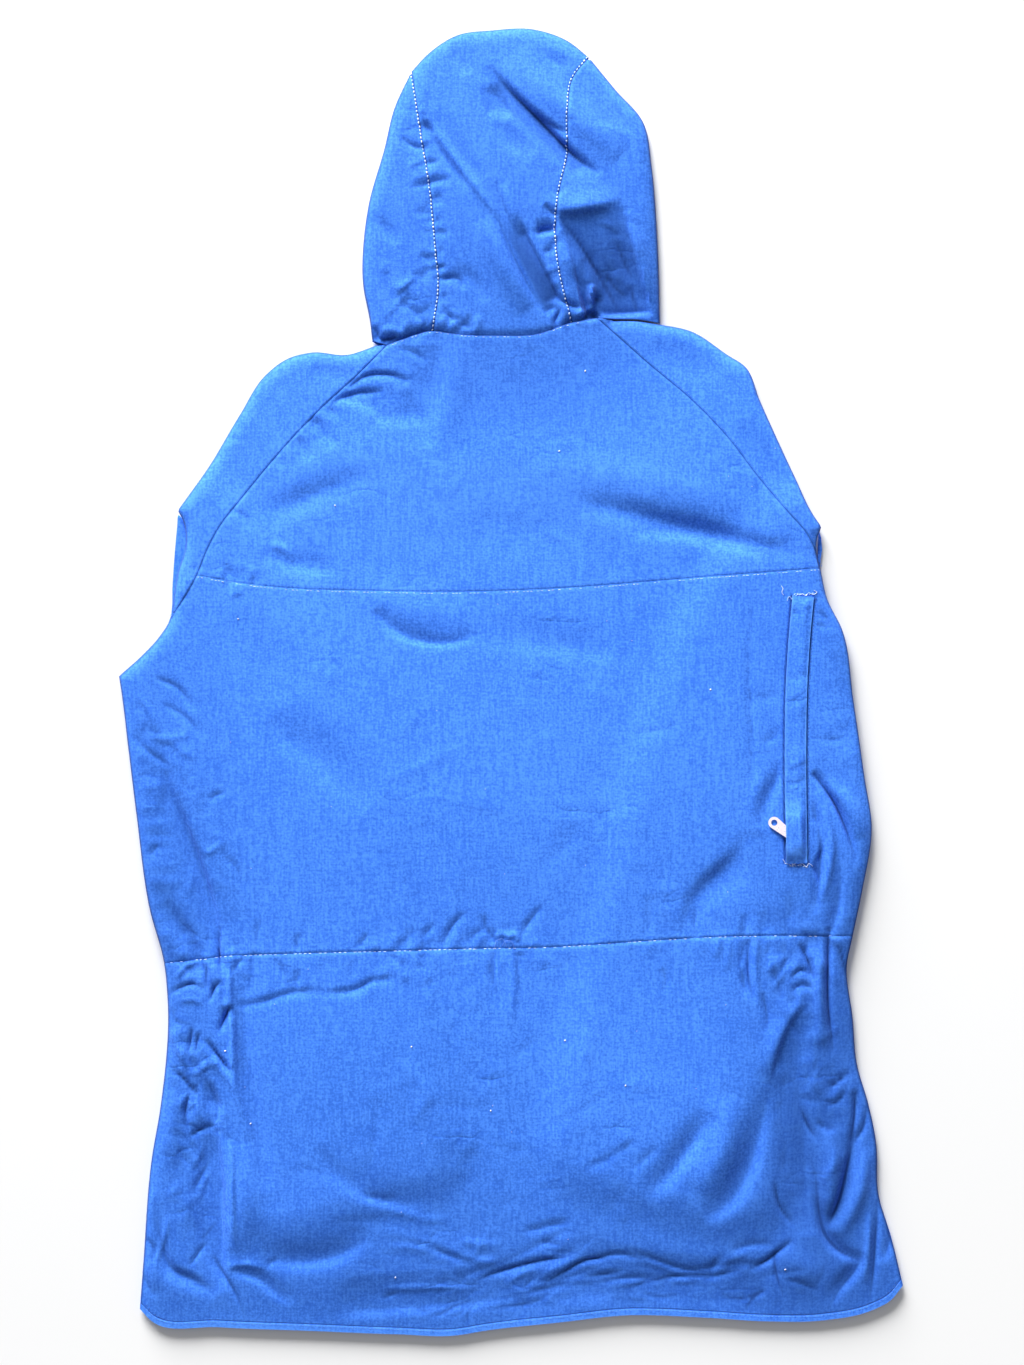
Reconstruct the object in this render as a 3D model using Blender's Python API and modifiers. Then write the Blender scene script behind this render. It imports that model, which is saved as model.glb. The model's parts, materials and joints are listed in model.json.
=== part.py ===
"""A hooded parka that lies face down on a flat surface, with its sleeves folded under it.

The cloth is a set of sewn panels. Each panel is a patch between four seam or edge lines, drawn
in plan, and two height fields lift the patches: one for the upper layer, which is the back of the
coat, and one for the under layer, which lies on the surface. Both fields meet in a round turn at
the silhouette. X is to the right, Y is towards the hood, Z is up, and the origin is on the surface
below the middle of the coat. All sizes below are in millimetres.
"""

import math
from collections import namedtuple

import bmesh
import bpy
import numpy as np
from mathutils import Matrix, Vector

MM = 0.001

# ---------------------------------------------------------------- cloth and layers
CLOTH = 1.5  # wall of a cloth panel
SEAM_GAP = 0.3  # between two panels at a seam
NECK_GAP = 0.5  # from the neck seam to the hood's base
LAYER_GAP = 0.3  # between two layers that lie on each other
TURN_HALF_HEIGHT = 3.2  # from the under layer up to the middle of the side turn
UPPER_TURN = 12.0  # how far in from the silhouette the upper layer reaches its full height
UNDER_TURN = 6.0  # how far in from the silhouette the under layer reaches the surface
BODY_EASE = 5.0  # air between the back and the fronts
HOOD_LOFT = 13.0  # more air in the middle of the hood
HEM_EASE = 1.2  # air at the hem, where the two layers come together
HEM_REACH = 55.0  # how far up from the hem the layers come together
SLEEVE_GAP = 0.5  # between the two walls of a folded sleeve
SLEEVE_LIFT = 2 * CLOTH + SLEEVE_GAP + LAYER_GAP  # what lies on a folded sleeve is this much higher
LIFT_KEEP = 24.0  # the lift stays whole this far outside a folded sleeve
LIFT_FADE = 40.0  # and fades over this distance
SOFT_FLOOR = 1.4  # how softly a deep trough comes to rest on the layer below
LINE_STEP = 2.0  # distance between the points of a drawn line
OUTLINE_POINTS = 120  # of a folded sleeve's outline

# ---------------------------------------------------------------- lines in plan (x, y)
# A point that is given twice in a row is a corner.
LEFT_EDGE = [  # neck, shoulder, sleeve fold, underarm, side, hem corner
    (-115, 286), (-140, 278), (-170, 280), (-190, 275), (-209, 261), (-231, 227),
    (-261, 177), (-283, 146), (-283, 146), (-278, 136), (-277, 113), (-283, 94), (-286, 77),
    (-289, 55), (-300, 37), (-313, 23), (-333, 5), (-333, 5), (-331, -8), (-325, -57),
    (-318, -114), (-307, -193), (-295, -238), (-292, -270), (-298, -359), (-306, -407),
    (-313, -495), (-316, -533),
]
RIGHT_EDGE = [
    (86, 307), (106, 307), (124, 304), (152, 298), (183, 278), (198, 268), (210, 240), (240, 174),
    (254, 144), (262, 132), (262, 132), (258, 121), (258, 109), (261, 97), (267, 71), (280, 44),
    (289, -13), (299, -82), (305, -122), (297, -177), (289, -215), (284, -240), (289, -285),
    (293, -326), (302, -357), (309, -391), (311, -435), (322, -472), (332, -513),
]
HEM = [
    (-316, -533), (-306, -543), (-249, -548), (-174, -551), (-98, -554), (-48, -555), (-23, -551),
    (40, -544), (96, -538), (166, -540), (216, -543), (266, -542), (305, -534), (322, -525),
    (332, -513),
]
WAIST_SEAM = [
    (-295, -238), (-265, -235), (-244, -232), (-199, -230), (-98, -227), (-8, -225), (40, -224),
    (96, -220), (191, -215), (289, -215),
]
YOKE_SEAM = [
    (-267, 91), (-234, 85), (-201, 81), (-127, 78), (-45, 77), (40, 80), (108, 85), (168, 90),
    (210, 93), (261, 97),
]
NECK_SEAM = [
    (-106, 286), (-96, 290), (-67, 298), (-44, 295), (-10, 294), (20, 295), (47, 304), (72, 309),
]
LEFT_RAGLAN = [
    (-106, 286), (-131, 261), (-153, 241), (-179, 215), (-204, 187), (-231, 154), (-249, 130),
    (-258, 113), (-267, 91), (-277, 73), (-289, 55),
]
RIGHT_RAGLAN = [
    (72, 309), (88, 295), (115, 271), (154, 238), (181, 210), (209, 174), (236, 142), (250, 126),
    (257, 112), (261, 97),
]
LEFT_FRONT_RAGLAN = [(-92, 268), (-130, 240), (-180, 190), (-225, 140), (-262, 92), (-289, 55)]
RIGHT_FRONT_RAGLAN = [(66, 290), (110, 262), (160, 215), (210, 160), (245, 125), (261, 97)]
FRONT_NECK = [(-92, 268), (-50, 259), (-15, 256), (15, 256), (45, 268), (66, 290)]
HOOD_LEFT_EDGE = [  # base to tip
    (-118, 290), (-120, 307), (-126, 339), (-125, 380), (-121, 407), (-108, 453), (-99, 489),
    (-85, 519),
]
CROWN = [(-85, 519), (-71, 534), (-46, 550), (-17, 554), (17, 555), (47, 545), (65, 531)]
HOOD_RIGHT_EDGE = [
    (125, 310), (124, 352), (122, 393), (118, 439), (111, 476), (88, 503), (65, 531),
]
HOOD_LEFT_SEAM = [(-67, 298), (-62, 339), (-64, 362), (-69, 416), (-77, 466), (-85, 519)]
HOOD_RIGHT_SEAM = [
    (51, 305), (39, 357), (37, 385), (39, 412), (47, 450), (47, 485), (51, 512), (65, 531),
]
HOOD_LEFT_OVERHANG = [(-106, 286), (-118, 290)]  # the base beyond the neck seam
HOOD_RIGHT_OVERHANG = [(72, 309), (96, 312), (125, 310)]
HOOD_LEFT_UNDER_BASE = [(-118, 290), (-92, 270), (-50, 261), (-8, 258)]
HOOD_RIGHT_UNDER_BASE = [(125, 310), (100, 313), (84, 311), (63, 294), (43, 271), (8, 258)]
FACE_LEFT = [(-8, 258), (-14, 300), (-22, 360), (-30, 410), (-38, 440)]  # the face opening
FACE_RIGHT = [(8, 258), (13, 300), (19, 360), (26, 410), (32, 440)]
FACE_TOP = [(-38, 440), (-3, 452), (32, 440)]
HOOD_LEFT_UNDER_SEAM = [(-38, 440), (-60, 478), (-85, 519)]
HOOD_RIGHT_UNDER_SEAM = [(32, 440), (47, 484), (65, 531)]

# A folded sleeve, from its cuff up to the fold where it turns under the coat.
LEFT_SLEEVE_OUTER = [(-200, -425), (-262, -210), (-300, -90), (-320, 0)]
LEFT_SLEEVE_INNER = [(-84, -392), (-128, -200), (-170, -40), (-225, 80), (-284, 143)]
LEFT_SLEEVE_FOLD = [(-320, 0), (-302, 32), (-290, 57), (-289, 80), (-287, 110), (-284, 143)]
RIGHT_SLEEVE_INNER = [(74, -388), (118, -196), (158, -40), (205, 70), (261, 132)]
RIGHT_SLEEVE_OUTER = [(190, -420), (244, -230), (264, -100), (270, 0)]
RIGHT_SLEEVE_FOLD = [(261, 132), (264, 118), (262, 99), (265, 60), (270, 0)]

FRONT_ZIP_HALF_WIDTH = 15.0
FRONT_NECK_CENTRE = 256.0
ZIP_FOOT = -548.0
UNDERARM = (-333, 5)
HOOD_TIP_ROWS = 2  # the hood's side panels end this many rows below their tips
HOOD_UNDER_TIP_ROWS = 3

# ---------------------------------------------------------------- heights
Mound = namedtuple("Mound", "x y half_width half_length height")
MOUNDS = [
    Mound(0, 425, 100, 105, HOOD_LOFT),  # the hood's loft
    Mound(-20, 230, 190, 70, 3.0),  # across the shoulders
    Mound(150, 180, 90, 60, 2.5),
    Mound(-60, -60, 170, 130, 3.0),  # the middle of the back
    Mound(-60, -370, 190, 90, 3.5),  # the skirt
    Mound(150, -380, 90, 100, 3.0),
]

# A fold is a soft ridge (height above 0) or trough (below 0) from one point to another.
# bow is how far its middle bends to its left.
Fold = namedtuple("Fold", "x0 y0 x1 y1 bow half_width height")
FOLDS = [
    Fold(-17, 520, 73, 434, -4, 9, -7),  # hood, the long slanting crease
    Fold(-5, 532, 95, 440, -6, 14, 4),
    Fold(-74, 482, -32, 424, 0, 10, 3),
    Fold(-12, 410, 30, 318, -6, 12, -6),
    Fold(-32, 400, 8, 318, -4, 12, 4),
    Fold(28, 408, 90, 402, 6, 9, 5),
    Fold(50, 385, 112, 340, -6, 20, -8),
    Fold(72, 510, 116, 405, 6, 12, 3),
    Fold(-112, 330, -66, 326, 0, 12, -3),
    Fold(-138, 260, -84, 258, -6, 12, -4),  # yoke
    Fold(-205, 165, -128, 172, 6, 18, -2.5),
    Fold(40, 155, 236, 120, -4, 17, -5),
    Fold(20, 192, 200, 168, -6, 22, 3),
    Fold(-150, 112, -70, 118, -6, 15, 3),
    Fold(-110, 60, -15, 42, -14, 12, -4.5),  # the back's middle
    Fold(-120, 84, -20, 66, -8, 14, 2),
    Fold(-200, -30, -120, -106, 6, 15, -3),
    Fold(64, -20, 126, -30, 4, 16, -3),
    Fold(-298, -46, -246, -224, 8, 15, -4.5),
    Fold(-285, -10, -232, -190, 8, 16, 2.5),
    Fold(150, -198, 216, -128, 8, 15, -4),
    Fold(262, -86, 286, -150, -4, 10, -3),
    Fold(-8, -190, -8, -262, 0, 10, 3),  # gathers where the waist is drawn in
    Fold(8, -196, 24, -180, 0, 10, 3),
    Fold(-246, -236, -222, -372, -6, 13, 4),
    Fold(-268, -240, -256, -330, 4, 12, -4),
    Fold(-290, -320, -258, -400, 6, 12, 3),
    Fold(-262, -380, -236, -440, 4, 16, -4),
    Fold(196, -214, 203, -290, 2, 10, 3.5),
    Fold(228, -214, 240, -300, 2, 10, -3.5),
    Fold(258, -214, 262, -300, 0, 10, 3.5),
    Fold(-232, -484, -110, -460, -14, 15, -5),  # skirt
    Fold(-240, -455, -120, -430, -12, 18, 3),
    Fold(-150, -410, -110, -470, -8, 15, -3),
    Fold(200, -326, 178, -452, 10, 18, -5.5),
    Fold(166, -370, 112, -430, 4, 16, -4),
    Fold(232, -320, 214, -440, 6, 15, 4),
    Fold(294, -358, 268, -464, -6, 12, -5),
    Fold(262, -468, 312, -450, -12, 11, -4),
    Fold(-60, -500, 120, -486, 8, 14, 3),
    Fold(-20, -472, 210, -482, -6, 14, -3),
    Fold(306, -455, 312, -512, 0, 8, 3),
]

# ---------------------------------------------------------------- side pocket of the back
WELT_TOP = (246.5, 73.0)
WELT_BOTTOM = (241.0, -153.0)
WELT_WIDTH = 18.0
WELT_WALL = 1.2
POCKET_LEVEL = 14.0  # the back's middle surface is flat here, this high above the surface
POCKET_FLAT = 32.0  # half-width of the flat strip
PULL_FLAT = 62.0  # radius of the flat round the slider
POCKET_FADE = 38.0
CHAIN_WIDTH = 7.0
CHAIN_WALL = 0.8
SLIDER = (241.6, -134.0)
SLIDER_SIZE = (8.0, 10.0, 1.0)
SLIDER_EDGE = 0.35  # its rounded edges
SLIDER_POST_RADIUS = 1.1
SLIDER_HEAD_RADIUS = 2.0
SLIDER_HEAD_HEIGHT = 0.4
PULL_RISE = 1.2  # from the slider's body to the middle of the pull
PULL_ROOM = 2.1  # from the slider's body to its head
PULL_WALL = 0.8
PULL_REACH = 25.0  # from the slider's post to the middle of the round end
PULL_END_RADIUS = 5.0
PULL_EYE_RADIUS = 3.0
PULL_HOLE_RADIUS = 2.6
PULL_EYE_HOLE_RADIUS = 1.5
PULL_TURN = math.radians(142)  # the pull points up and to the left
PULL_DROP = math.radians(5.4)  # and down on to the cloth
WELT_END = 8.0  # the length over which the welt comes down at its ends
WELT_BOTTOM_TO_SLIDER = (WELT_BOTTOM[0] - SLIDER[0], WELT_BOTTOM[1] - SLIDER[1])
WELT_BUMP = 21.0  # the length over which it stands up beside the pull
WELT_BUMP_SHIFT = 6.0  # the middle of this is above the slider
WELT_BUMP_HEIGHT = 3.9
WELT_SHAPED_END = 70.0  # the length of its lower end that has closer rows
WELT_COLUMNS = np.array([-1, -0.66, -0.33, 0, 0.33, 0.6, 0.85, 1])  # shares of its half-width

# ---------------------------------------------------------------- finishes
Finish = namedtuple("Finish", "name colour roughness metallic")
SHELL = Finish("shell_cloth", (0.055, 0.20, 0.78, 1.0), 0.85, 0.0)
ZIP_TAPE = Finish("zip_tape", (0.04, 0.13, 0.52, 1.0), 0.8, 0.0)
ZIP_METAL = Finish("zip_metal", (0.78, 0.70, 0.72, 1.0), 0.35, 1.0)


# ---------------------------------------------------------------- lines
def smooth_line(points):
    """Points about LINE_STEP apart on a smooth curve through the given ones, sharp at corners."""
    runs, run = [], [points[0]]
    for point in points[1:]:
        if point == run[-1]:
            runs.append(run)
            run = []
        run.append(point)
    runs.append(run)
    pieces = [smooth_run(np.array(r, float)) for r in runs]
    return np.concatenate([pieces[0]] + [p[1:] for p in pieces[1:]])


def smooth_run(p):
    """A cubic curve through the points, with the slope at each taken from its two neighbours."""
    h = np.linalg.norm(np.diff(p, axis=0), axis=1)[:, None]
    chord = np.diff(p, axis=0) / h
    slope = np.concatenate([chord[:1], chord[-1:]])
    if len(p) > 2:
        middle = (chord[:-1] * h[1:] + chord[1:] * h[:-1]) / (h[1:] + h[:-1])
        slope = np.concatenate([chord[:1], middle, chord[-1:]])
    made = []
    for a, b, sa, sb, size in zip(p[:-1], p[1:], slope[:-1], slope[1:], h[:, 0]):
        t = np.linspace(0, 1, max(2, math.ceil(size / LINE_STEP)), endpoint=False)[:, None]
        made.append(
            a * (2 * t**3 - 3 * t**2 + 1) + b * (3 * t**2 - 2 * t**3)
            + size * sa * (t**3 - 2 * t**2 + t) + size * sb * (t**3 - t**2)
        )
    return np.concatenate(made + [p[-1:]])


def lengths(line):
    """The distance along the line at each of its points."""
    return np.concatenate([[0.0], np.cumsum(np.linalg.norm(np.diff(line, axis=0), axis=1))])


def at(line, fractions):
    """The points at these fractions of the line's length."""
    far = lengths(line)
    where = np.asarray(fractions) * far[-1]
    return np.stack([np.interp(where, far, line[:, k]) for k in (0, 1)], axis=-1)


def spans(line, count):
    """The line's points at equal distances, count spans in all."""
    return at(line, np.linspace(0, 1, count + 1))


def normals_of(line):
    """The unit vectors that point to the left of the line."""
    along = np.gradient(line, axis=0)
    along /= np.linalg.norm(along, axis=1)[:, None]
    return np.stack([-along[:, 1], along[:, 0]], axis=1)


def between(line, start, end):
    """The stretch of the line between its points nearest to start and to end."""
    i, j = (int(np.linalg.norm(line - np.array(p, float), axis=1).argmin()) for p in (start, end))
    return line[i : j + 1] if i <= j else line[j : i + 1][::-1]


def joined(*lines):
    """One line through all of these, end to end."""
    return np.concatenate([lines[0]] + [line[1:] for line in lines[1:]])


def patch(bottom, top, left, right):
    """Points in plan between four rows of points that meet at their ends: a Coons patch."""
    u = (lengths(bottom) / lengths(bottom)[-1] + lengths(top) / lengths(top)[-1]) / 2
    v = (lengths(left) / lengths(left)[-1] + lengths(right) / lengths(right)[-1]) / 2
    u, v = u[None, :, None], v[:, None, None]
    corners = (1 - v) * ((1 - u) * left[0] + u * right[0]) + v * (
        (1 - u) * left[-1] + u * right[-1]
    )
    plan = (1 - v) * bottom + v * top + (1 - u) * left[:, None] + u * right[:, None] - corners
    plan[0], plan[-1], plan[:, 0], plan[:, -1] = bottom, top, left, right
    return plan


def drawn_in(plan, *sides, by=SEAM_GAP / 2):
    """The plan with these of its sides moved into the panel, half a seam gap unless stated."""
    plan = plan.copy()
    edges = {
        "bottom": (plan[0], plan[1]),
        "top": (plan[-1], plan[-2]),
        "left": (plan[:, 0], plan[:, 1]),
        "right": (plan[:, -1], plan[:, -2]),
    }
    for side in sides:
        edge, inner = edges[side]
        step = inner - edge
        edge += step / np.linalg.norm(step, axis=-1, keepdims=True) * by
    return plan


# ---------------------------------------------------------------- silhouettes
class Silhouette:
    """The lines in plan where the upper layer turns into the under layer."""

    def __init__(self, *lines_and_sides):
        self.starts = np.concatenate([line[:-1] for line, _ in lines_and_sides])
        self.spans = np.concatenate([np.diff(line, axis=0) for line, _ in lines_and_sides])
        self.inward = np.concatenate(
            [normals_of(line)[:-1] * side for line, side in lines_and_sides]
        )

    def distance(self, points):
        """How far each point lies inside the silhouette, and the direction further in."""
        away = points[:, None, :] - self.starts
        share = np.clip((away * self.spans).sum(axis=2) / (self.spans**2).sum(axis=1), 0, 1)
        away = away - share[:, :, None] * self.spans
        far = np.linalg.norm(away, axis=2)
        nearest = far.argmin(axis=1)
        rows = np.arange(len(points))
        far = far[rows, nearest]
        inward = away[rows, nearest] / np.maximum(far, 1e-9)[:, None]
        on_it = far < 0.05
        inward[on_it] = self.inward[nearest[on_it]]
        return np.where(on_it, 0.0, far), inward


# ---------------------------------------------------------------- height fields
def smoothstep(t):
    """0 below 0, 1 above 1, and a soft S between."""
    t = np.clip(t, 0.0, 1.0)
    return t * t * (3 - 2 * t)


def fold_height(x, y, fold):
    """A ridge or trough: a bell across the fold, fading to nothing at its two ends."""
    dx, dy = fold.x1 - fold.x0, fold.y1 - fold.y0
    size = math.hypot(dx, dy)
    t = ((x - fold.x0) * dx + (y - fold.y0) * dy) / size**2
    fade = np.clip(4 * t * (1 - t), 0.0, 1.0)
    aside = ((y - fold.y0) * dx - (x - fold.x0) * dy) / size - fold.bow * fade
    return fold.height * fade * np.exp(-((aside / fold.half_width) ** 2))


def outside(x, y, region):
    """How far each point lies outside a closed line, and 0 inside it."""
    p = np.stack([x, y], axis=1)
    a, b = region, np.roll(region, -1, axis=0)
    far = np.linalg.norm(p[:, None] - a, axis=2).min(axis=1)
    crosses = (a[:, 1] > p[:, 1, None]) != (b[:, 1] > p[:, 1, None])
    rise = np.where(np.abs(b[:, 1] - a[:, 1]) < 1e-9, 1e-9, b[:, 1] - a[:, 1])
    where = a[:, 0] + (p[:, 1, None] - a[:, 1]) * (b[:, 0] - a[:, 0]) / rise
    inside = (crosses & (p[:, 0, None] < where)).sum(axis=1) % 2 == 1
    return np.where(inside, 0.0, far)


def distance_to_stretch(x, y, start, end):
    """The distance from each point to the straight line between two points."""
    dx, dy = end[0] - start[0], end[1] - start[1]
    t = np.clip(((x - start[0]) * dx + (y - start[1]) * dy) / (dx * dx + dy * dy), 0, 1)
    return np.hypot(x - start[0] - t * dx, y - start[1] - t * dy)


class Heights:
    """The middle surfaces of the upper and the under layer, as heights over the plan."""

    def __init__(self, sleeves, hem):
        self.sleeves = sleeves
        self.hem = hem

    def under(self, x, y):
        """The under layer: on the surface, and lifted where it lies on a folded sleeve."""
        lift = np.zeros_like(x)
        for region in self.sleeves:
            far = outside(x, y, region)
            lift = np.maximum(lift, 1 - smoothstep((far - LIFT_KEEP) / LIFT_FADE))
        return CLOTH / 2 + SLEEVE_LIFT * lift

    def turn(self, x, y):
        """The middle of the turn at the silhouette."""
        return self.under(x, y) + TURN_HALF_HEIGHT

    def upper(self, x, y):
        """The upper layer: eased off the under layer, with mounds and folds, flat at the pocket."""
        ease = BODY_EASE + sum(
            m.height
            * np.exp(-(((x - m.x) / m.half_width) ** 2) - ((y - m.y) / m.half_length) ** 2)
            for m in MOUNDS
        )
        ease = ease + sum(fold_height(x, y, fold) for fold in FOLDS)
        above_hem = y - np.interp(x, self.hem[:, 0], self.hem[:, 1])
        ease = HEM_EASE + (ease - HEM_EASE) * smoothstep(0.15 + above_hem / HEM_REACH)
        ease = np.logaddexp(0.0, ease / SOFT_FLOOR) * SOFT_FLOOR
        height = self.under(x, y) + CLOTH + 2 * LAYER_GAP + ease
        strip = distance_to_stretch(x, y, WELT_TOP, WELT_BOTTOM) - POCKET_FLAT
        disc = np.hypot(x - SLIDER[0], y - SLIDER[1]) - PULL_FLAT
        loose = smoothstep(np.minimum(strip, disc) / POCKET_FADE)
        return POCKET_LEVEL + (height - POCKET_LEVEL) * loose


def slope(field, x, y):
    """The field's slope along x and along y."""
    h = 0.5
    return np.stack(
        [
            (field(x + h, y) - field(x - h, y)) / (2 * h),
            (field(x, y + h) - field(x, y - h)) / (2 * h),
        ],
        axis=-1,
    )


Surface = namedtuple("Surface", "points normals")  # arrays of (rows, columns, 3)


def layer(plan, heights, silhouette, is_upper, gap=0.0):
    """A patch of plan points raised on to a layer, with its normals, which point out of the coat.

    Towards the silhouette the layer follows a quarter of an ellipse down, or up, to the middle of
    the turn. gap keeps it half a seam away from the other layer there.
    """
    flat = plan.reshape(-1, 2)
    x, y = flat[:, 0], flat[:, 1]
    far, inward = silhouette.distance(flat)
    reach = UPPER_TURN if is_upper else UNDER_TURN
    field = heights.upper if is_upper else heights.under
    t = np.minimum(far / reach, 1.0)
    share = np.sqrt(1 - (1 - t) ** 2)
    steep = (1 - t) / (reach * np.maximum(share, 1e-3))
    full, turn = field(x, y), heights.turn(x, y)
    z = turn + (full - turn) * share
    z = np.maximum(z, turn + gap / 2) if is_upper else np.minimum(z, turn - gap / 2)
    rise = (
        slope(heights.turn, x, y) * (1 - share)[:, None]
        + slope(field, x, y) * share[:, None]
        + inward * ((full - turn) * steep)[:, None]
    )
    normals = np.concatenate([-rise, np.ones((len(flat), 1))], axis=1)
    normals /= np.linalg.norm(normals, axis=1)[:, None]
    points = np.concatenate([flat, z[:, None]], axis=1)
    shape = plan.shape[:2] + (3,)
    return Surface(points.reshape(shape), (normals if is_upper else -normals).reshape(shape))


def side_by_side(first, second):
    """Two surfaces as one, where the last column of the first is the first of the second."""
    return Surface(
        np.concatenate([first.points, second.points[:, 1:]], axis=1),
        np.concatenate([first.normals, second.normals[:, 1:]], axis=1),
    )


def end_to_end(first, second):
    """Two surfaces as one, where the last row of the first is the first of the second."""
    return Surface(
        np.concatenate([first.points, second.points[1:]]),
        np.concatenate([first.normals, second.normals[1:]]),
    )


# ---------------------------------------------------------------- meshes
def material(finish):
    """The Principled material of a finish, made once."""
    found = bpy.data.materials.get(finish.name)
    if found:
        return found
    made = bpy.data.materials.new(finish.name)
    made.use_nodes = True
    shader = made.node_tree.nodes["Principled BSDF"]
    shader.inputs["Base Color"].default_value = finish.colour
    shader.inputs["Roughness"].default_value = finish.roughness
    shader.inputs["Metallic"].default_value = finish.metallic
    made.diffuse_color = finish.colour
    return made


def place(obj, finish, collection):
    """Gives the object its finish and puts it into the collection."""
    obj.data.materials.append(material(finish))
    for owner in list(obj.users_collection):
        owner.objects.unlink(obj)
    collection.objects.link(obj)
    return obj


def cloth_wall(name, surface, finish, collection, wall=CLOTH, ring=False):
    """A wall of cloth round a surface's points, lofted between its two faces.

    Each face is the grid of points moved half a wall along the shared normals. Two panels that
    meet at a seam take the same normals there, so their edges stay parallel, which a Solidify
    modifier does not do. With ring, the last column joins the first.
    """
    rows, columns = surface.points.shape[:2]
    count = rows * columns
    cells = columns if ring else columns - 1
    faces = []
    for r in range(rows - 1):
        for c in range(cells):
            d = (c + 1) % columns
            quad = [r * columns + c, r * columns + d, (r + 1) * columns + d, (r + 1) * columns + c]
            faces.append(quad)
            faces.append([count + i for i in reversed(quad)])
    for r in (0, rows - 1):
        for c in range(cells):
            a, b = r * columns + c, r * columns + (c + 1) % columns
            faces.append([a, b, count + b, count + a])
    if not ring:
        for c in (0, columns - 1):
            for r in range(rows - 1):
                a, b = r * columns + c, (r + 1) * columns + c
                faces.append([a, b, count + b, count + a])
    out = (surface.points + surface.normals * wall / 2).reshape(-1, 3)
    back = (surface.points - surface.normals * wall / 2).reshape(-1, 3)
    mesh = bpy.data.meshes.new(name)
    mesh.from_pydata((np.concatenate([out, back]) * MM).tolist(), [], faces)
    work = bmesh.new()
    work.from_mesh(mesh)
    bmesh.ops.recalc_face_normals(work, faces=work.faces)
    work.to_mesh(mesh)
    work.free()
    mesh.shade_smooth()
    mesh.set_sharp_from_angle(angle=math.radians(50))
    return place(bpy.data.objects.new(name, mesh), finish, collection)


# ---------------------------------------------------------------- how panels are divided
def turn_marks(reach):
    """Distances from a silhouette that follow a round turn of this reach."""
    return [reach * (1 - math.cos(math.radians(angle))) for angle in (30, 60, 90)]


def fractions(width, step, start_turn=0.0, end_turn=0.0):
    """Fractions of a width, about step apart, and closer in a turn at the start or the end."""
    starts = [0.0] + (turn_marks(start_turn) if start_turn else [])
    ends = [width - mark for mark in reversed(turn_marks(end_turn))] if end_turn else []
    inner = [starts[-1], ends[0] if ends else width]
    count = max(1, round((inner[1] - inner[0]) / step))
    middle = np.linspace(*inner, count + 1)[1:]
    return np.array(starts + list(middle) + ends[1:] + ([width] if ends else [])) / width


ACROSS_BACK = fractions(620, 21, UPPER_TURN, UPPER_TURN)
ACROSS_CAP = fractions(60, 18, 0, UPPER_TURN)
ACROSS_CAP_UNDER = fractions(60, 27, UNDER_TURN)
ACROSS_FRONT = fractions(300, 36, UNDER_TURN)
ACROSS_HOOD_CENTRE = fractions(118, 17)
ACROSS_HOOD_SIDE = fractions(56, 15, 0, UPPER_TURN)
ACROSS_HOOD_UNDER = fractions(100, 18, UNDER_TURN)
ACROSS_SLEEVE = fractions(110, 37)
UP_SKIRT = fractions(310, 20)
UP_YOKE = fractions(240, 20)
UP_HOOD = fractions(230, 18, 0, UPPER_TURN)
DOWN_HOOD_UNDER = fractions(75, 34, UNDER_TURN)
UP_SLEEVE = fractions(500, 45)
SIDE_SPANS = 12  # from the waist up to the underarm
UNDERARM_SPANS = 3  # from the underarm to the sleeve
ARMHOLE_SPANS = 2  # along the sleeve, up to the yoke seam
TURN_ANGLES = (-60, -30, 0, 30, 60)


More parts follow.
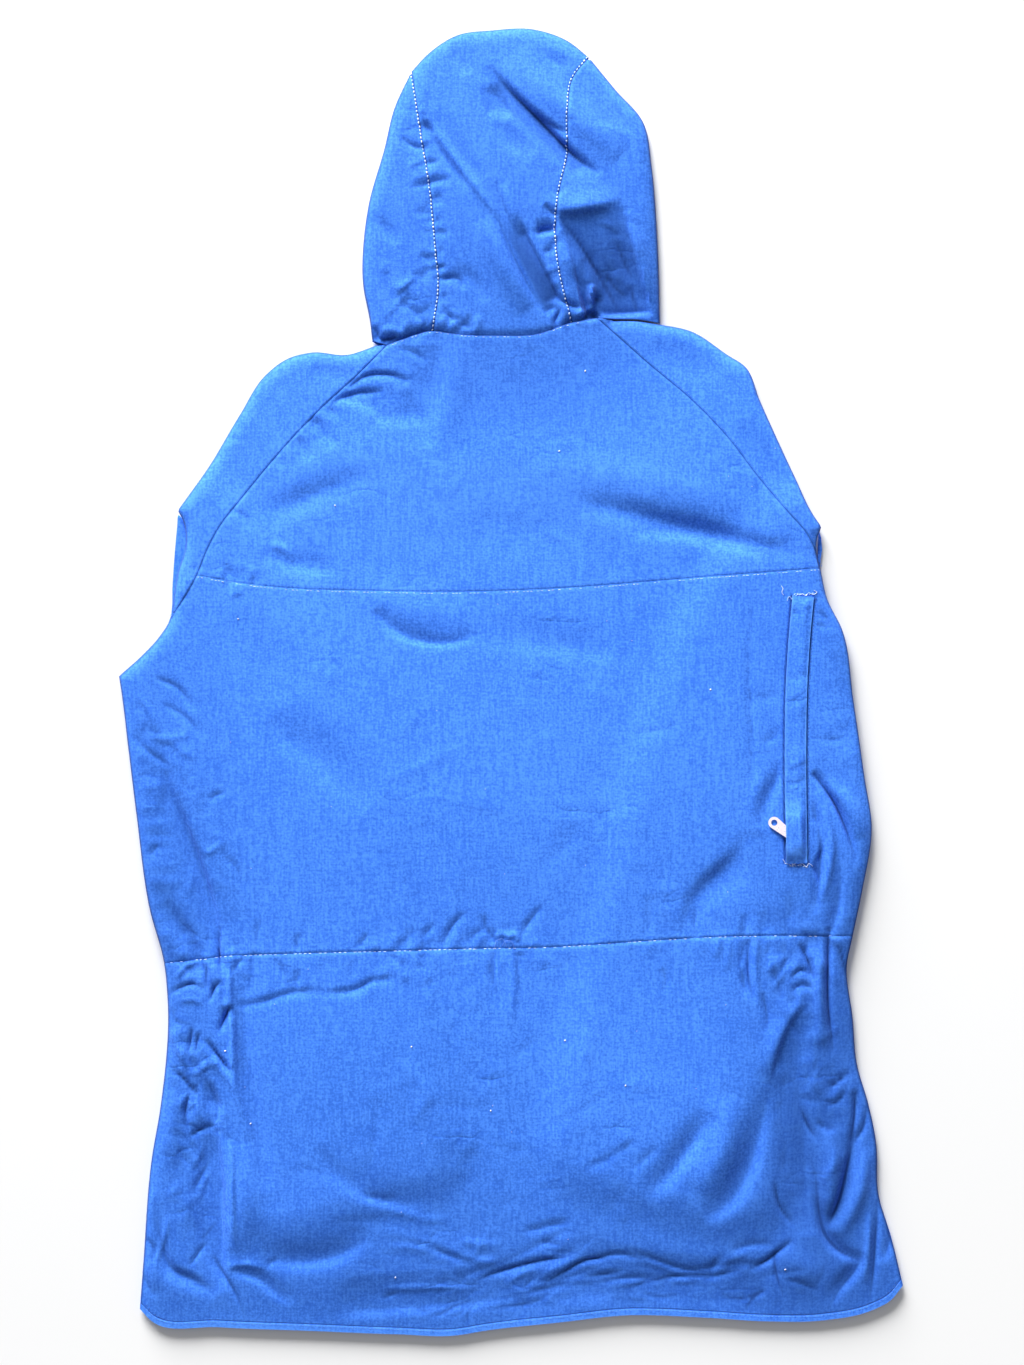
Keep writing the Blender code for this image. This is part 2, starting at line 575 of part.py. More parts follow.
class Coat:
    """Every line, layer and panel of the parka."""

    def __init__(self, collection):
        self.collection = collection
        left_edge, right_edge = smooth_line(LEFT_EDGE), smooth_line(RIGHT_EDGE)
        self.body = Silhouette((left_edge, 1), (right_edge, -1))
        self.hem = at(smooth_line(HEM), ACROSS_BACK)
        self.waist = at(smooth_line(WAIST_SEAM), ACROSS_BACK)
        self.yoke = at(smooth_line(YOKE_SEAM), ACROSS_BACK)
        self.neck_line = smooth_line(NECK_SEAM)
        self.neck = at(self.neck_line, ACROSS_BACK)
        self.cut_sides(left_edge, right_edge)
        self.cut_raglans(left_edge, right_edge)
        self.hood_left_edge = at(smooth_line(HOOD_LEFT_EDGE), UP_HOOD)
        self.hood_right_edge = at(smooth_line(HOOD_RIGHT_EDGE), UP_HOOD)
        self.hood = Silhouette(
            (smooth_line(HOOD_LEFT_EDGE), -1),
            (smooth_line(CROWN), -1),
            (smooth_line(HOOD_RIGHT_EDGE), 1),
        )
        self.left_sleeve = self.cut_sleeve(
            LEFT_SLEEVE_OUTER, LEFT_SLEEVE_INNER, LEFT_SLEEVE_FOLD[::-1]
        )
        self.right_sleeve = self.cut_sleeve(
            RIGHT_SLEEVE_INNER, RIGHT_SLEEVE_OUTER, RIGHT_SLEEVE_FOLD
        )
        self.heights = Heights(
            [self.outline(self.left_sleeve), self.outline(self.right_sleeve)], smooth_line(HEM)
        )

    def cut_sides(self, left_edge, right_edge):
        """The points of the side edges, shared by the back and the fronts."""
        left_waist, right_waist = WAIST_SEAM[0], WAIST_SEAM[-1]
        self.left_skirt_side = at(between(left_edge, HEM[0], left_waist), UP_SKIRT)
        self.right_skirt_side = at(between(right_edge, HEM[-1], right_waist), UP_SKIRT)
        self.left_side = joined(
            spans(between(left_edge, left_waist, UNDERARM), SIDE_SPANS),
            spans(between(left_edge, UNDERARM, LEFT_RAGLAN[-1]), UNDERARM_SPANS),
        )
        self.right_side = spans(
            between(right_edge, right_waist, RIGHT_RAGLAN[-1]),
            SIDE_SPANS + UNDERARM_SPANS + ARMHOLE_SPANS,
        )

    def cut_raglans(self, left_edge, right_edge):
        """The points of the raglan seams and of the shoulders, from the underarm to the neck."""
        line = smooth_line(LEFT_RAGLAN[::-1])
        self.left_armhole = spans(between(line, LEFT_RAGLAN[-1], YOKE_SEAM[0]), ARMHOLE_SPANS)
        self.left_yoke_side = at(between(line, YOKE_SEAM[0], LEFT_RAGLAN[0]), UP_YOKE)
        self.right_yoke_side = at(smooth_line(RIGHT_RAGLAN[::-1]), UP_YOKE)
        self.left_raglan = joined(self.left_armhole, self.left_yoke_side)
        self.right_raglan = self.right_yoke_side
        left_up = lengths(self.left_raglan) / lengths(self.left_raglan)[-1]
        self.left_shoulder = at(between(left_edge, LEFT_RAGLAN[-1], LEFT_EDGE[0]), left_up)
        self.right_shoulder = at(between(right_edge, RIGHT_RAGLAN[-1], RIGHT_EDGE[0]), UP_YOKE)
        self.left_front_raglan = at(smooth_line(LEFT_FRONT_RAGLAN[::-1]), left_up)
        self.right_front_raglan = at(smooth_line(RIGHT_FRONT_RAGLAN[::-1]), UP_YOKE)

    @staticmethod
    def cut_sleeve(left, right, fold):
        """The plan of a folded sleeve, from its cuff to its fold."""
        left, right = at(smooth_line(left), UP_SLEEVE), at(smooth_line(right), UP_SLEEVE)
        cuff = at(np.array([left[0], right[0]]), ACROSS_SLEEVE)
        return patch(cuff, at(smooth_line(fold)[::-1], ACROSS_SLEEVE), left, right)

    @staticmethod
    def outline(plan):
        """The closed outline of a plan."""
        ring = joined(plan[0], plan[:, -1], plan[-1][::-1], plan[:, 0][::-1])
        return at(ring, np.linspace(0, 1, OUTLINE_POINTS, endpoint=False))

    def wall(self, name, surface, **more):
        """One shell cloth piece of the coat."""
        return cloth_wall(name, surface, SHELL, self.collection, **more)

    def raised(self, plan, is_upper, gap=0.0):
        """A plan patch of the body raised on to the back, or on to the front below it."""
        return layer(plan, self.heights, self.body, is_upper, gap)

    def back(self):
        """The skirt, the middle and the yoke of the back."""
        skirt = patch(self.hem, self.waist, self.left_skirt_side, self.right_skirt_side)
        self.wall("back_skirt", self.raised(drawn_in(skirt, "top"), True, SEAM_GAP))
        left = joined(self.left_side, self.left_armhole)
        middle = patch(self.waist, self.yoke, left, self.right_side)
        middle = drawn_in(middle, "bottom", "top")
        arm = middle[-ARMHOLE_SPANS - 1 :]
        arm[:] = drawn_in(arm, "left")
        self.wall("back_middle", self.raised(middle, True, SEAM_GAP))
        yoke = patch(self.yoke, self.neck, self.left_yoke_side, self.right_yoke_side)
        yoke = drawn_in(yoke, "bottom", "top", "left", "right")
        self.wall("back_yoke", self.raised(yoke, True, SEAM_GAP))

    def front(self):
        """The two fronts, which lie under the back, and the closed zip between them."""
        hem, neck = smooth_line(HEM), smooth_line(FRONT_NECK)
        zip_foot, zip_top = [], []
        sides = (
            ("front_left", 0, -1, (self.left_skirt_side, self.left_side), self.left_front_raglan),
            (
                "front_right", -1, 1,
                (self.right_skirt_side, self.right_side),
                self.right_front_raglan,
            ),
        )
        for name, end, hand, side, raglan in sides:
            edge = FRONT_ZIP_HALF_WIDTH * hand
            bottom = between(hem, HEM[end], (edge, ZIP_FOOT))
            top = between(neck, FRONT_NECK[end], (edge, FRONT_NECK_CENTRE))
            bottom, top = at(bottom, ACROSS_FRONT), at(top, ACROSS_FRONT)
            side = joined(*side, raglan)
            centre = at(np.array([bottom[-1], top[-1]]), lengths(side) / lengths(side)[-1])
            plan = drawn_in(patch(bottom, top, side, centre), "right")
            plan[-len(raglan) :] = drawn_in(plan[-len(raglan) :], "left")
            self.wall(name, self.raised(plan, False, SEAM_GAP))
            zip_foot.append(bottom[-1])
            zip_top.append(top[-1])
        strip = drawn_in(np.array([zip_foot, zip_top]), "left", "right")
        cloth_wall("front_zip", self.raised(strip, False), ZIP_TAPE, self.collection)

    def sleeves(self):
        """The caps, which turn over the shoulders, and the lengths folded under the coat."""
        caps = {
            "sleeve_left": (self.left_raglan, self.left_shoulder, self.left_front_raglan),
            "sleeve_right": (self.right_raglan, self.right_shoulder, self.right_front_raglan),
        }
        for name, rows in caps.items():
            raglan, shoulder, front = (row[1:] for row in rows)
            top = patch(
                at(np.array([raglan[0], shoulder[0]]), ACROSS_CAP),
                at(np.array([raglan[-1], shoulder[-1]]), ACROSS_CAP),
                raglan,
                shoulder,
            )
            below = patch(
                at(np.array([shoulder[0], front[0]]), ACROSS_CAP_UNDER),
                at(np.array([shoulder[-1], front[-1]]), ACROSS_CAP_UNDER),
                shoulder,
                front,
            )
            self.wall(
                name,
                side_by_side(
                    self.raised(drawn_in(top, "left", "top"), True),
                    self.raised(drawn_in(below, "right", "top"), False),
                ),
            )
        self.folded_sleeve("sleeve_left_folded", self.left_sleeve)
        self.folded_sleeve("sleeve_right_folded", self.right_sleeve)

    def folded_sleeve(self, name, plan):
        """A sleeve pressed flat: two layers with a tight turn along each side."""
        radius = (CLOTH + SLEEVE_GAP) / 2
        low, high = CLOTH / 2, CLOTH / 2 + 2 * radius
        inset = radius + CLOTH / 2
        across = plan[:, -1] - plan[:, 0]
        across /= np.linalg.norm(across, axis=1)[:, None]
        plan = plan.copy()
        plan[:, 0] += across * inset
        plan[:, -1] -= across * inset
        flat = np.zeros(plan.shape[:2] + (1,))
        down, up = np.array([0.0, 0.0, -1.0]), np.array([0.0, 0.0, 1.0])

        def layer_at(points, z, normal):
            level = flat[:, : points.shape[1]] + z
            return np.concatenate([points, level], axis=2), np.broadcast_to(
                normal, points.shape[:2] + (3,)
            )

        def turn_at(edge, outward):
            points, normals = [], []
            for angle in TURN_ANGLES:
                c, s = math.cos(math.radians(angle)), math.sin(math.radians(angle))
                normal = np.concatenate([outward * c, np.full((len(edge), 1), s)], axis=1)
                middle = np.concatenate([edge, np.full((len(edge), 1), low + radius)], axis=1)
                points.append(middle + normal * radius)
                normals.append(normal)
            return np.stack(points, axis=1), np.stack(normals, axis=1)

        lower = layer_at(plan, low, down)
        right = turn_at(plan[:, -1], across)
        upper = layer_at(plan[:, ::-1], high, up)
        left = turn_at(plan[:, 0], -across)
        left = left[0][:, ::-1], left[1][:, ::-1]
        points = np.concatenate([lower[0], right[0], upper[0], left[0]], axis=1)
        normals = np.concatenate([lower[1], right[1], upper[1], left[1]], axis=1)
        self.wall(name, Surface(points, normals), ring=True)

    def hood_panels(self):
        """The hood: a centre strip over the crown and two sides that turn under."""
        neck = self.neck_line
        left_foot, right_foot = HOOD_LEFT_SEAM[0], HOOD_RIGHT_SEAM[0]
        left_seam = at(smooth_line(HOOD_LEFT_SEAM), UP_HOOD)
        right_seam = at(smooth_line(HOOD_RIGHT_SEAM), UP_HOOD)
        under_left = at(smooth_line(HOOD_LEFT_UNDER_SEAM[::-1]), DOWN_HOOD_UNDER)
        under_right = at(smooth_line(HOOD_RIGHT_UNDER_SEAM[::-1]), DOWN_HOOD_UNDER)

        def raised(plan, is_upper):
            return layer(plan, self.heights, self.hood, is_upper)

        base = between(neck, left_foot, right_foot)
        crown = at(smooth_line(CROWN), ACROSS_HOOD_CENTRE)
        over = patch(at(base, ACROSS_HOOD_CENTRE), crown, left_seam, right_seam)
        face_top = at(smooth_line(FACE_TOP), ACROSS_HOOD_CENTRE)
        below = patch(crown, face_top, under_left, under_right)
        over = drawn_in(drawn_in(over, "bottom", by=NECK_GAP), "left", "right")
        below = drawn_in(below, "left", "right")
        below[0] = over[-1]
        self.wall("hood_centre", end_to_end(raised(over, True), raised(below, False)))

        face_rows = len(UP_HOOD) - HOOD_TIP_ROWS - (len(DOWN_HOOD_UNDER) - HOOD_UNDER_TIP_ROWS) + 1
        sides = {
            "hood_left": (
                left_seam,
                self.hood_left_edge,
                joined(
                    spans(smooth_line(FACE_LEFT), face_rows - 1),
                    under_left[: HOOD_UNDER_TIP_ROWS - 1 : -1],
                ),
                joined(between(neck, left_foot, NECK_SEAM[0]), smooth_line(HOOD_LEFT_OVERHANG)),
                smooth_line(HOOD_LEFT_UNDER_BASE),
            ),
            "hood_right": (
                right_seam,
                self.hood_right_edge,
                joined(
                    spans(smooth_line(FACE_RIGHT), face_rows - 1),
                    under_right[: HOOD_UNDER_TIP_ROWS - 1 : -1],
                ),
                joined(between(neck, right_foot, NECK_SEAM[-1]), smooth_line(HOOD_RIGHT_OVERHANG)),
                smooth_line(HOOD_RIGHT_UNDER_BASE),
            ),
        }
        for name, (seam, edge, face, base, under_base) in sides.items():
            seam, edge = seam[:-HOOD_TIP_ROWS], edge[:-HOOD_TIP_ROWS]
            over = patch(
                at(base, ACROSS_HOOD_SIDE),
                at(np.array([seam[-1], edge[-1]]), ACROSS_HOOD_SIDE),
                seam,
                edge,
            )
            below = patch(
                at(under_base, ACROSS_HOOD_UNDER),
                at(np.array([edge[-1], face[-1]]), ACROSS_HOOD_UNDER),
                edge,
                face,
            )
            over = drawn_in(drawn_in(over, "bottom", by=NECK_GAP), "left")
            below = drawn_in(below, "right")
            below[:, 0] = over[:, -1]
            self.wall(name, side_by_side(raised(over, True), raised(below, False)))


class Pocket:
    """The zip pocket on the right of the back: a welt over a zip, and its slider and pull.

    Sizes along the welt are counted from its top end, and sizes across it to the right.
    """

    def __init__(self, collection):
        self.collection = collection
        top, bottom = np.array(WELT_TOP), np.array(WELT_BOTTOM)
        self.length = float(np.linalg.norm(bottom - top))
        self.down = (bottom - top) / self.length
        self.right = np.array([-self.down[1], self.down[0]])
        self.top = top
        self.panel = POCKET_LEVEL + CLOTH / 2
        self.chain_top = self.panel + LAYER_GAP + CHAIN_WALL
        self.slider_top = self.chain_top + LAYER_GAP + SLIDER_SIZE[2]

    def welt_rise(self, along, across):
        """The height of the welt's middle surface above the cloth of the back.

        The welt lies on the zip's tape, comes down to the cloth along its sewn right side and its
        two ends, and stands up over the slider and the pull, most on its open left side.
        """
        rest = LAYER_GAP + WELT_WALL / 2
        over_tape = CHAIN_WALL + LAYER_GAP
        beyond = np.maximum(across - CHAIN_WIDTH / 2, 0) / (WELT_WIDTH / 2 - CHAIN_WIDTH / 2)
        ends = np.minimum(along, self.length - along) / WELT_END
        lie = over_tape * (1 - smoothstep(beyond)) * smoothstep(ends)
        from_slider = np.linalg.norm(WELT_BOTTOM_TO_SLIDER)
        apart = (self.length - along - from_slider - WELT_BUMP_SHIFT) / WELT_BUMP
        open_side = 1 - smoothstep((across - WELT_WIDTH / 6) / (WELT_WIDTH / 3))
        return rest + lie + WELT_BUMP_HEIGHT * np.exp(-(apart**4)) * open_side

    def welt(self):
        """The strip of cloth that covers the zip."""
        flat_end = self.length - WELT_SHAPED_END
        along = joined(
            np.linspace(0, WELT_END, 3),
            np.linspace(WELT_END, flat_end, 6),
            np.linspace(flat_end, self.length, 13),
        )
        across = WELT_COLUMNS * WELT_WIDTH / 2
        a, c = np.meshgrid(along, across, indexing="ij")
        plan = self.top + a[..., None] * self.down + c[..., None] * self.right
        z = POCKET_LEVEL + CLOTH / 2 + self.welt_rise(a, c)
        points = np.concatenate([plan, z[..., None]], axis=2)
        tangents = np.gradient(points, axis=0), np.gradient(points, axis=1)
        normals = np.cross(*tangents)
        normals /= np.linalg.norm(normals, axis=2, keepdims=True)
        normals *= np.sign(normals[..., 2:])
        cloth_wall("pocket_welt", Surface(points, normals), SHELL, self.collection, wall=WELT_WALL)

    def tape(self):
        """The zip's closed chain, on the back's cloth."""
        middle = self.top + self.down * self.length / 2
        length = self.length - 2 * WELT_END
        bpy.ops.mesh.primitive_cube_add(size=1)
        tape = bpy.context.object
        tape.name = "pocket_zip_tape"
        tape.data.transform(Matrix.Diagonal((CHAIN_WIDTH * MM, length * MM, CHAIN_WALL * MM, 1)))
        tape.location = Vector((*middle, self.panel + LAYER_GAP + CHAIN_WALL / 2)) * MM
        tape.rotation_euler.z = math.atan2(self.down[1], self.down[0]) + math.pi / 2
        place(tape, ZIP_TAPE, self.collection)

    def slider(self, cutters):
        """The slider's body with the post and head that hold its pull."""
        bpy.ops.mesh.primitive_cube_add(size=1)
        slider = bpy.context.object
        slider.name = "zip_slider"
        slider.data.transform(Matrix.Diagonal((*(size * MM for size in SLIDER_SIZE), 1)))
        slider.location = Vector((*SLIDER, self.slider_top - SLIDER_SIZE[2] / 2)) * MM
        bevel = slider.modifiers.new("rounded corners", "BEVEL")
        bevel.width = SLIDER_EDGE * MM
        bevel.segments = 2
        post_height = PULL_ROOM + SLIDER_HEAD_HEIGHT
        for name, radius, low, high in (
            ("slider_post", SLIDER_POST_RADIUS, -SLIDER_SIZE[2] / 2, post_height),
            ("slider_head", SLIDER_HEAD_RADIUS, PULL_ROOM, post_height),
        ):
            bpy.ops.mesh.primitive_cylinder_add(
                vertices=20, radius=radius * MM, depth=(high - low) * MM
            )
            shape = bpy.context.object
            shape.name = name
            shape.location = Vector((*SLIDER, self.slider_top + (low + high) / 2)) * MM
            shape.hide_render = True
            shape.display_type = "WIRE"
            for owner in list(shape.users_collection):
                owner.objects.unlink(shape)
            cutters.objects.link(shape)
            join = slider.modifiers.new(name, "BOOLEAN")
            join.operation = "UNION"
            join.object = shape
        place(slider, ZIP_METAL, self.collection)

    def pull(self):
        """The flat metal pull: a tapering tab with a large hole at its end and an eye."""
        curve = bpy.data.curves.new("zip_pull", "CURVE")
        curve.dimensions = "2D"
        curve.fill_mode = "BOTH"
        curve.extrude = PULL_WALL / 2 * MM
        lean = math.asin((PULL_END_RADIUS - PULL_EYE_RADIUS) / PULL_REACH)
        far_end = arc((PULL_REACH, 0), PULL_END_RADIUS, -math.pi / 2 - lean, math.pi / 2 + lean, 16)
        eye = arc((0, 0), PULL_EYE_RADIUS, math.pi / 2 + lean, 1.5 * math.pi - lean, 10)
        for points in (
            far_end + eye,
            arc((PULL_REACH, 0), PULL_HOLE_RADIUS, 0, 2 * math.pi, 20)[:-1],
            arc((0, 0), PULL_EYE_HOLE_RADIUS, 0, 2 * math.pi, 16)[:-1],
        ):
            spline = curve.splines.new("POLY")
            spline.points.add(len(points) - 1)
            for point, (x, y) in zip(spline.points, points):
                point.co = (x * MM, y * MM, 0, 1)
            spline.use_cyclic_u = True
        pull = bpy.data.objects.new("zip_pull", curve)
        pivot = (*SLIDER, self.slider_top + PULL_RISE)
        pull.matrix_world = (
            Matrix.Translation(Vector(pivot) * MM)
            @ Matrix.Rotation(PULL_TURN, 4, "Z")
            @ Matrix.Rotation(PULL_DROP, 4, "Y")
        )
        place(pull, ZIP_METAL, self.collection)


def arc(centre, radius, start, end, count):
    """Points on an arc, from the start angle to the end angle."""
    angles = [start + (end - start) * i / count for i in range(count + 1)]
    return [(centre[0] + radius * math.cos(a), centre[1] + radius * math.sin(a)) for a in angles]


def clear_scene():
    """Removes what the scene starts with."""
    for obj in list(bpy.data.objects):
        bpy.data.objects.remove(obj)


def main():
    """Builds the parka in a collection of its own."""
    clear_scene()
    collection = bpy.data.collections.new("parka")
    cutters = bpy.data.collections.new("cutters")
    bpy.context.scene.collection.children.link(collection)
    bpy.context.scene.collection.children.link(cutters)
    coat = Coat(collection)
    coat.back()
    coat.front()
    coat.sleeves()
    coat.hood_panels()
    pocket = Pocket(collection)
    pocket.welt()
    pocket.tape()
    pocket.slider(cutters)
    pocket.pull()


main()
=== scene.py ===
"""A hooded parka of plain-woven blue cloth, lying face down with its sleeves folded under it.

Every cloth piece is a grid over a patch in plan, raised by one of two height fields: the upper
layer is the back of the coat, the under layer is its front. Both meet in a round turn at the
silhouette. Sizes are in millimetres until a mesh is made. X is to the right, Y towards the hood,
Z up, and the origin is on the floor below the middle of the coat.
"""
import json
import logging
import math
from dataclasses import dataclass, field
from enum import Enum
from typing import Any, ClassVar, Iterable, Sequence

import bpy
import numpy as np
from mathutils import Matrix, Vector

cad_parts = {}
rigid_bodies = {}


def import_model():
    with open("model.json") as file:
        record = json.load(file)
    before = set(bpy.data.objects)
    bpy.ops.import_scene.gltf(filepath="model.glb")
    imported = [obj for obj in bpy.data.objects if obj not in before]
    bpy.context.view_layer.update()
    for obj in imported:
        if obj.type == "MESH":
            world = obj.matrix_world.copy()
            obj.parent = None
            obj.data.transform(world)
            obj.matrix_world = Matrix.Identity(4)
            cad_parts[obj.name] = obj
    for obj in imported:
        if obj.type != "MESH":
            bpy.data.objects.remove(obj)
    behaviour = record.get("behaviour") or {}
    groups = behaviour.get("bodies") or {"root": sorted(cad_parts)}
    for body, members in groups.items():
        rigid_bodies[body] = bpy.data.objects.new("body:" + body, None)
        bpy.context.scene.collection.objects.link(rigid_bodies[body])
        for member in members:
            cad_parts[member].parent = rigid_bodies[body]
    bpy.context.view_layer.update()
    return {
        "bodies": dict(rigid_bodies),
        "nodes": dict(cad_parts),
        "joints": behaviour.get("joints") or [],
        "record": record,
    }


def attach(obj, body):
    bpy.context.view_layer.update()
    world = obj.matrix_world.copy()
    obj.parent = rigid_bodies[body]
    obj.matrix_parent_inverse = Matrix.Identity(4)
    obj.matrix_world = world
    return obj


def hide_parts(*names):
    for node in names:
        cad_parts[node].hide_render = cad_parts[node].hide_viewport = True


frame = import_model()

Array = np.ndarray
Point = tuple[float, float]
LOG = logging.getLogger("parka")
MM = 0.001
GARMENT = "garment"  # the body of every piece but the pull, which is the source's own

# ------------------------------------------------------------------ lines of the coat in plan
# A point that is given twice in a row is a corner.
LEFT_EDGE = [
    (-115, 286), (-140, 278), (-170, 280), (-190, 275), (-209, 261), (-231, 227), (-261, 177),
    (-283, 146), (-283, 146), (-278, 136), (-277, 113), (-283, 94), (-286, 77), (-289, 55),
    (-300, 37), (-313, 23), (-333, 5), (-333, 5), (-331, -8), (-325, -57), (-318, -114),
    (-307, -193), (-295, -238), (-292, -270), (-298, -359), (-306, -407), (-313, -495),
    (-316, -533),
]
RIGHT_EDGE = [
    (86, 307), (106, 307), (124, 304), (152, 298), (183, 278), (198, 268), (210, 240), (240, 174),
    (254, 144), (262, 132), (262, 132), (258, 121), (258, 109), (261, 97), (267, 71), (280, 44),
    (289, -13), (299, -82), (305, -122), (297, -177), (289, -215), (284, -240), (289, -285),
    (293, -326), (302, -357), (309, -391), (311, -435), (322, -472), (332, -513),
]
HEM = [
    (-316, -533), (-306, -543), (-249, -548), (-174, -551), (-98, -554), (-48, -555), (-23, -551),
    (40, -544), (96, -538), (166, -540), (216, -543), (266, -542), (305, -534), (322, -525),
    (332, -513),
]
WAIST_SEAM = [
    (-295, -238), (-265, -235), (-244, -232), (-199, -230), (-98, -227), (-8, -225), (40, -224),
    (96, -220), (191, -215), (289, -215),
]
YOKE_SEAM = [
    (-267, 91), (-234, 85), (-201, 81), (-127, 78), (-45, 77), (40, 80), (108, 85), (168, 90),
    (210, 93), (261, 97),
]
NECK_SEAM = [
    (-106, 286), (-96, 290), (-67, 298), (-44, 295), (-10, 294), (20, 295), (47, 304), (72, 309),
]
LEFT_RAGLAN = [
    (-106, 286), (-131, 261), (-153, 241), (-179, 215), (-204, 187), (-231, 154), (-249, 130),
    (-258, 113), (-267, 91), (-277, 73), (-289, 55),
]
RIGHT_RAGLAN = [
    (72, 309), (88, 295), (115, 271), (154, 238), (181, 210), (209, 174), (236, 142), (250, 126),
    (257, 112), (261, 97),
]
LEFT_FRONT_RAGLAN = [(-92, 268), (-130, 240), (-180, 190), (-225, 140), (-262, 92), (-289, 55)]
RIGHT_FRONT_RAGLAN = [(66, 290), (110, 262), (160, 215), (210, 160), (245, 125), (261, 97)]
FRONT_NECK = [(-92, 268), (-50, 259), (-15, 256), (15, 256), (45, 268), (66, 290)]
HOOD_LEFT_EDGE = [
    (-118, 290), (-120, 307), (-126, 339), (-125, 380), (-121, 407), (-108, 453), (-99, 489),
    (-85, 519),
]
CROWN = [(-85, 519), (-71, 534), (-46, 550), (-17, 554), (17, 555), (47, 545), (65, 531)]
HOOD_RIGHT_EDGE = [
    (125, 305.4), (124, 352), (122, 393), (118, 439), (111, 476), (88, 503), (65, 531),
]
HOOD_LEFT_SEAM = [(-67, 298), (-62, 339), (-64, 362), (-69, 416), (-77, 466), (-85, 519)]
HOOD_RIGHT_SEAM = [
    (51, 305), (39, 357), (37, 385), (39, 412), (47, 450), (47, 485), (51, 512), (65, 531),
]
HOOD_LEFT_OVERHANG = [(-106, 286), (-118, 290)]
HOOD_RIGHT_OVERHANG = [(72, 309), (86, 308.3), (106, 308.2), (125, 305.4)]
HOOD_LEFT_UNDER_BASE = [(-118, 290), (-92, 270), (-50, 261), (-8, 258)]
HOOD_RIGHT_UNDER_BASE = [(125, 310), (100, 313), (84, 311), (63, 294), (43, 271), (8, 258)]
FACE_LEFT = [(-8, 258), (-14, 300), (-22, 360), (-30, 410), (-38, 440)]
FACE_RIGHT = [(8, 258), (13, 300), (19, 360), (26, 410), (32, 440)]
FACE_TOP = [(-38, 440), (-3, 452), (32, 440)]
HOOD_LEFT_UNDER_SEAM = [(-85, 519), (-60, 478), (-38, 440)]
HOOD_RIGHT_UNDER_SEAM = [(65, 531), (47, 484), (32, 440)]
LEFT_SLEEVE_OUTER = [(-200, -425), (-262, -210), (-300, -90), (-320, 0)]
LEFT_SLEEVE_INNER = [(-84, -392), (-128, -200), (-170, -40), (-225, 80), (-284, 143)]
LEFT_SLEEVE_FOLD = [(-320, 0), (-302, 32), (-290, 57), (-289, 80), (-287, 110), (-284, 143)]
RIGHT_SLEEVE_INNER = [(74, -388), (118, -196), (158, -40), (205, 70), (261, 132)]
RIGHT_SLEEVE_OUTER = [(190, -420), (244, -230), (264, -100), (270, 0)]
RIGHT_SLEEVE_FOLD = [(261, 132), (264, 118), (262, 99), (265, 60), (270, 0)]
UNDERARM = (-333, 5)
ZIP_HALF_WIDTH = 15.0
FRONT_NECK_CENTRE = 256.0
ZIP_FOOT = -548.0
WELT_LINE = [(246.5, 73), (243.5, 40), (241, 0), (240, -60), (240.5, -120), (241, -153)]
SLIDER = (241.6, -134.0)

# ------------------------------------------------------------------ layers
CLOTH = 1.5  # the room that each layer of cloth takes
SEAM_GAP = 0.3
LAYER_GAP = 0.3
TURN_HALF_HEIGHT = 3.2  # of the round turn at the silhouette
UPPER_TURN = 12.0  # how far each layer takes to reach its full height
UNDER_TURN = 6.0
BODY_EASE = 5.0  # the air between the layers, in the middle and at the hem
HEM_EASE = 1.2
HEM_REACH = 55.0
SLEEVE_GAP = 0.5  # between the two layers of a folded sleeve
SLEEVE_LIFT = 2 * CLOTH + SLEEVE_GAP + LAYER_GAP
LIFT_KEEP = 24.0  # how far round a sleeve the cloth stays lifted, and then fades
LIFT_FADE = 40.0
OUTLINE_POINTS = 90  # of a folded sleeve
SOFT_FLOOR = 1.4  # how softly the ease comes to nothing
POCKET_LEVEL = 14.0  # the height of the level cloth below the pocket
POCKET_FLAT = 14.0  # how far beside the welt it stays level, and round the slider
PULL_FLAT = 34.0
POCKET_FADE = 40.0
WELT_CLEAR, PULL_CLEAR, CLEAR_FADE = 11.0, 8.0, 5.0  # no crease beside the pocket lies nearer
OUTER, INNER = 0.75, -0.05  # the two faces of the cloth, above and below its middle surface


class Side(Enum):
    """The sides of a patch."""

    BOTTOM = "bottom"
    TOP = "top"
    LEFT = "left"
    RIGHT = "right"


Box = tuple[float, float, float, float]  # the lowest and highest x, and the lowest and highest y


def box_round(points: Iterable[Point], pad: float) -> Box:
    """The box round some points, and pad more on each side."""
    x, y = zip(*points)
    return min(x) - pad, max(x) + pad, min(y) - pad, max(y) + pad


def bell(aside: Array, width: float, lean: float, sharp: float) -> Array:
    """The section of a fold: exp(0.1 - s^p), s the distance aside over the width of the flank.

    p goes from 2, round, to 1, an edge. lean makes the left flank steeper than the right one.

    Args:
        aside: How far the points lie to the left of the fold's line.
        width: The width of a flank.
        lean: How much steeper the left flank is, from -1 to 1.
        sharp: From 0, round, to 1, an edge.

    Returns:
        The section's height, at most about 1.
    """
    flank = width * (1 - lean * np.tanh(aside / (0.4 * width)))
    s = np.sqrt((aside / flank) ** 2 + 0.01)
    return np.exp(0.1 - s ** (2 - sharp))


@dataclass(frozen=True)
class Swell:
    """A soft patch of height, of painted shade and light with fading, or of crumpling, strongest in
    its middle.
    """

    x: float
    y: float
    half_width: float
    half_length: float
    amount: float

    def at(self, x: Array, y: Array) -> Array:
        """amount * exp(-(x/half_width)^2 - (y/half_length)^2), from its middle."""
        across, along = (x - self.x) / self.half_width, (y - self.y) / self.half_length
        return self.amount * np.exp(-(across**2) - along**2)


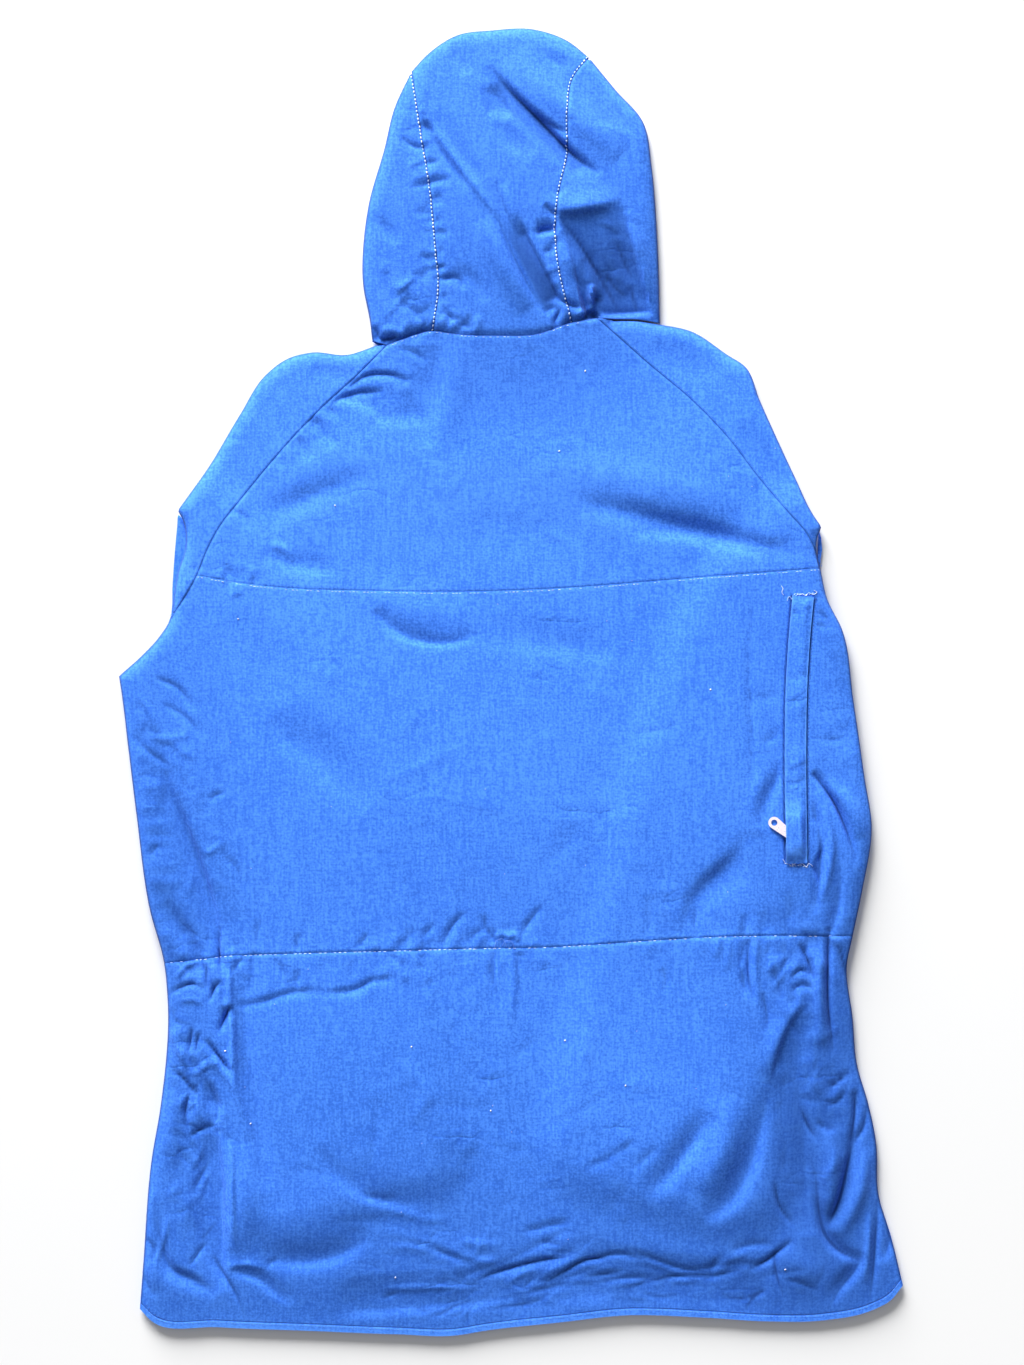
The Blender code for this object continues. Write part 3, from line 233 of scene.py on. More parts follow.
@dataclass(frozen=True)
class Fold:
    """A ridge (height above 0) or trough (below 0) between two points; bow bends its middle."""

    x0: float
    y0: float
    x1: float
    y1: float
    bow: float
    width: float
    height: float
    lean: float = 0.0
    sharp: float = 0.0

    @property
    def box(self) -> Box:
        """The box that it reaches."""
        return box_round(((self.x0, self.y0), (self.x1, self.y1)), 4 * self.width + abs(self.bow))

    def rise(self, x: Array, y: Array) -> tuple[Array, Array]:
        """Height: height * (4t(1-t))^0.7 * bell, t from 0 to 1 along it; and its wear, none.

        Args:
            x: The points' first coordinates.
            y: Their second ones.

        Returns:
            The heights at the points, and their wear.
        """
        dx, dy = self.x1 - self.x0, self.y1 - self.y0
        size = math.hypot(dx, dy)
        t = ((x - self.x0) * dx + (y - self.y0) * dy) / size**2
        arch = np.clip(4 * t * (1 - t), 0.0, 1.0)
        aside = ((y - self.y0) * dx - (x - self.x0) * dy) / size - self.bow * arch
        form = arch**0.7 * bell(aside, self.width, self.lean, self.sharp)
        return self.height * form, np.zeros_like(x)


@dataclass(frozen=True)
class Crease:
    """A ridge or trough that follows a bent line, steeper on the side that it leans to."""

    path: tuple[Point, ...]
    width: float
    height: float
    lean: float = 0.0
    sharp: float = 0.0
    swell: float = 0.5  # where along the line it is at its highest

    LINE_WIDTH: ClassVar[float] = 1.2  # of the line along its bottom or crest
    NARROW: ClassVar[float] = 5.0  # the width at which that line has faded
    TROUGH_PAINTED_SHADE_LINE: ClassVar[float] = 0.24  # painted shade along its bottom, for each millimetre of depth
    # the painted highlight along a narrow crest, for each millimetre of height
    CREST_PAINTED_HIGHLIGHT_LINE: ClassVar[float] = 0.08
    TROUGH_SHADE: ClassVar[float] = 0.018  # and the painted shade over the whole trough

    @property
    def box(self) -> Box:
        """The box that it reaches."""
        return box_round(self.path, 4 * self.width)

    def rise(self, x: Array, y: Array) -> tuple[Array, Array]:
        """Height: height * ends * bell, from the nearest stretch of the line; and its wear.

        ends rises from 0 to 1 at the swell and falls to 0 again, as sin(pi * t^k)^0.8 does. A
        narrow trough gets a line of painted shade along its bottom and some painted shade all over;
        a narrow crest gets a pale line of painted highlight.

        Args:
            x: The points' first coordinates.
            y: Their second ones.

        Returns:
            The heights at the points, and their wear.
        """
        line = Line.through(self.path, 4.0)
        p, d = line.points[:-1], np.diff(line.points, axis=0)
        size = (d**2).sum(axis=1)
        ax, ay = x[:, None] - p[:, 0], y[:, None] - p[:, 1]
        share = np.clip((ax * d[:, 0] + ay * d[:, 1]) / size, 0, 1)
        far = np.hypot(ax - share * d[:, 0], ay - share * d[:, 1])
        nearest = far.argmin(axis=1)
        rows = np.arange(len(x))
        cross = (ay * d[:, 0] - ax * d[:, 1])[rows, nearest]
        aside = far[rows, nearest] * np.where(cross < 0, -1, 1)
        t = line.distances[:-1][nearest] + share[rows, nearest] * np.sqrt(size)[nearest]
        t = (t / line.length) ** (math.log(0.5) / math.log(self.swell))
        ends = np.clip(np.sin(math.pi * t), 0, 1) ** 0.8
        form = ends * bell(aside, self.width, self.lean, self.sharp)
        is_trough = self.height < 0
        # A narrow trough gets painted shade along its bottom and over all of it; a narrow crest a
        # line of painted highlight.
        thin = math.exp(-((self.width / self.NARROW) ** 2))
        edge = ends * np.exp(-((aside / self.LINE_WIDTH) ** 2)) * thin
        wear_and_painted_light = edge * (self.TROUGH_PAINTED_SHADE_LINE if is_trough else self.CREST_PAINTED_HIGHLIGHT_LINE)
        if is_trough:
            wear_and_painted_light += self.TROUGH_SHADE * form
        return self.height * form, self.height * wear_and_painted_light


PAINTED_SHADE_REACH = 4.0  # how far below a facet's crisp edge its painted shade sets in


@dataclass(frozen=True)
class Facet:
    """A flat part of the cloth that slopes down from a crisp edge, and ends beside others."""

    x: float
    y: float
    across: Point  # from the start of its crisp edge to the end of it
    down: Point  # and from there down the slope
    depth: float
    left: float  # how softly its left side ends, in millimetres
    right: float
    foot: float
    shade: float = 0.02  # how much painted shade darkens it

    @property
    def box(self) -> Box:
        """The box that it reaches."""
        (ax, ay), (dx, dy) = self.across, self.down
        corners = ((0, 0), (ax, ay), (dx, dy), (ax + dx, ay + dy))
        return box_round([(self.x + cx, self.y + cy) for cx, cy in corners], self.foot + 4)

    def rise(self, x: Array, y: Array) -> tuple[Array, Array]:
        """Height: -depth * t, t from 0 at the crisp edge to 1 at the foot, faded at the sides.

        Painted shade darkens it, as a slope that faces away from the light.

        Args:
            x: The points' first coordinates.
            y: Their second ones.

        Returns:
            The heights at the points, and their wear.
        """
        (ax, ay), (dx, dy) = self.across, self.down
        det = ax * dy - ay * dx
        px, py = x - self.x, y - self.y
        s, t = (px * dy - py * dx) / det, (ax * py - ay * px) / det
        wide, long = math.hypot(ax, ay), math.hypot(dx, dy)
        sides = smoothstep(s * wide / self.left) * smoothstep((1 - s) * wide / self.right)
        end = 1 - smoothstep((t - 1) * long / self.foot)
        share = sides * end
        # painted shade over the facet, from just below its crisp edge
        tone = -self.shade * share * smoothstep(t * long / PAINTED_SHADE_REACH + 0.3)
        return -self.depth * np.clip(t, 0, 1) * share, tone


MOUNDS = [
    Swell(0, 405, 108, 120, 9.5),
    Swell(-20, 210, 200, 90, 4.0),
    Swell(150, 180, 90, 60, 3.0),
    Swell(-30, -70, 240, 210, 7.0),
    Swell(-70, -300, 180, 100, 4.5),
    Swell(140, -380, 90, 80, 4.0),
    Swell(-160, -470, 60, 40, 2.5),
]

HOOD_FOLDS = [
    # the crown
    Crease(((-20, 524), (-4, 505), (20, 481), (48, 452), (74, 430)), 4.6, -8, 0.5, 0.4, 0.55),
    Facet(-14, 516, (82, -80), (-8, -9), 2.4, 12, 12, 9, 0.22),
    Crease(((18, 486), (34, 473), (48, 464)), 2.8, -2.8, 0.3, 0.5),
    Crease(((-6, 530), (34, 496), (92, 446)), 12, 4, 0, 0, 0.6),
    Facet(-32, 506, (24, 4), (8, -22), 3.0, 4, 5, 12),
    Crease(((-48, 550), (-47, 534), (-36, 516)), 7, -1.8),
    Crease(((-16, 480), (0, 458), (18, 446)), 9, -2.6, -0.3),
    Crease(((26, 538), (34, 528), (48, 522)), 3, -1, 0, 0.4),
    Crease(((30, 540), (44, 534), (56, 528)), 3, 1, 0, 0.4),
    Crease(((-74, 512), (-76, 492), (-70, 474)), 4, 1.4, 0, 0.3),
    # the strip
    Crease(((-72, 480), (-54, 452), (-31, 420), (-12, 394)), 2.8, 3.2, 0, 0.5),
    Crease(((-76, 476), (-58, 448), (-36, 418)), 4.4, -2.6, 0, 0.3),
    Crease(((-66, 484), (-46, 452), (-26, 424)), 8, -1.8),
    Crease(((-14, 424), (-6, 402), (4, 378)), 3.0, -1.3, 0, 0.4),
    Crease(((-8, 422), (0, 400), (8, 380)), 5, 2.2, 0, 0.3),
    Facet(-12, 392, (40, -78), (13, 7), 5.0, 34, 8, 4, 0.5),
    Crease(((-13, 396), (-2, 368), (14, 336), (28, 312)), 3.6, -2.8, 0.3, 0.4),
    Crease(((-24, 392), (-6, 352), (14, 316)), 10, 4),
    Crease(((10, 378), (24, 350), (34, 326)), 7, 3.4),
    Facet(18, 392, (18, 3), (3, -12), 3.2, 3, 3, 4),
    Crease(((18, 379), (27, 384), (37, 384)), 2.8, -2.8, 0, 0.4),
    Crease(((27, 405), (32, 400), (38, 394)), 3.4, -3.2, 0, 0.4),
    Crease(((26, 362), (32, 366), (38, 366)), 3, -1.7, 0, 0.4),
    Crease(((-50, 352), (-34, 342), (-22, 322)), 6, -1.4),
    # puckers of the left seam
    Crease(((-78, 475), (-72, 472), (-64, 465)), 3.2, -2, 0, 0.4),
    Crease(((-94, 462), (-84, 455), (-69, 452)), 2.8, -1.9, 0, 0.4),
    Crease(((-86, 420), (-76, 421), (-68, 424), (-49, 427)), 3.0, -2, 0, 0.4),
    Crease(((-86, 427), (-74, 430), (-62, 436)), 4.0, 1, 0, 0.3),
    Crease(((-74, 440), (-68, 441), (-60, 441)), 2.8, -1.2, 0, 0.4),
    Crease(((-70, 408), (-64, 411), (-56, 410)), 2.6, -1.2, 0, 0.4),
    Crease(((-82, 396), (-72, 398), (-64, 396)), 3.0, -1, 0, 0.4),
    Crease(((-66, 380), (-60, 381), (-54, 378)), 2.6, -1, 0, 0.4),
    Crease(((-65, 364), (-60, 366), (-55, 367)), 2.8, -1.6, 0, 0.4),
    Crease(((-78, 363), (-71, 359), (-66, 356)), 2.8, -1.4, 0, 0.4),
    Crease(((-64, 353), (-60, 352), (-55, 354)), 2.6, -1.6, 0, 0.4),
    Crease(((-62, 340), (-52, 343), (-45, 342), (-40, 333)), 3.0, -2.4, 0, 0.4),
    Crease(((-84, 348), (-76, 344), (-70, 350)), 4, -1.1, 0, 0.2),
    Crease(((-62, 309), (-56, 313), (-50, 308), (-43, 309)), 2.8, -2.2, 0, 0.4),
    Crease(((-44, 304), (-38, 302), (-30, 301)), 3.0, -1.4, 0, 0.3),
    # the right side
    Facet(37, 400, (60, 4), (22, -86), 9.0, 4, 5, 8, 0.26),
    Crease(((24, 404), (44, 401), (66, 404), (92, 411)), 8, 4.6, -0.4, 0.2),
    Crease(((40, 394), (56, 374), (70, 352), (84, 328), (92, 314)), 3.6, -3.5, 0.3, 0.4),
    Crease(((40, 372), (56, 350), (72, 326)), 11, 4.2),
    Crease(((98, 400), (106, 366), (118, 322)), 6, 3.6, 0, 0.3),
    Crease(((88, 376), (96, 356), (104, 340)), 3, -1.7, 0, 0.4),
    Crease(((78, 352), (86, 338), (98, 326)), 2.8, -1.6, 0, 0.4),
    Crease(((74, 386), (82, 362), (88, 348)), 4, 1.4, 0, 0.3),
    Crease(((100, 338), (104, 324), (106, 314)), 2.8, -2, 0, 0.4),
    Crease(((52, 352), (54, 342), (62, 334)), 3, -1.3, 0, 0.3),
    Crease(((76, 508), (100, 476), (117, 440), (119, 400)), 2.4, 1.2, 0, 0.5),
    Crease(((84, 484), (102, 452), (118, 420)), 2.4, 1, 0, 0.5),
    Crease(((62, 524), (84, 500), (100, 480)), 2.4, 0.8, 0, 0.5),
    # the knot at the end of the right seam, and the curl on the left
    Crease(((68, 338), (67, 327), (67, 315)), 2.2, 8.5, 0, 0.4),
    Crease(((68, 320), (63, 315), (54, 312)), 2.2, 3.0, 0, 0.4),
    Crease(((67, 320), (72, 315), (80, 312)), 2.2, 3.0, 0, 0.4),
    Crease(((59, 309.5), (66, 311), (75, 310)), 2.4, -4.5, 0, 0.4),
    Crease(((69, 327), (73, 325), (78, 326)), 2.8, -3.2, 0, 0.4),
    Crease(((39, 325), (46, 322), (52, 319), (60, 319)), 3, -3.8, 0, 0.4),
    Crease(((33, 303), (38, 310), (42, 319)), 2.6, -3, 0, 0.5),
    Crease(((27, 313), (36, 318), (40, 316)), 3.4, -2.8, 0, 0.3),
    Crease(((-118, 303), (-114, 297), (-117, 289)), 3.2, -4.9, 0, 0.4),
    Crease(((-113, 291), (-106, 292), (-97, 294)), 2.6, -4.5, 0, 0.4),
    Crease(((-109, 302), (-111, 295), (-116, 289)), 2.2, 2.9, 0, 0.4),
    Crease(((-108, 302), (-98, 297), (-86, 296)), 4, 2, 0, 0.3),
    Crease(((-94, 326), (-82, 314), (-72, 303)), 4, -1.6, 0, 0.3),
    Crease(((-122, 398), (-108, 386), (-96, 372)), 6, -1.8, 0, 0.2),
]

YOKE_FOLDS = [
    Crease(((-140, 249), (-124, 260), (-104, 261), (-86, 255)), 2.8, -3, 0.2, 0.4),
    Crease(((-154, 237), (-135, 245), (-108, 247)), 2.8, -2.4, 0.2, 0.4),
    Crease(((-160, 234), (-152, 230), (-146, 222)), 2.6, -1.6, 0, 0.4),
    Facet(-134, 256, (50, 3), (14, -30), 2.0, 8, 14, 16),
    Crease(((-150, 244), (-132, 240), (-112, 230)), 7, -2.4, -0.3),
    Crease(((-168, 226), (-160, 212), (-150, 200)), 7, -1.8, 0.3),
    Crease(((-182, 208), (-176, 196), (-170, 188)), 6, -1.4, 0.3),
    Crease(((-66, 286), (-70, 240), (-77, 198)), 15, -2.8, 0.3),
    Crease(((-48, 286), (-52, 244), (-58, 205)), 13, 1.8),
    Crease(((-217, 144), (-190, 150), (-158, 163), (-120, 176)), 10, -2.0, 0, 0.1),
    Crease(((-214, 172), (-170, 180), (-100, 200)), 18, 1.0),
    Crease(((52, 154), (116, 140), (154, 131), (192, 120), (248, 108)), 9, -3.6, 0.1, 0.1),
    Crease(((20, 182), (110, 170), (220, 146)), 16, 1.6),
    Crease(((96, 128), (150, 128), (214, 112)), 9, -2.6, -0.3),
    Crease(((-206, 118), (-192, 112), (-186, 98)), 3, 1.9, 0, 0.4),
    Crease(((-214, 108), (-180, 100), (-146, 94)), 9, -2.4, -0.3, 0.2),
    Crease(((-60, 130), (0, 124), (60, 130)), 22, -1.2),
    Crease(((-170, 268), (-150, 262), (-128, 262)), 10, -1.8),
    Crease(((120, 292), (150, 270), (176, 262)), 14, -1.6),
    Crease(((196, 222), (222, 178), (238, 150)), 12, -1.8),
    Crease(((-96, 284), (-84, 280), (-72, 272)), 3, -1.5, 0, 0.4),
    Crease(((-238, 148), (-226, 140), (-220, 128)), 2.2, -1.4, 0, 0.3),
]

MIDDLE_FOLDS = [
    Crease(((-116, 62), (-98, 44), (-76, 35), (-52, 34), (-24, 42)), 5.5, -2.6, -0.3, 0.3, 0.4),
    Crease(((-132, 80), (-90, 64), (-30, 58)), 13, 1.6),
    Crease(((-30, 42), (30, 34), (110, 24)), 15, -1.6, -0.3),
    Crease(((-208, -34), (-165, -62), (-124, -108)), 16, -2.8, -0.3),
    Crease(((-235, 60), (-210, 20), (-190, -20)), 20, -1.4),
    Crease(((-303, -30), (-290, -90), (-270, -142), (-255, -190), (-248, -242)),
           7.5, -6, 0.4, 0.2, 0.65),
    Crease(((-286, -20), (-262, -110), (-238, -200)), 14, 2.5),
    Crease(((-304, -168), (-288, -196), (-270, -226), (-262, -252)), 8, -4, 0.2, 0, 0.6),
    Crease(((-256, -102), (-251, -95), (-244, -94)), 1.9, -1.4, 0, 0.4),
    Crease(((-243, -146), (-233, -157), (-228, -176)), 2.2, -1.5, 0, 0.3),
    Crease(((-262, -138), (-258, -144), (-246, -134)), 1.8, 1, 0, 0.4),
    Crease(((-308, -150), (-304, -142), (-300, -138)), 2.1, -1.5, 0, 0.3),
    Crease(((-214, -200), (-216, -214), (-218, -226)), 2.2, -1.4, 0, 0.3),
    Crease(((-181, -212), (-182, -222), (-182, -229)), 1.8, -1.7, 0, 0.4),
    Crease(((-130, -226), (-126, -218), (-122, -212)), 1.9, -1.5, 0, 0.4),
    Crease(((148, -216), (156, -186), (194, -146), (226, -90)), 12, -4.2, 0.35),
    Crease(((204, -62), (218, -58), (232, -53)), 3, -1.4, 0, 0.2),
    Crease(((234, -166), (236, -190), (237, -216)), 6, -1.6),
    Crease(((155, -190), (155, -204), (156, -218)), 1.9, -1.7, 0, 0.4, 0.6),
    Crease(((197, -196), (196, -206), (195, -217)), 2.1, -1.7, 0, 0.4),
    Crease(((-302, 4), (-284, -4), (-268, -24)), 2.2, -1.7, 0, 0.3),
    Crease(((-318, -8), (-306, -26), (-300, -44)), 2.2, 1.3, 0, 0.3),
    Crease(((-296, -18), (-276, -30), (-262, -48)), 2.2, -1.4, 0, 0.3),
    Crease(((-322, -44), (-306, -60), (-288, -72)), 2.2, -1.5, 0, 0.3),
    Crease(((3, -224), (12, -206), (25, -188)), 2.2, -1.8, 0.3, 0.5),
    Crease(((-10, -224), (-22, -206), (-24, -196)), 2.2, -2.4, 0, 0.5),
    Crease(((-14, -217), (-8, -212), (-2, -217)), 1.6, 1.9, 0, 0.4),
    Crease(((-6, -217), (2, -213), (7, -220)), 1.6, 1.8, 0, 0.4),
    Crease(((-60, -226), (-52, -208), (-40, -194)), 2.2, -2.1, 0, 0.5),
    Crease(((-78, -228), (-74, -214), (-66, -204)), 2.2, -1.7, 0, 0.4),
    Crease(((-36, -226), (-32, -214), (-24, -208)), 2.2, -1.5, 0, 0.4),
    Crease(((114, -218), (116, -200), (115, -180)), 2.2, -1, 0, 0.4),
    Crease(((262, 40), (282, 0), (290, -60)), 14, -2),
    Crease(((258, 70), (266, 54), (278, 44)), 2.2, -1.5, 0, 0.3),
]

POCKET_FOLDS = [  # beside the pocket, on the level that it lies at
    Crease(((254, -76), (262, -86), (273, -102), (283, -124), (293, -156)),
           3.0, -5.6, -0.3, 0.4, 0.4),
    Crease(((262, -84), (280, -98), (296, -132)), 6, 2.6),
    Crease(((258, -92), (266, -114), (271, -140), (268, -162), (262, -186)), 4, 2.6, 0.3, 0.3),
    Crease(((255, -100), (260, -130), (261, -160), (256, -196)), 4, -3.4, 0.2, 0.3),
    Crease(((268, -126), (276, -150), (276, -190), (270, -216)), 5, -2.6, 0.2, 0.2, 0.7),
    Crease(((232, -70), (222, -86), (214, -104), (211, -124)), 7, -2.8, 0.2, 0.1),
    Crease(((220, -70), (208, -96), (204, -130)), 8, 1.6),
    Crease(((256, -47), (268, -49), (284, -48)), 2.2, -0.6, 0, 0.4),
    Crease(((257, 62), (264, 56), (272, 53)), 2.0, -0.9, 0, 0.4),
    Crease(((257, 50), (263, 47), (268, 47)), 2.0, -0.7, 0, 0.4),
    Crease(((228, -8), (214, -14), (200, -12)), 5, -0.5),
    Crease(((229, -40), (216, -50), (206, -52)), 5, -0.7),
    Crease(((251, -152), (258, -160), (262, -170)), 2.4, -1.8, 0, 0.4),
    Crease(((203, 70), (201, 0), (203, -60), (201, -110)), 2.4, -1.3, 0, 0.4),
]

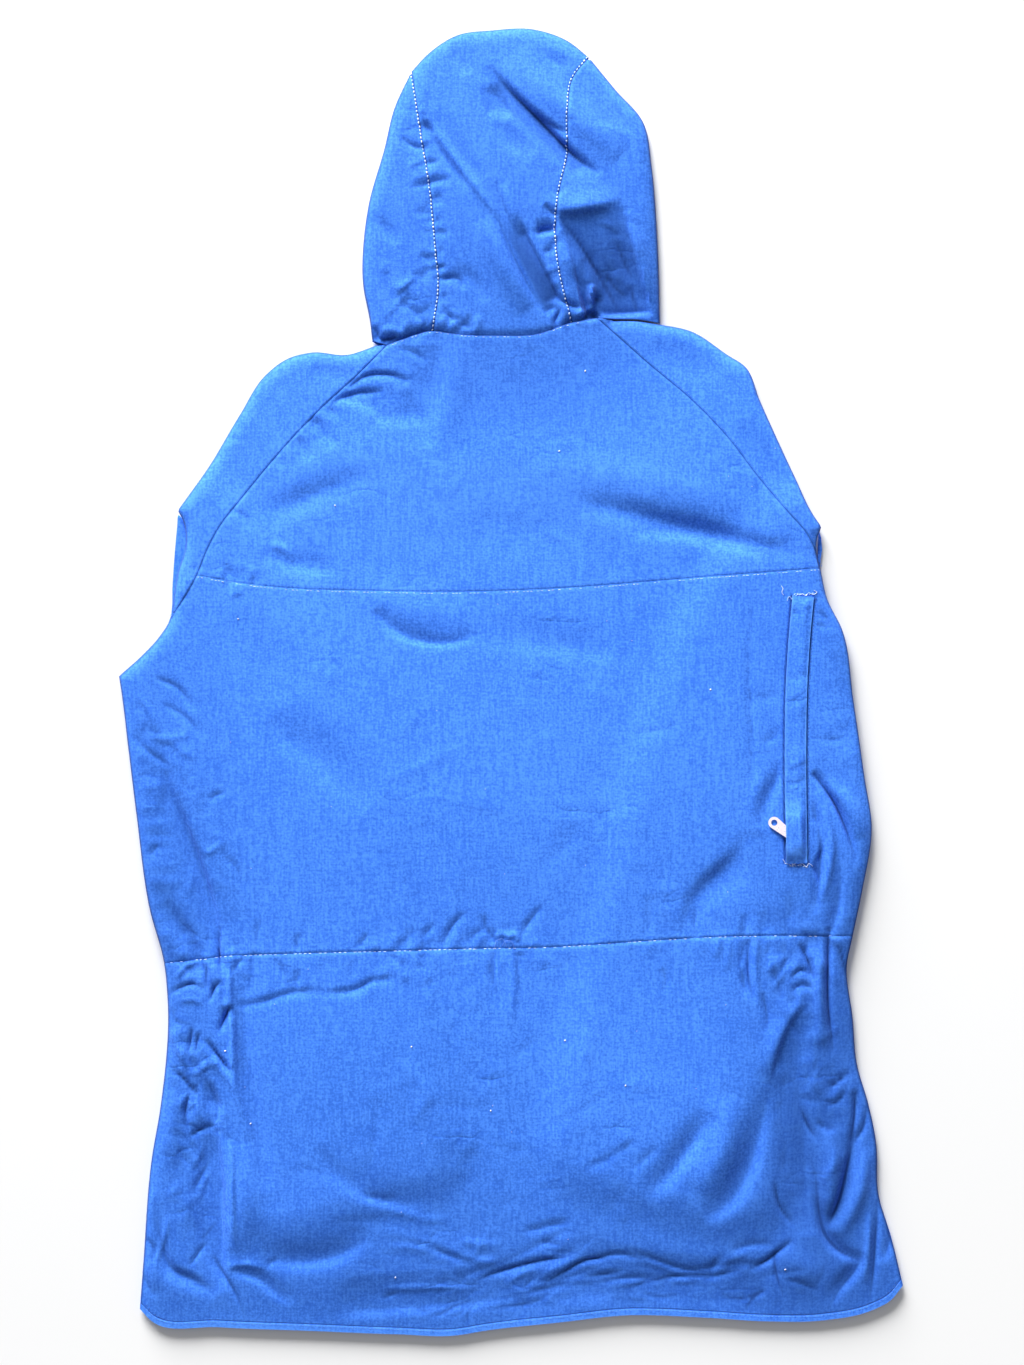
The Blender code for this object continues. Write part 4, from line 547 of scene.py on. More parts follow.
SKIRT_FOLDS = [
    # below the waist, left
    Crease(((-236, -274), (-212, -270), (-190, -263), (-160, -261)), 3, -1.5, 0.3, 0.3),
    Crease(((-164, -262), (-132, -259), (-118, -252), (-96, -250)), 3, -1.8, 0.3, 0.3),
    Crease(((-202, -231), (-192, -248), (-187, -266)), 2.6, -1.5, 0, 0.4),
    Crease(((-180, -242), (-183, -254), (-184, -264)), 2.6, -1.7, 0, 0.4),
    Crease(((-104, -228), (-94, -238), (-90, -248)), 1.8, -1.2, 0, 0.4),
    Crease(((-224, -231), (-232, -238), (-236, -244)), 1.9, -1.5, 0, 0.4),
    Crease(((-16, -228), (-16, -250), (-8, -276)), 3, -2.1, 0.2, 0.4, 0.3),
    Crease(((-3, -228), (1, -246), (-2, -290)), 3, 1.8, 0, 0.4, 0.3),
    Crease(((6, -228), (5, -246), (8, -266)), 2.1, -1.7, 0, 0.4, 0.3),
    # the pleat and the creased band on its left
    Crease(((-239, -224), (-240, -262), (-237, -302), (-236, -335), (-226, -375), (-216, -408)),
           2.8, 3.6, -0.3, 0.4, 0.4),
    Crease(((-230, -256), (-225, -320), (-214, -380), (-206, -430)), 9, -3.4, 0.3),
    Crease(((-238, -273), (-243, -283), (-249, -297)), 2.7, -4.7, -0.3, 0.4, 0.3),
    Crease(((-248, -206), (-248, -230), (-247, -250)), 2.2, -3.3, 0, 0.4),
    Crease(((-247, -252), (-253, -261), (-256, -271)), 2.1, -3, 0, 0.4),
    Crease(((-258, -240), (-259, -252), (-257, -263)), 2.1, -2.5, 0, 0.4),
    Crease(((-251, -250), (-248, -266), (-246, -280)), 2.2, 1.9, 0, 0.4),
    Crease(((-291, -266), (-280, -258), (-268, -256), (-260, -262)), 1.9, -2.2, 0, 0.4),
    Crease(((-286, -252), (-276, -240), (-262, -236)), 1.9, 1.6, 0, 0.4),
    Crease(((-282, -270), (-272, -268), (-262, -272)), 1.8, 1.3, 0, 0.4),
    Crease(((-288, -276), (-286, -284), (-280, -292)), 1.8, -1.5, 0, 0.4),
    Crease(((-294, -288), (-284, -306), (-275, -329)), 2.2, 2.4, 0, 0.4, 0.6),
    Crease(((-277, -333), (-266, -330), (-256, -322), (-246, -322)), 1.8, 1.8, 0, 0.5),
    Crease(((-289, -328), (-280, -334), (-270, -346), (-263, -352)), 2.1, -2.8, 0.3, 0.5, 0.4),
    Crease(((-271, -292), (-272, -302), (-275, -316)), 1.9, -2.5, 0, 0.4),
    Crease(((-265, -296), (-267, -306), (-268, -315)), 1.9, -2.4, 0, 0.4),
    Crease(((-259, -302), (-248, -317), (-241, -326), (-234, -330)), 2.1, -3.8, 0.4, 0.5),
    Crease(((-264, -306), (-252, -322), (-242, -334), (-236, -346)), 2.1, 1.8, 0, 0.4),
    Crease(((-262, -334), (-254, -348), (-250, -362), (-252, -375)), 6.5, -5.4, 0.5, 0.2, 0.6),
    Crease(((-276, -386), (-262, -378), (-251, -375)), 1.9, -2.5, 0.3, 0.5),
    Crease(((-273, -346), (-277, -362), (-276, -384)), 2.5, -2.5, 0.2, 0.3),
    Crease(((-268, -352), (-266, -364), (-262, -374)), 2.2, 1.6, 0, 0.3),
    Crease(((-292, -345), (-288, -380), (-286, -410)), 7, 2.4),
    Crease(((-254, -366), (-250, -430), (-250, -470), (-248, -518)), 11, -7, 0.6, 0.1),
    Crease(((-238, -386), (-237, -430), (-237, -484)), 2.6, 2.6, 0.3, 0.4),
    Crease(((-256, -403), (-263, -416), (-271, -432)), 1.8, -1.8, 0, 0.5),
    Crease(((-253, -406), (-259, -420), (-266, -434)), 1.6, 1.3, 0, 0.5),
    Crease(((-250, -458), (-258, -466), (-264, -476)), 1.8, -1.5, 0, 0.4),
    Crease(((-258, -474), (-266, -484), (-274, -496)), 1.8, -1.7, 0, 0.4),
    Crease(((-228, -390), (-226, -440), (-230, -484)), 13, 3.0),
    Crease(((-304, -444), (-298, -474), (-289, -498), (-270, -508), (-251, -521)),
           5, -3.9, 0.3, 0.2, 0.6),
    Crease(((-312, -470), (-304, -482), (-306, -494)), 2.1, -2.2, 0, 0.4),
    Crease(((-314, -500), (-308, -514), (-302, -524)), 2.2, -1.7, 0, 0.4),
    Crease(((-254, -487), (-246, -500), (-234, -520), (-226, -541)), 1.9, -2.8, 0.3, 0.5, 0.3),
    Crease(((-238, -499), (-214, -507), (-200, -519), (-186, -528)), 5, -3.3, -0.4, 0.2),
    Crease(((-244, -496), (-226, -494), (-208, -498)), 2.2, 1.4, 0, 0.3),
    # the hollow and the slope on its right
    Crease(((-214, -488), (-176, -491), (-146, -485), (-120, -468)), 9.5, -3.4, -0.35, 0.1),
    Crease(((-210, -498), (-204, -492), (-198, -490)), 1.8, -1.4, 0, 0.4),
    Crease(((-166, -396), (-142, -422), (-112, -438), (-66, -440)), 11, -2, -0.5),
    Crease(((-127, -433), (-112, -438), (-96, -438)), 2.4, -1.7, 0, 0.5),
    Crease(((-130, -441), (-104, -446), (-76, -455), (-42, -457)), 2.4, 1.3, 0, 0.4),
    # along the hem
    Facet(-158, -506, (170, 14), (0, -30), 4.6, 30, 40, 10),
    Facet(-30, -496, (110, 32), (12, -46), 3.8, 22, 26, 16),
    Facet(60, -468, (60, -14), (-2, -48), 3.8, 24, 18, 16, 0.08),
    Facet(100, -480, (124, -12), (0, -38), 5.0, 18, 18, 16, 0.08),
    Crease(((-110, -515), (-76, -514), (-50, -514), (-34, -517)), 1.9, 1.4, 0, 0.4),
    Crease(((-110, -524), (-102, -520), (-96, -519)), 1.8, -1.4, 0, 0.4),
    Crease(((-74, -539), (-60, -536), (-48, -530), (-34, -525)), 2.1, -2.4, 0.2, 0.5),
    Crease(((-58, -538), (-44, -536), (-38, -528)), 1.8, -1.4, 0, 0.4),
    Crease(((-40, -548), (-38, -538), (-32, -526)), 2.2, -1.8, 0, 0.4),
    Crease(((-82, -532), (-76, -534), (-68, -536)), 1.9, -1.5, 0, 0.4),
    Crease(((-34, -509), (-16, -502), (10, -494), (28, -490), (58, -486)), 2.1, -2.5, 0.3, 0.5),
    Crease(((-8, -514), (8, -502), (24, -497)), 1.9, 1.1, 0, 0.4),
    Crease(((26, -512), (44, -500), (60, -491), (82, -489)), 2.2, -3.2, 0.3, 0.5),
    Crease(((30, -510), (48, -497), (62, -487)), 1.6, 1.1, 0, 0.5),
    Crease(((-30, -534), (0, -530), (20, -526), (34, -519)), 2.1, -2.2, 0.2, 0.4),
    Crease(((14, -519), (30, -514), (46, -510)), 1.9, -1.5, 0, 0.4),
    Crease(((58, -506), (76, -503), (96, -500)), 1.9, -1.8, 0, 0.4),
    Crease(((8, -466), (22, -463), (34, -460), (52, -456)), 2.6, -1.7, 0.2, 0.5),
    Crease(((24, -474), (32, -476), (42, -477)), 1.8, -1.4, 0, 0.4),
    Crease(((-72, -479), (-56, -485), (-38, -492)), 1.8, -1.4, 0, 0.4),
    Crease(((62, -492), (92, -485), (114, -491)), 1.9, -1.7, 0, 0.4),
    Crease(((98, -480), (124, -491), (156, -499), (178, -494)), 2.2, -1.8, 0, 0.4),
    Crease(((100, -514), (140, -504), (170, -504), (198, -497)), 2.1, -2.5, 0.3, 0.5),
    Crease(((118, -507), (150, -508), (178, -502)), 1.6, 1.3, 0, 0.5),
    Crease(((62, -512), (96, -506), (132, -507)), 1.9, -1.7, 0, 0.4),
    Crease(((108, -517), (126, -522), (142, -520)), 1.9, -1.7, 0, 0.4),
    Crease(((176, -521), (198, -523), (216, -517)), 2.2, -2.4, 0.2, 0.4),
    Crease(((198, -534), (206, -522), (216, -516)), 2.2, -2.2, 0, 0.4),
    Crease(((200, -499), (214, -492), (226, -483), (238, -474)), 2.1, -2.5, 0.2, 0.5),
    Crease(((223, -482), (224, -500), (232, -524)), 2.1, -2.1, 0, 0.4),
    Crease(((228, -506), (246, -510), (262, -518)), 1.8, -1, 0, 0.4),
    Crease(((62, -412), (76, -406), (88, -399)), 2.4, -1, 0, 0.5),
    Crease(((102, -413), (112, -403), (124, -392)), 2.4, -1, 0, 0.5),
    Crease(((86, -398), (96, -394), (102, -386)), 2.4, -1, 0, 0.5),
    # the long troughs on the right
    Crease(((218, -340), (209, -378), (200, -412), (184, -440), (162, -454)),
           10, -6, 0.35, 0.1, 0.6),
    Crease(((182, -350), (180, -390), (160, -432)), 12, 3),
    Crease(((168, -364), (150, -392), (130, -420), (112, -436)), 9, -3.8, 0.2),
    Crease(((252, -268), (242, -276), (232, -290), (224, -308), (217, -334)),
           5.5, 3.8, 0.6, 0.2, 0.6),
    Crease(((246, -280), (239, -330), (242, -400), (250, -470)), 15, -7.5, 0.25, 0.1),
    Crease(((212, -262), (216, -280), (217, -298)), 2.6, -1.8, 0, 0.4),
    Crease(((194, -242), (196, -254), (199, -266)), 2.6, -2.1, 0, 0.4),
    Crease(((202, -214), (200, -244), (205, -272)), 2.2, -2.8, 0, 0.5),
    Crease(((208, -214), (206, -244), (211, -276)), 2.2, 1.8, 0, 0.3),
    Crease(((243, -220), (251, -236), (256, -252)), 2.2, -3.2, 0.2, 0.4),
    Crease(((234, -252), (244, -244), (256, -248)), 1.9, -1.8, 0, 0.4),
    Crease(((236, -262), (246, -256), (256, -260)), 1.9, -1.8, 0, 0.4),
    Crease(((220, -242), (226, -256), (228, -270)), 3, -1.5, 0, 0.4),
    Crease(((262, -218), (260, -260), (263, -310)), 5, 3.4, -0.3, 0.2),
    Crease(((269, -208), (268, -240), (268, -270), (273, -316)), 2.7, -4.9, 0.2, 0.4, 0.35),
    Crease(((277, -220), (281, -238), (285, -254)), 2.4, -3, 0, 0.4),
    Crease(((266, -345), (276, -339), (287, -330)), 2.1, -2.1, 0, 0.4),
    Crease(((266, -359), (278, -353), (285, -344)), 2.1, -1.7, 0, 0.4),
    Crease(((291, -345), (291, -368), (287, -392)), 2.5, -3.3, 0, 0.4),
    Crease(((301, -358), (298, -378), (289, -394)), 2.2, -2.4, 0, 0.4),
    Crease(((245, -362), (252, -377), (259, -388)), 2.2, -2.5, 0, 0.4),
    Crease(((258, -372), (266, -378), (276, -378)), 1.8, -1.5, 0, 0.4),
    Crease(((292, -376), (287, -402), (278, -440), (268, -464)), 4.6, -6, -0.3, 0.3, 0.6),
    Crease(((301, -396), (292, -440), (277, -470)), 7, 3.8),
    Crease(((268, -376), (272, -416), (267, -452)), 8, 4.4),
    Crease(((250, -394), (258, -420), (261, -450), (266, -469), (277, -482), (296, -491)),
           4.6, -5.6, -0.3, 0.3, 0.7),
    Crease(((298, -484), (291, -500), (278, -516), (268, -534)), 5.5, -4.3, 0.3, 0.2),
    Crease(((310, -436), (309, -470), (307, -500), (303, -530)), 2.8, -3.2, 0, 0.3),
    Crease(((303, -450), (302, -480), (299, -510)), 2.2, 2.1),
    Crease(((318, -456), (320, -474), (315, -492)), 4.5, -3, 0, 0.3),
    Crease(((222, -424), (228, -446), (240, -462)), 2.2, -2.4, 0, 0.2),
    Crease(((232, -478), (248, -500), (262, -506)), 12, 2.6),
    Crease(((126, -242), (130, -250), (129, -264)), 2.6, -1, 0, 0.4),
]

# Soft patches of painted shade and light on the upper layer, partly fading of the cloth: darker in
# the hood's hollow, below the neck, to the sides and towards the hem, paler in the middle of the
# yoke.
PAINTED_LIGHT_AND_FADING = [
    Swell(-10, 390, 150, 170, -0.3), Swell(90, 345, 32, 52, -0.34), Swell(0, 262, 100, 50, -0.2),
    Swell(-305, -330, 60, 210, -0.3), Swell(-20, 175, 170, 55, 0.16),
    Swell(270, -370, 70, 200, -0.55), Swell(0, -550, 360, 90, -0.26),
    Swell(-90, -460, 140, 70, -0.2),
    Swell(170, -480, 130, 60, -0.2), Swell(-300, -60, 60, 180, -0.2),
    Swell(0, -190, 300, 70, -0.12),
    Swell(235, 60, 50, 140, -0.12), Swell(0, -380, 260, 100, -0.03),
]


@dataclass(frozen=True)
class Puckers:
    """A row of small ridges that a tight seam draws up beside it.

    They start on the line from start to end and run off along direction, uneven in place, length
    and height.
    """

    start: Point
    end: Point
    direction: Point
    count: int
    length: float
    width: float
    height: float
    seed: int

    BEHIND: ClassVar[float] = 0.25  # the share of a ridge that lies behind its seam
    EASED: ClassVar[float] = 0.6  # of its height is left once the seam is pressed

    def folds(self) -> list[Fold]:
        """One fold for each ridge, from a seeded draw."""
        draw = np.random.RandomState(self.seed)
        made = []
        size = math.hypot(*self.direction)
        for i in range(self.count):
            t = (i + 0.5 + draw.uniform(-0.35, 0.35)) / self.count
            x = self.start[0] + (self.end[0] - self.start[0]) * t
            y = self.start[1] + (self.end[1] - self.start[1]) * t
            far = self.length * draw.uniform(0.5, 1.3)
            turn = draw.uniform(-0.35, 0.35)
            dx, dy = self.direction[0] / size, self.direction[1] / size
            dx, dy = dx - turn * dy, dy + turn * dx
            back = self.BEHIND * far
            made.append(
                Fold(
                    x - dx * back, y - dy * back, x + dx * far, y + dy * far,
                    draw.uniform(-1, 1), self.width * draw.uniform(0.7, 1.3),
                    self.EASED * self.height * draw.uniform(0.4, 1.3) * draw.choice([-1, 1]),
                    0.0, 0.3,
                )
            )
        return made


PUCKERS = [
    Puckers((-84, 490), (-62, 345), (-1, -0.1), 11, 12, 2.6, 1.2, 1),
    Puckers((-80, 490), (-60, 310), (1, 0.1), 14, 14, 2.6, 1.4, 2),
    Puckers((47, 470), (38, 330), (-1, -0.15), 9, 12, 2.8, 1.2, 3),
    Puckers((47, 500), (40, 330), (1, -0.2), 9, 9, 2.6, 0.9, 4),
    Puckers((-66, 300), (-30, 298), (0.4, 1), 6, 14, 3.2, 2.0, 5),
    Puckers((28, 300), (72, 312), (0.2, 1), 7, 14, 3.2, 2.0, 6),
    Puckers((-112, 292), (-70, 300), (0.6, 1), 5, 16, 3.2, 1.6, 7),
    Puckers((-124, 268), (-206, 186), (1, -0.7), 15, 13, 3.0, 1.0, 8),
    Puckers((-266, 90), (-205, 82), (-0.2, 1), 6, 12, 3.0, 1.2, 9),
    Puckers((-285, 62), (-262, 98), (-1, 0.6), 5, 10, 3.0, 1.4, 10),
    Puckers((-120, -226), (20, -224), (0.45, 1), 17, 16, 3.4, 1.3, 11),
    Puckers((-290, -236), (-215, -230), (0.3, -1), 9, 26, 4.2, 2.0, 12),
    Puckers((-290, -236), (-215, -230), (-0.2, 1), 8, 18, 4.0, 1.4, 13),
    Puckers((-120, -228), (30, -225), (-0.1, -1), 12, 16, 3.6, 1.0, 14),
    Puckers((170, -216), (286, -215), (0.1, -1), 14, 26, 4.2, 1.8, 15),
    Puckers((170, -214), (286, -213), (-0.1, 1), 12, 20, 4.0, 1.2, 16),
    Puckers((30, -224), (170, -216), (0, -1), 11, 12, 3.4, 0.7, 17),
    Puckers((-306, -540), (-60, -552), (0.1, 1), 34, 10, 2.6, 0.6, 18),
    Puckers((-20, -546), (316, -530), (0.1, 1), 46, 10, 2.6, 0.6, 19),
    Puckers((254, 74), (248, -150), (1, -0.2), 20, 9, 2.6, 0.5, 20),
    Puckers((-322, -20), (-300, -190), (1, 0.2), 13, 20, 4.0, 0.9, 21),
]


@dataclass(frozen=True)
class Crumple:
    """A region of small creases that cross each other, as cloth has that was packed."""

    x: float
    y: float
    half_width: float
    half_length: float
    count: int
    length: float
    width: float
    height: float
    heading: float
    spread: float
    seed: int

    def strength(self, x: Array, y: Array) -> Array:
        """How crumpled the cloth is: a swell of half its height."""
        return Swell(self.x, self.y, self.half_width, self.half_length, 0.5 * self.height).at(x, y)

    def folds(self) -> list[Fold]:
        """One fold for each crease: places and headings are from a seeded normal draw."""
        draw = np.random.RandomState(self.seed)
        made = []
        for _ in range(self.count):
            x = self.x + self.half_width * float(np.clip(draw.normal(0, 0.5), -1.1, 1.1))
            y = self.y + self.half_length * float(np.clip(draw.normal(0, 0.5), -1.1, 1.1))
            heading = math.radians(self.heading + draw.normal(0, self.spread))
            far = self.length * draw.uniform(0.5, 1.4) / 2
            dx, dy = far * math.cos(heading), far * math.sin(heading)
            made.append(
                Fold(
                    x - dx, y - dy, x + dx, y + dy, draw.uniform(-4, 4),
                    self.width * draw.uniform(0.7, 1.4),
                    self.height * draw.uniform(0.4, 1.3) * draw.choice([-1, 1]),
                    draw.uniform(-0.4, 0.4), draw.uniform(0.2, 0.8),
                )
            )
        return made


CRUMPLES = [
    Crumple(-268, -310, 26, 70, 16, 26, 2.8, 1.2, 120, 28, 31),
    Crumple(-272, -440, 34, 80, 14, 32, 3.0, 1.0, 105, 30, 32),
    Crumple(60, -505, 130, 26, 26, 56, 2.8, 0.9, 8, 14, 33),
    Crumple(-60, -485, 110, 46, 16, 44, 3.0, 0.8, -8, 22, 34),
    Crumple(262, -330, 34, 110, 20, 30, 2.8, 1.0, 75, 34, 35),
    Crumple(88, 356, 24, 40, 16, 26, 2.6, 1.2, -62, 16, 36),
    Crumple(-90, 325, 26, 30, 10, 22, 3.0, 1.0, 30, 40, 37),
    Crumple(-285, -80, 34, 90, 14, 28, 3.0, 0.8, 100, 40, 38),
    Crumple(190, -505, 60, 30, 10, 40, 2.8, 0.9, 14, 20, 39),
    Crumple(-20, -20, 220, 200, 24, 50, 5.0, 0.45, 90, 60, 40),
    Crumple(-20, 190, 200, 70, 14, 44, 5.0, 0.4, 20, 60, 41),
    Crumple(0, -360, 220, 100, 30, 50, 4.0, 0.5, 80, 60, 42),
    Crumple(100, 480, 40, 60, 8, 30, 3.5, 0.6, -60, 30, 43),
    Crumple(-110, -250, 120, 16, 14, 22, 2.8, 0.7, 80, 40, 44),
    Crumple(240, -245, 50, 24, 12, 22, 2.8, 1.0, 85, 30, 45),
    Crumple(-232, 88, 30, 20, 8, 18, 2.8, 0.9, 110, 40, 46),
]


# ------------------------------------------------------------------ drawn lines
def unit(vectors: Array) -> Array:
    """The vectors, each at length 1."""
    return vectors / np.linalg.norm(vectors, axis=-1, keepdims=True)


@dataclass
class Line:
    """Points along a curve in plan."""

    points: Array

    @classmethod
    def through(cls, table: Sequence[Point], step: float = 2.0) -> "Line":
        """A smooth line through the points of a table, sharp where one is given twice.

        Args:
            table: The points, in order.
            step: The distance between the points of the line.
        """
        runs: list[list[Point]] = [[table[0]]]
        for point in table[1:]:
            if point == runs[-1][-1]:
                runs.append([])
            runs[-1].append(point)
        pieces = [cls._run(np.array(run, float), step) for run in runs]
        return cls(np.concatenate([pieces[0]] + [piece[1:] for piece in pieces[1:]]))

    @staticmethod
    def _run(p: Array, step: float) -> Array:
        """Cubic Hermite spans whose slopes are weighted means of the chords beside them.

        Args:
            p: The points of a run, (count, 2).
            step: The distance between the points of the line.

        Returns:
            The points of the line.
        """
        h = np.linalg.norm(np.diff(p, axis=0), axis=1)[:, None]
        chord = np.diff(p, axis=0) / h
        slope = np.concatenate([chord[:1], chord[-1:]])
        if len(p) > 2:
            middle = (chord[:-1] * h[1:] + chord[1:] * h[:-1]) / (h[1:] + h[:-1])
            slope = np.concatenate([chord[:1], middle, chord[-1:]])
        made = []
        for a, b, sa, sb, size in zip(p[:-1], p[1:], slope[:-1], slope[1:], h[:, 0]):
            t = np.linspace(0, 1, max(2, math.ceil(size / step)), endpoint=False)[:, None]
            made.append(
                a * (2 * t**3 - 3 * t**2 + 1) + b * (3 * t**2 - 2 * t**3)
                + size * sa * (t**3 - 2 * t**2 + t) + size * sb * (t**3 - t**2)
            )
        return np.concatenate(made + [p[-1:]])

    @property
    def distances(self) -> Array:
        """The distance along the line at each point."""
        steps = np.linalg.norm(np.diff(self.points, axis=0), axis=1)
        return np.concatenate([[0.0], np.cumsum(steps)])

    @property
    def length(self) -> float:
        """The line's length."""
        return float(self.distances[-1])

    def at(self, fractions: Array) -> Array:
        """The points at these fractions of the length.

        Args:
            fractions: The fractions.

        Returns:
            An array of (count, 2).
        """
        far = self.distances
        where = np.asarray(fractions) * far[-1]
        return np.stack([np.interp(where, far, self.points[:, k]) for k in (0, 1)], axis=-1)

    def normals(self) -> Array:
        """Unit vectors to the left of the line, at its points."""
        along = unit(np.gradient(self.points, axis=0))
        return np.stack([-along[:, 1], along[:, 0]], axis=1)

    def beside(self, distance: float) -> "Line":
        """The line moved to its own left."""
        return Line(self.points + self.normals() * distance)

    def between(self, start: Point, end: Point) -> "Line":
        """The stretch between the points nearest to start and to end.

        Args:
            start: A point near the start of the stretch.
            end: A point near its end.

        Returns:
            The stretch, run from start to end.
        """
        i, j = (
            int(np.linalg.norm(self.points - np.array(p, float), axis=1).argmin())
            for p in (start, end)
        )
        return Line(self.points[i : j + 1] if i <= j else self.points[j : i + 1][::-1])

    def reversed(self) -> "Line":
        """The line run the other way."""
        return Line(self.points[::-1])

    def then(self, *others: "Line") -> "Line":
        """This line and the others, end to end."""
        return Line(np.concatenate([self.points] + [other.points[1:] for other in others]))


def straight(a: Array, b: Array) -> Line:
    """The straight line between two points."""
    return Line(np.array([a, b], float))


def smoothstep(t: Array) -> Array:
    """0 below 0, 1 above 1, and 3t^2 - 2t^3 between."""
    t = np.clip(t, 0.0, 1.0)
    return t * t * (3 - 2 * t)


MARK_STEP = 0.5  # how finely the cells' sizes are summed up


def marks(
    length: float,
    cell: float,
    first: Sequence[float] = (),
    last: Sequence[float] = (),
    stops: Sequence[float] = (),
    fine: Sequence[tuple[float, float, float]] = (),
) -> Array:
    """Fractions of a length: even cells, with closer marks at the start and at the end.

    Args:
        length: The length in millimetres.
        cell: The size of an even cell.
        first: Distances of closer marks from the start.
        last: Distances of closer marks from the end.
        stops: Distances from the start that get a mark of their own.
        fine: Stretches with a cell of their own, each with its start, its end and the cell.

    Returns:
        Rising fractions from 0 to 1.
    """
    low = [0.0, *first]
    high = [length - d for d in reversed(last)] + [length]
    found = [low]
    ends = [low[-1], *stops, high[0]]
    at = np.arange(0.0, length + MARK_STEP, MARK_STEP)
    cells = np.full_like(at, cell)
    for start, end, own in fine:
        cells[(at >= start) & (at <= end)] = own
    passed = np.concatenate([[0.0], np.cumsum(MARK_STEP / cells[:-1])])
    for start, end in zip(ends[:-1], ends[1:]):
        first_cell, last_cell = np.interp([start, end], at, passed)
        count = max(1, round(last_cell - first_cell))
        found.append(np.interp(np.linspace(first_cell, last_cell, count + 1)[1:], passed, at))
    return np.concatenate([*found, high[1:]]) / length


SEAM_MARKS = (0.7, 1.6, 3.0)
TURN_MARKS = tuple(UPPER_TURN * (1 - math.cos(math.radians(a))) for a in (15, 30, 45, 60, 75, 90))
UNDER_MARKS = tuple(UNDER_TURN * (1 - math.cos(math.radians(a))) for a in (25, 50, 90))
HEM_MARKS = (0.25, 0.8, 1.8, 3.2, 4.4, 4.9, 5.2, 5.5, 5.8, 6.4, 7.6)


@dataclass
class Patch:
    """A piece of cloth in plan, between four lines that meet at their ends."""

    bottom: Line
    top: Line
    left: Line
    right: Line

    def plan(self, across: Array, up: Array, seams: Iterable[Side] = ()) -> Array:
        """The grid of plan points, a Coons patch.

        Point(u, v) is the ruled surface between bottom and top, plus that between left and right,
        less the bilinear one through the corners.

        Args:
            across: The fractions u.
            up: The fractions v.
            seams: The sides that are seams, which lie half a gap inside.

        Returns:
            An array of (rows, columns, 2).
        """
        bottom, top = self.bottom.at(across), self.top.at(across)
        left, right = self.left.at(up), self.right.at(up)
        u, v = across[None, :, None], up[:, None, None]
        corners = (1 - v) * ((1 - u) * left[0] + u * right[0]) + v * (
            (1 - u) * left[-1] + u * right[-1]
        )
        grid = (1 - v) * bottom + v * top + (1 - u) * left[:, None] + u * right[:, None] - corners
        draw_in(grid, *seams)
        return grid


def draw_in(grid: Array, *sides: Side) -> None:
    """Moves these sides of a grid half a seam gap into it.

    Args:
        grid: The plan points, which are changed.
        *sides: The sides that are seams.
    """
    edges = {
        Side.BOTTOM: (grid[0], grid[1]),
        Side.TOP: (grid[-1], grid[-2]),
        Side.LEFT: (grid[:, 0], grid[:, 1]),
        Side.RIGHT: (grid[:, -1], grid[:, -2]),
    }
    for side in sides:
        edge, inner = edges[side]
        edge += unit(inner - edge) * SEAM_GAP / 2


def reach(plan: Array) -> Array:
    """The distance of each plan point from the bottom side, from the foot of its column."""
    return np.linalg.norm(plan - plan[:1], axis=2)


# ------------------------------------------------------------------ height fields
class Silhouette:
    """The lines in plan where the upper layer turns into the under layer."""

    CHUNK = 3000  # points at a time, which fit in memory
    ON_IT = 0.05  # nearer than this, a point is on the line

    def __init__(self, *lines: Line) -> None:
        """Keeps the start and the span of each stretch."""
        self.starts = np.concatenate([line.points[:-1] for line in lines])
        self.spans = np.concatenate([np.diff(line.points, axis=0) for line in lines])

    def distance(self, points: Array) -> Array:
        """The distance of each point, in plan, to the nearest stretch."""
        lots = [points[i : i + self.CHUNK] for i in range(0, len(points), self.CHUNK)]
        return np.concatenate([self._distance(lot) for lot in lots])

    def _distance(self, points: Array) -> Array:
        """Foot of the perpendicular on each stretch, clipped to it, and the nearest of them.

        Args:
            points: The plan points, (count, 2).

        Returns:
            The distances.
        """
        away = points[:, None, :] - self.starts
        share = np.clip((away * self.spans).sum(axis=2) / (self.spans**2).sum(axis=1), 0, 1)
        away = away - share[:, :, None] * self.spans
        far = np.sqrt((away**2).sum(axis=2)).min(axis=1)
        return np.where(far < self.ON_IT, 0.0, far)


def outside(x: Array, y: Array, region: Array) -> Array:
    """The distance of each point from a closed outline, and 0 inside it.

    Args:
        x: The points' first coordinates.
        y: Their second ones.
        region: The points of the outline.

    Returns:
        The distances.
    """
    far, inside = np.full(x.shape, 1e9), np.zeros(x.shape, int)
    for (ax, ay), (bx, by) in zip(region, np.roll(region, -1, axis=0)):
        far = np.minimum(far, np.hypot(x - ax, y - ay))
        crosses = (ay > y) != (by > y)
        rise = by - ay if abs(by - ay) > 1e-9 else 1e-9
        inside += crosses & (x < ax + (y - ay) * (bx - ax) / rise)
    return np.where(inside % 2 == 1, 0.0, far)


def distance_to_line(x: Array, y: Array, line: Line) -> Array:
    """The distance of each point from the nearest point of a line.

    Args:
        x: The points' first coordinates.
        y: Their second ones.
        line: The line.

    Returns:
        The distances.
    """
    far = np.full(x.shape, 1e9)
    for px, py in line.points:
        far = np.minimum(far, np.hypot(x - px, y - py))
    return far


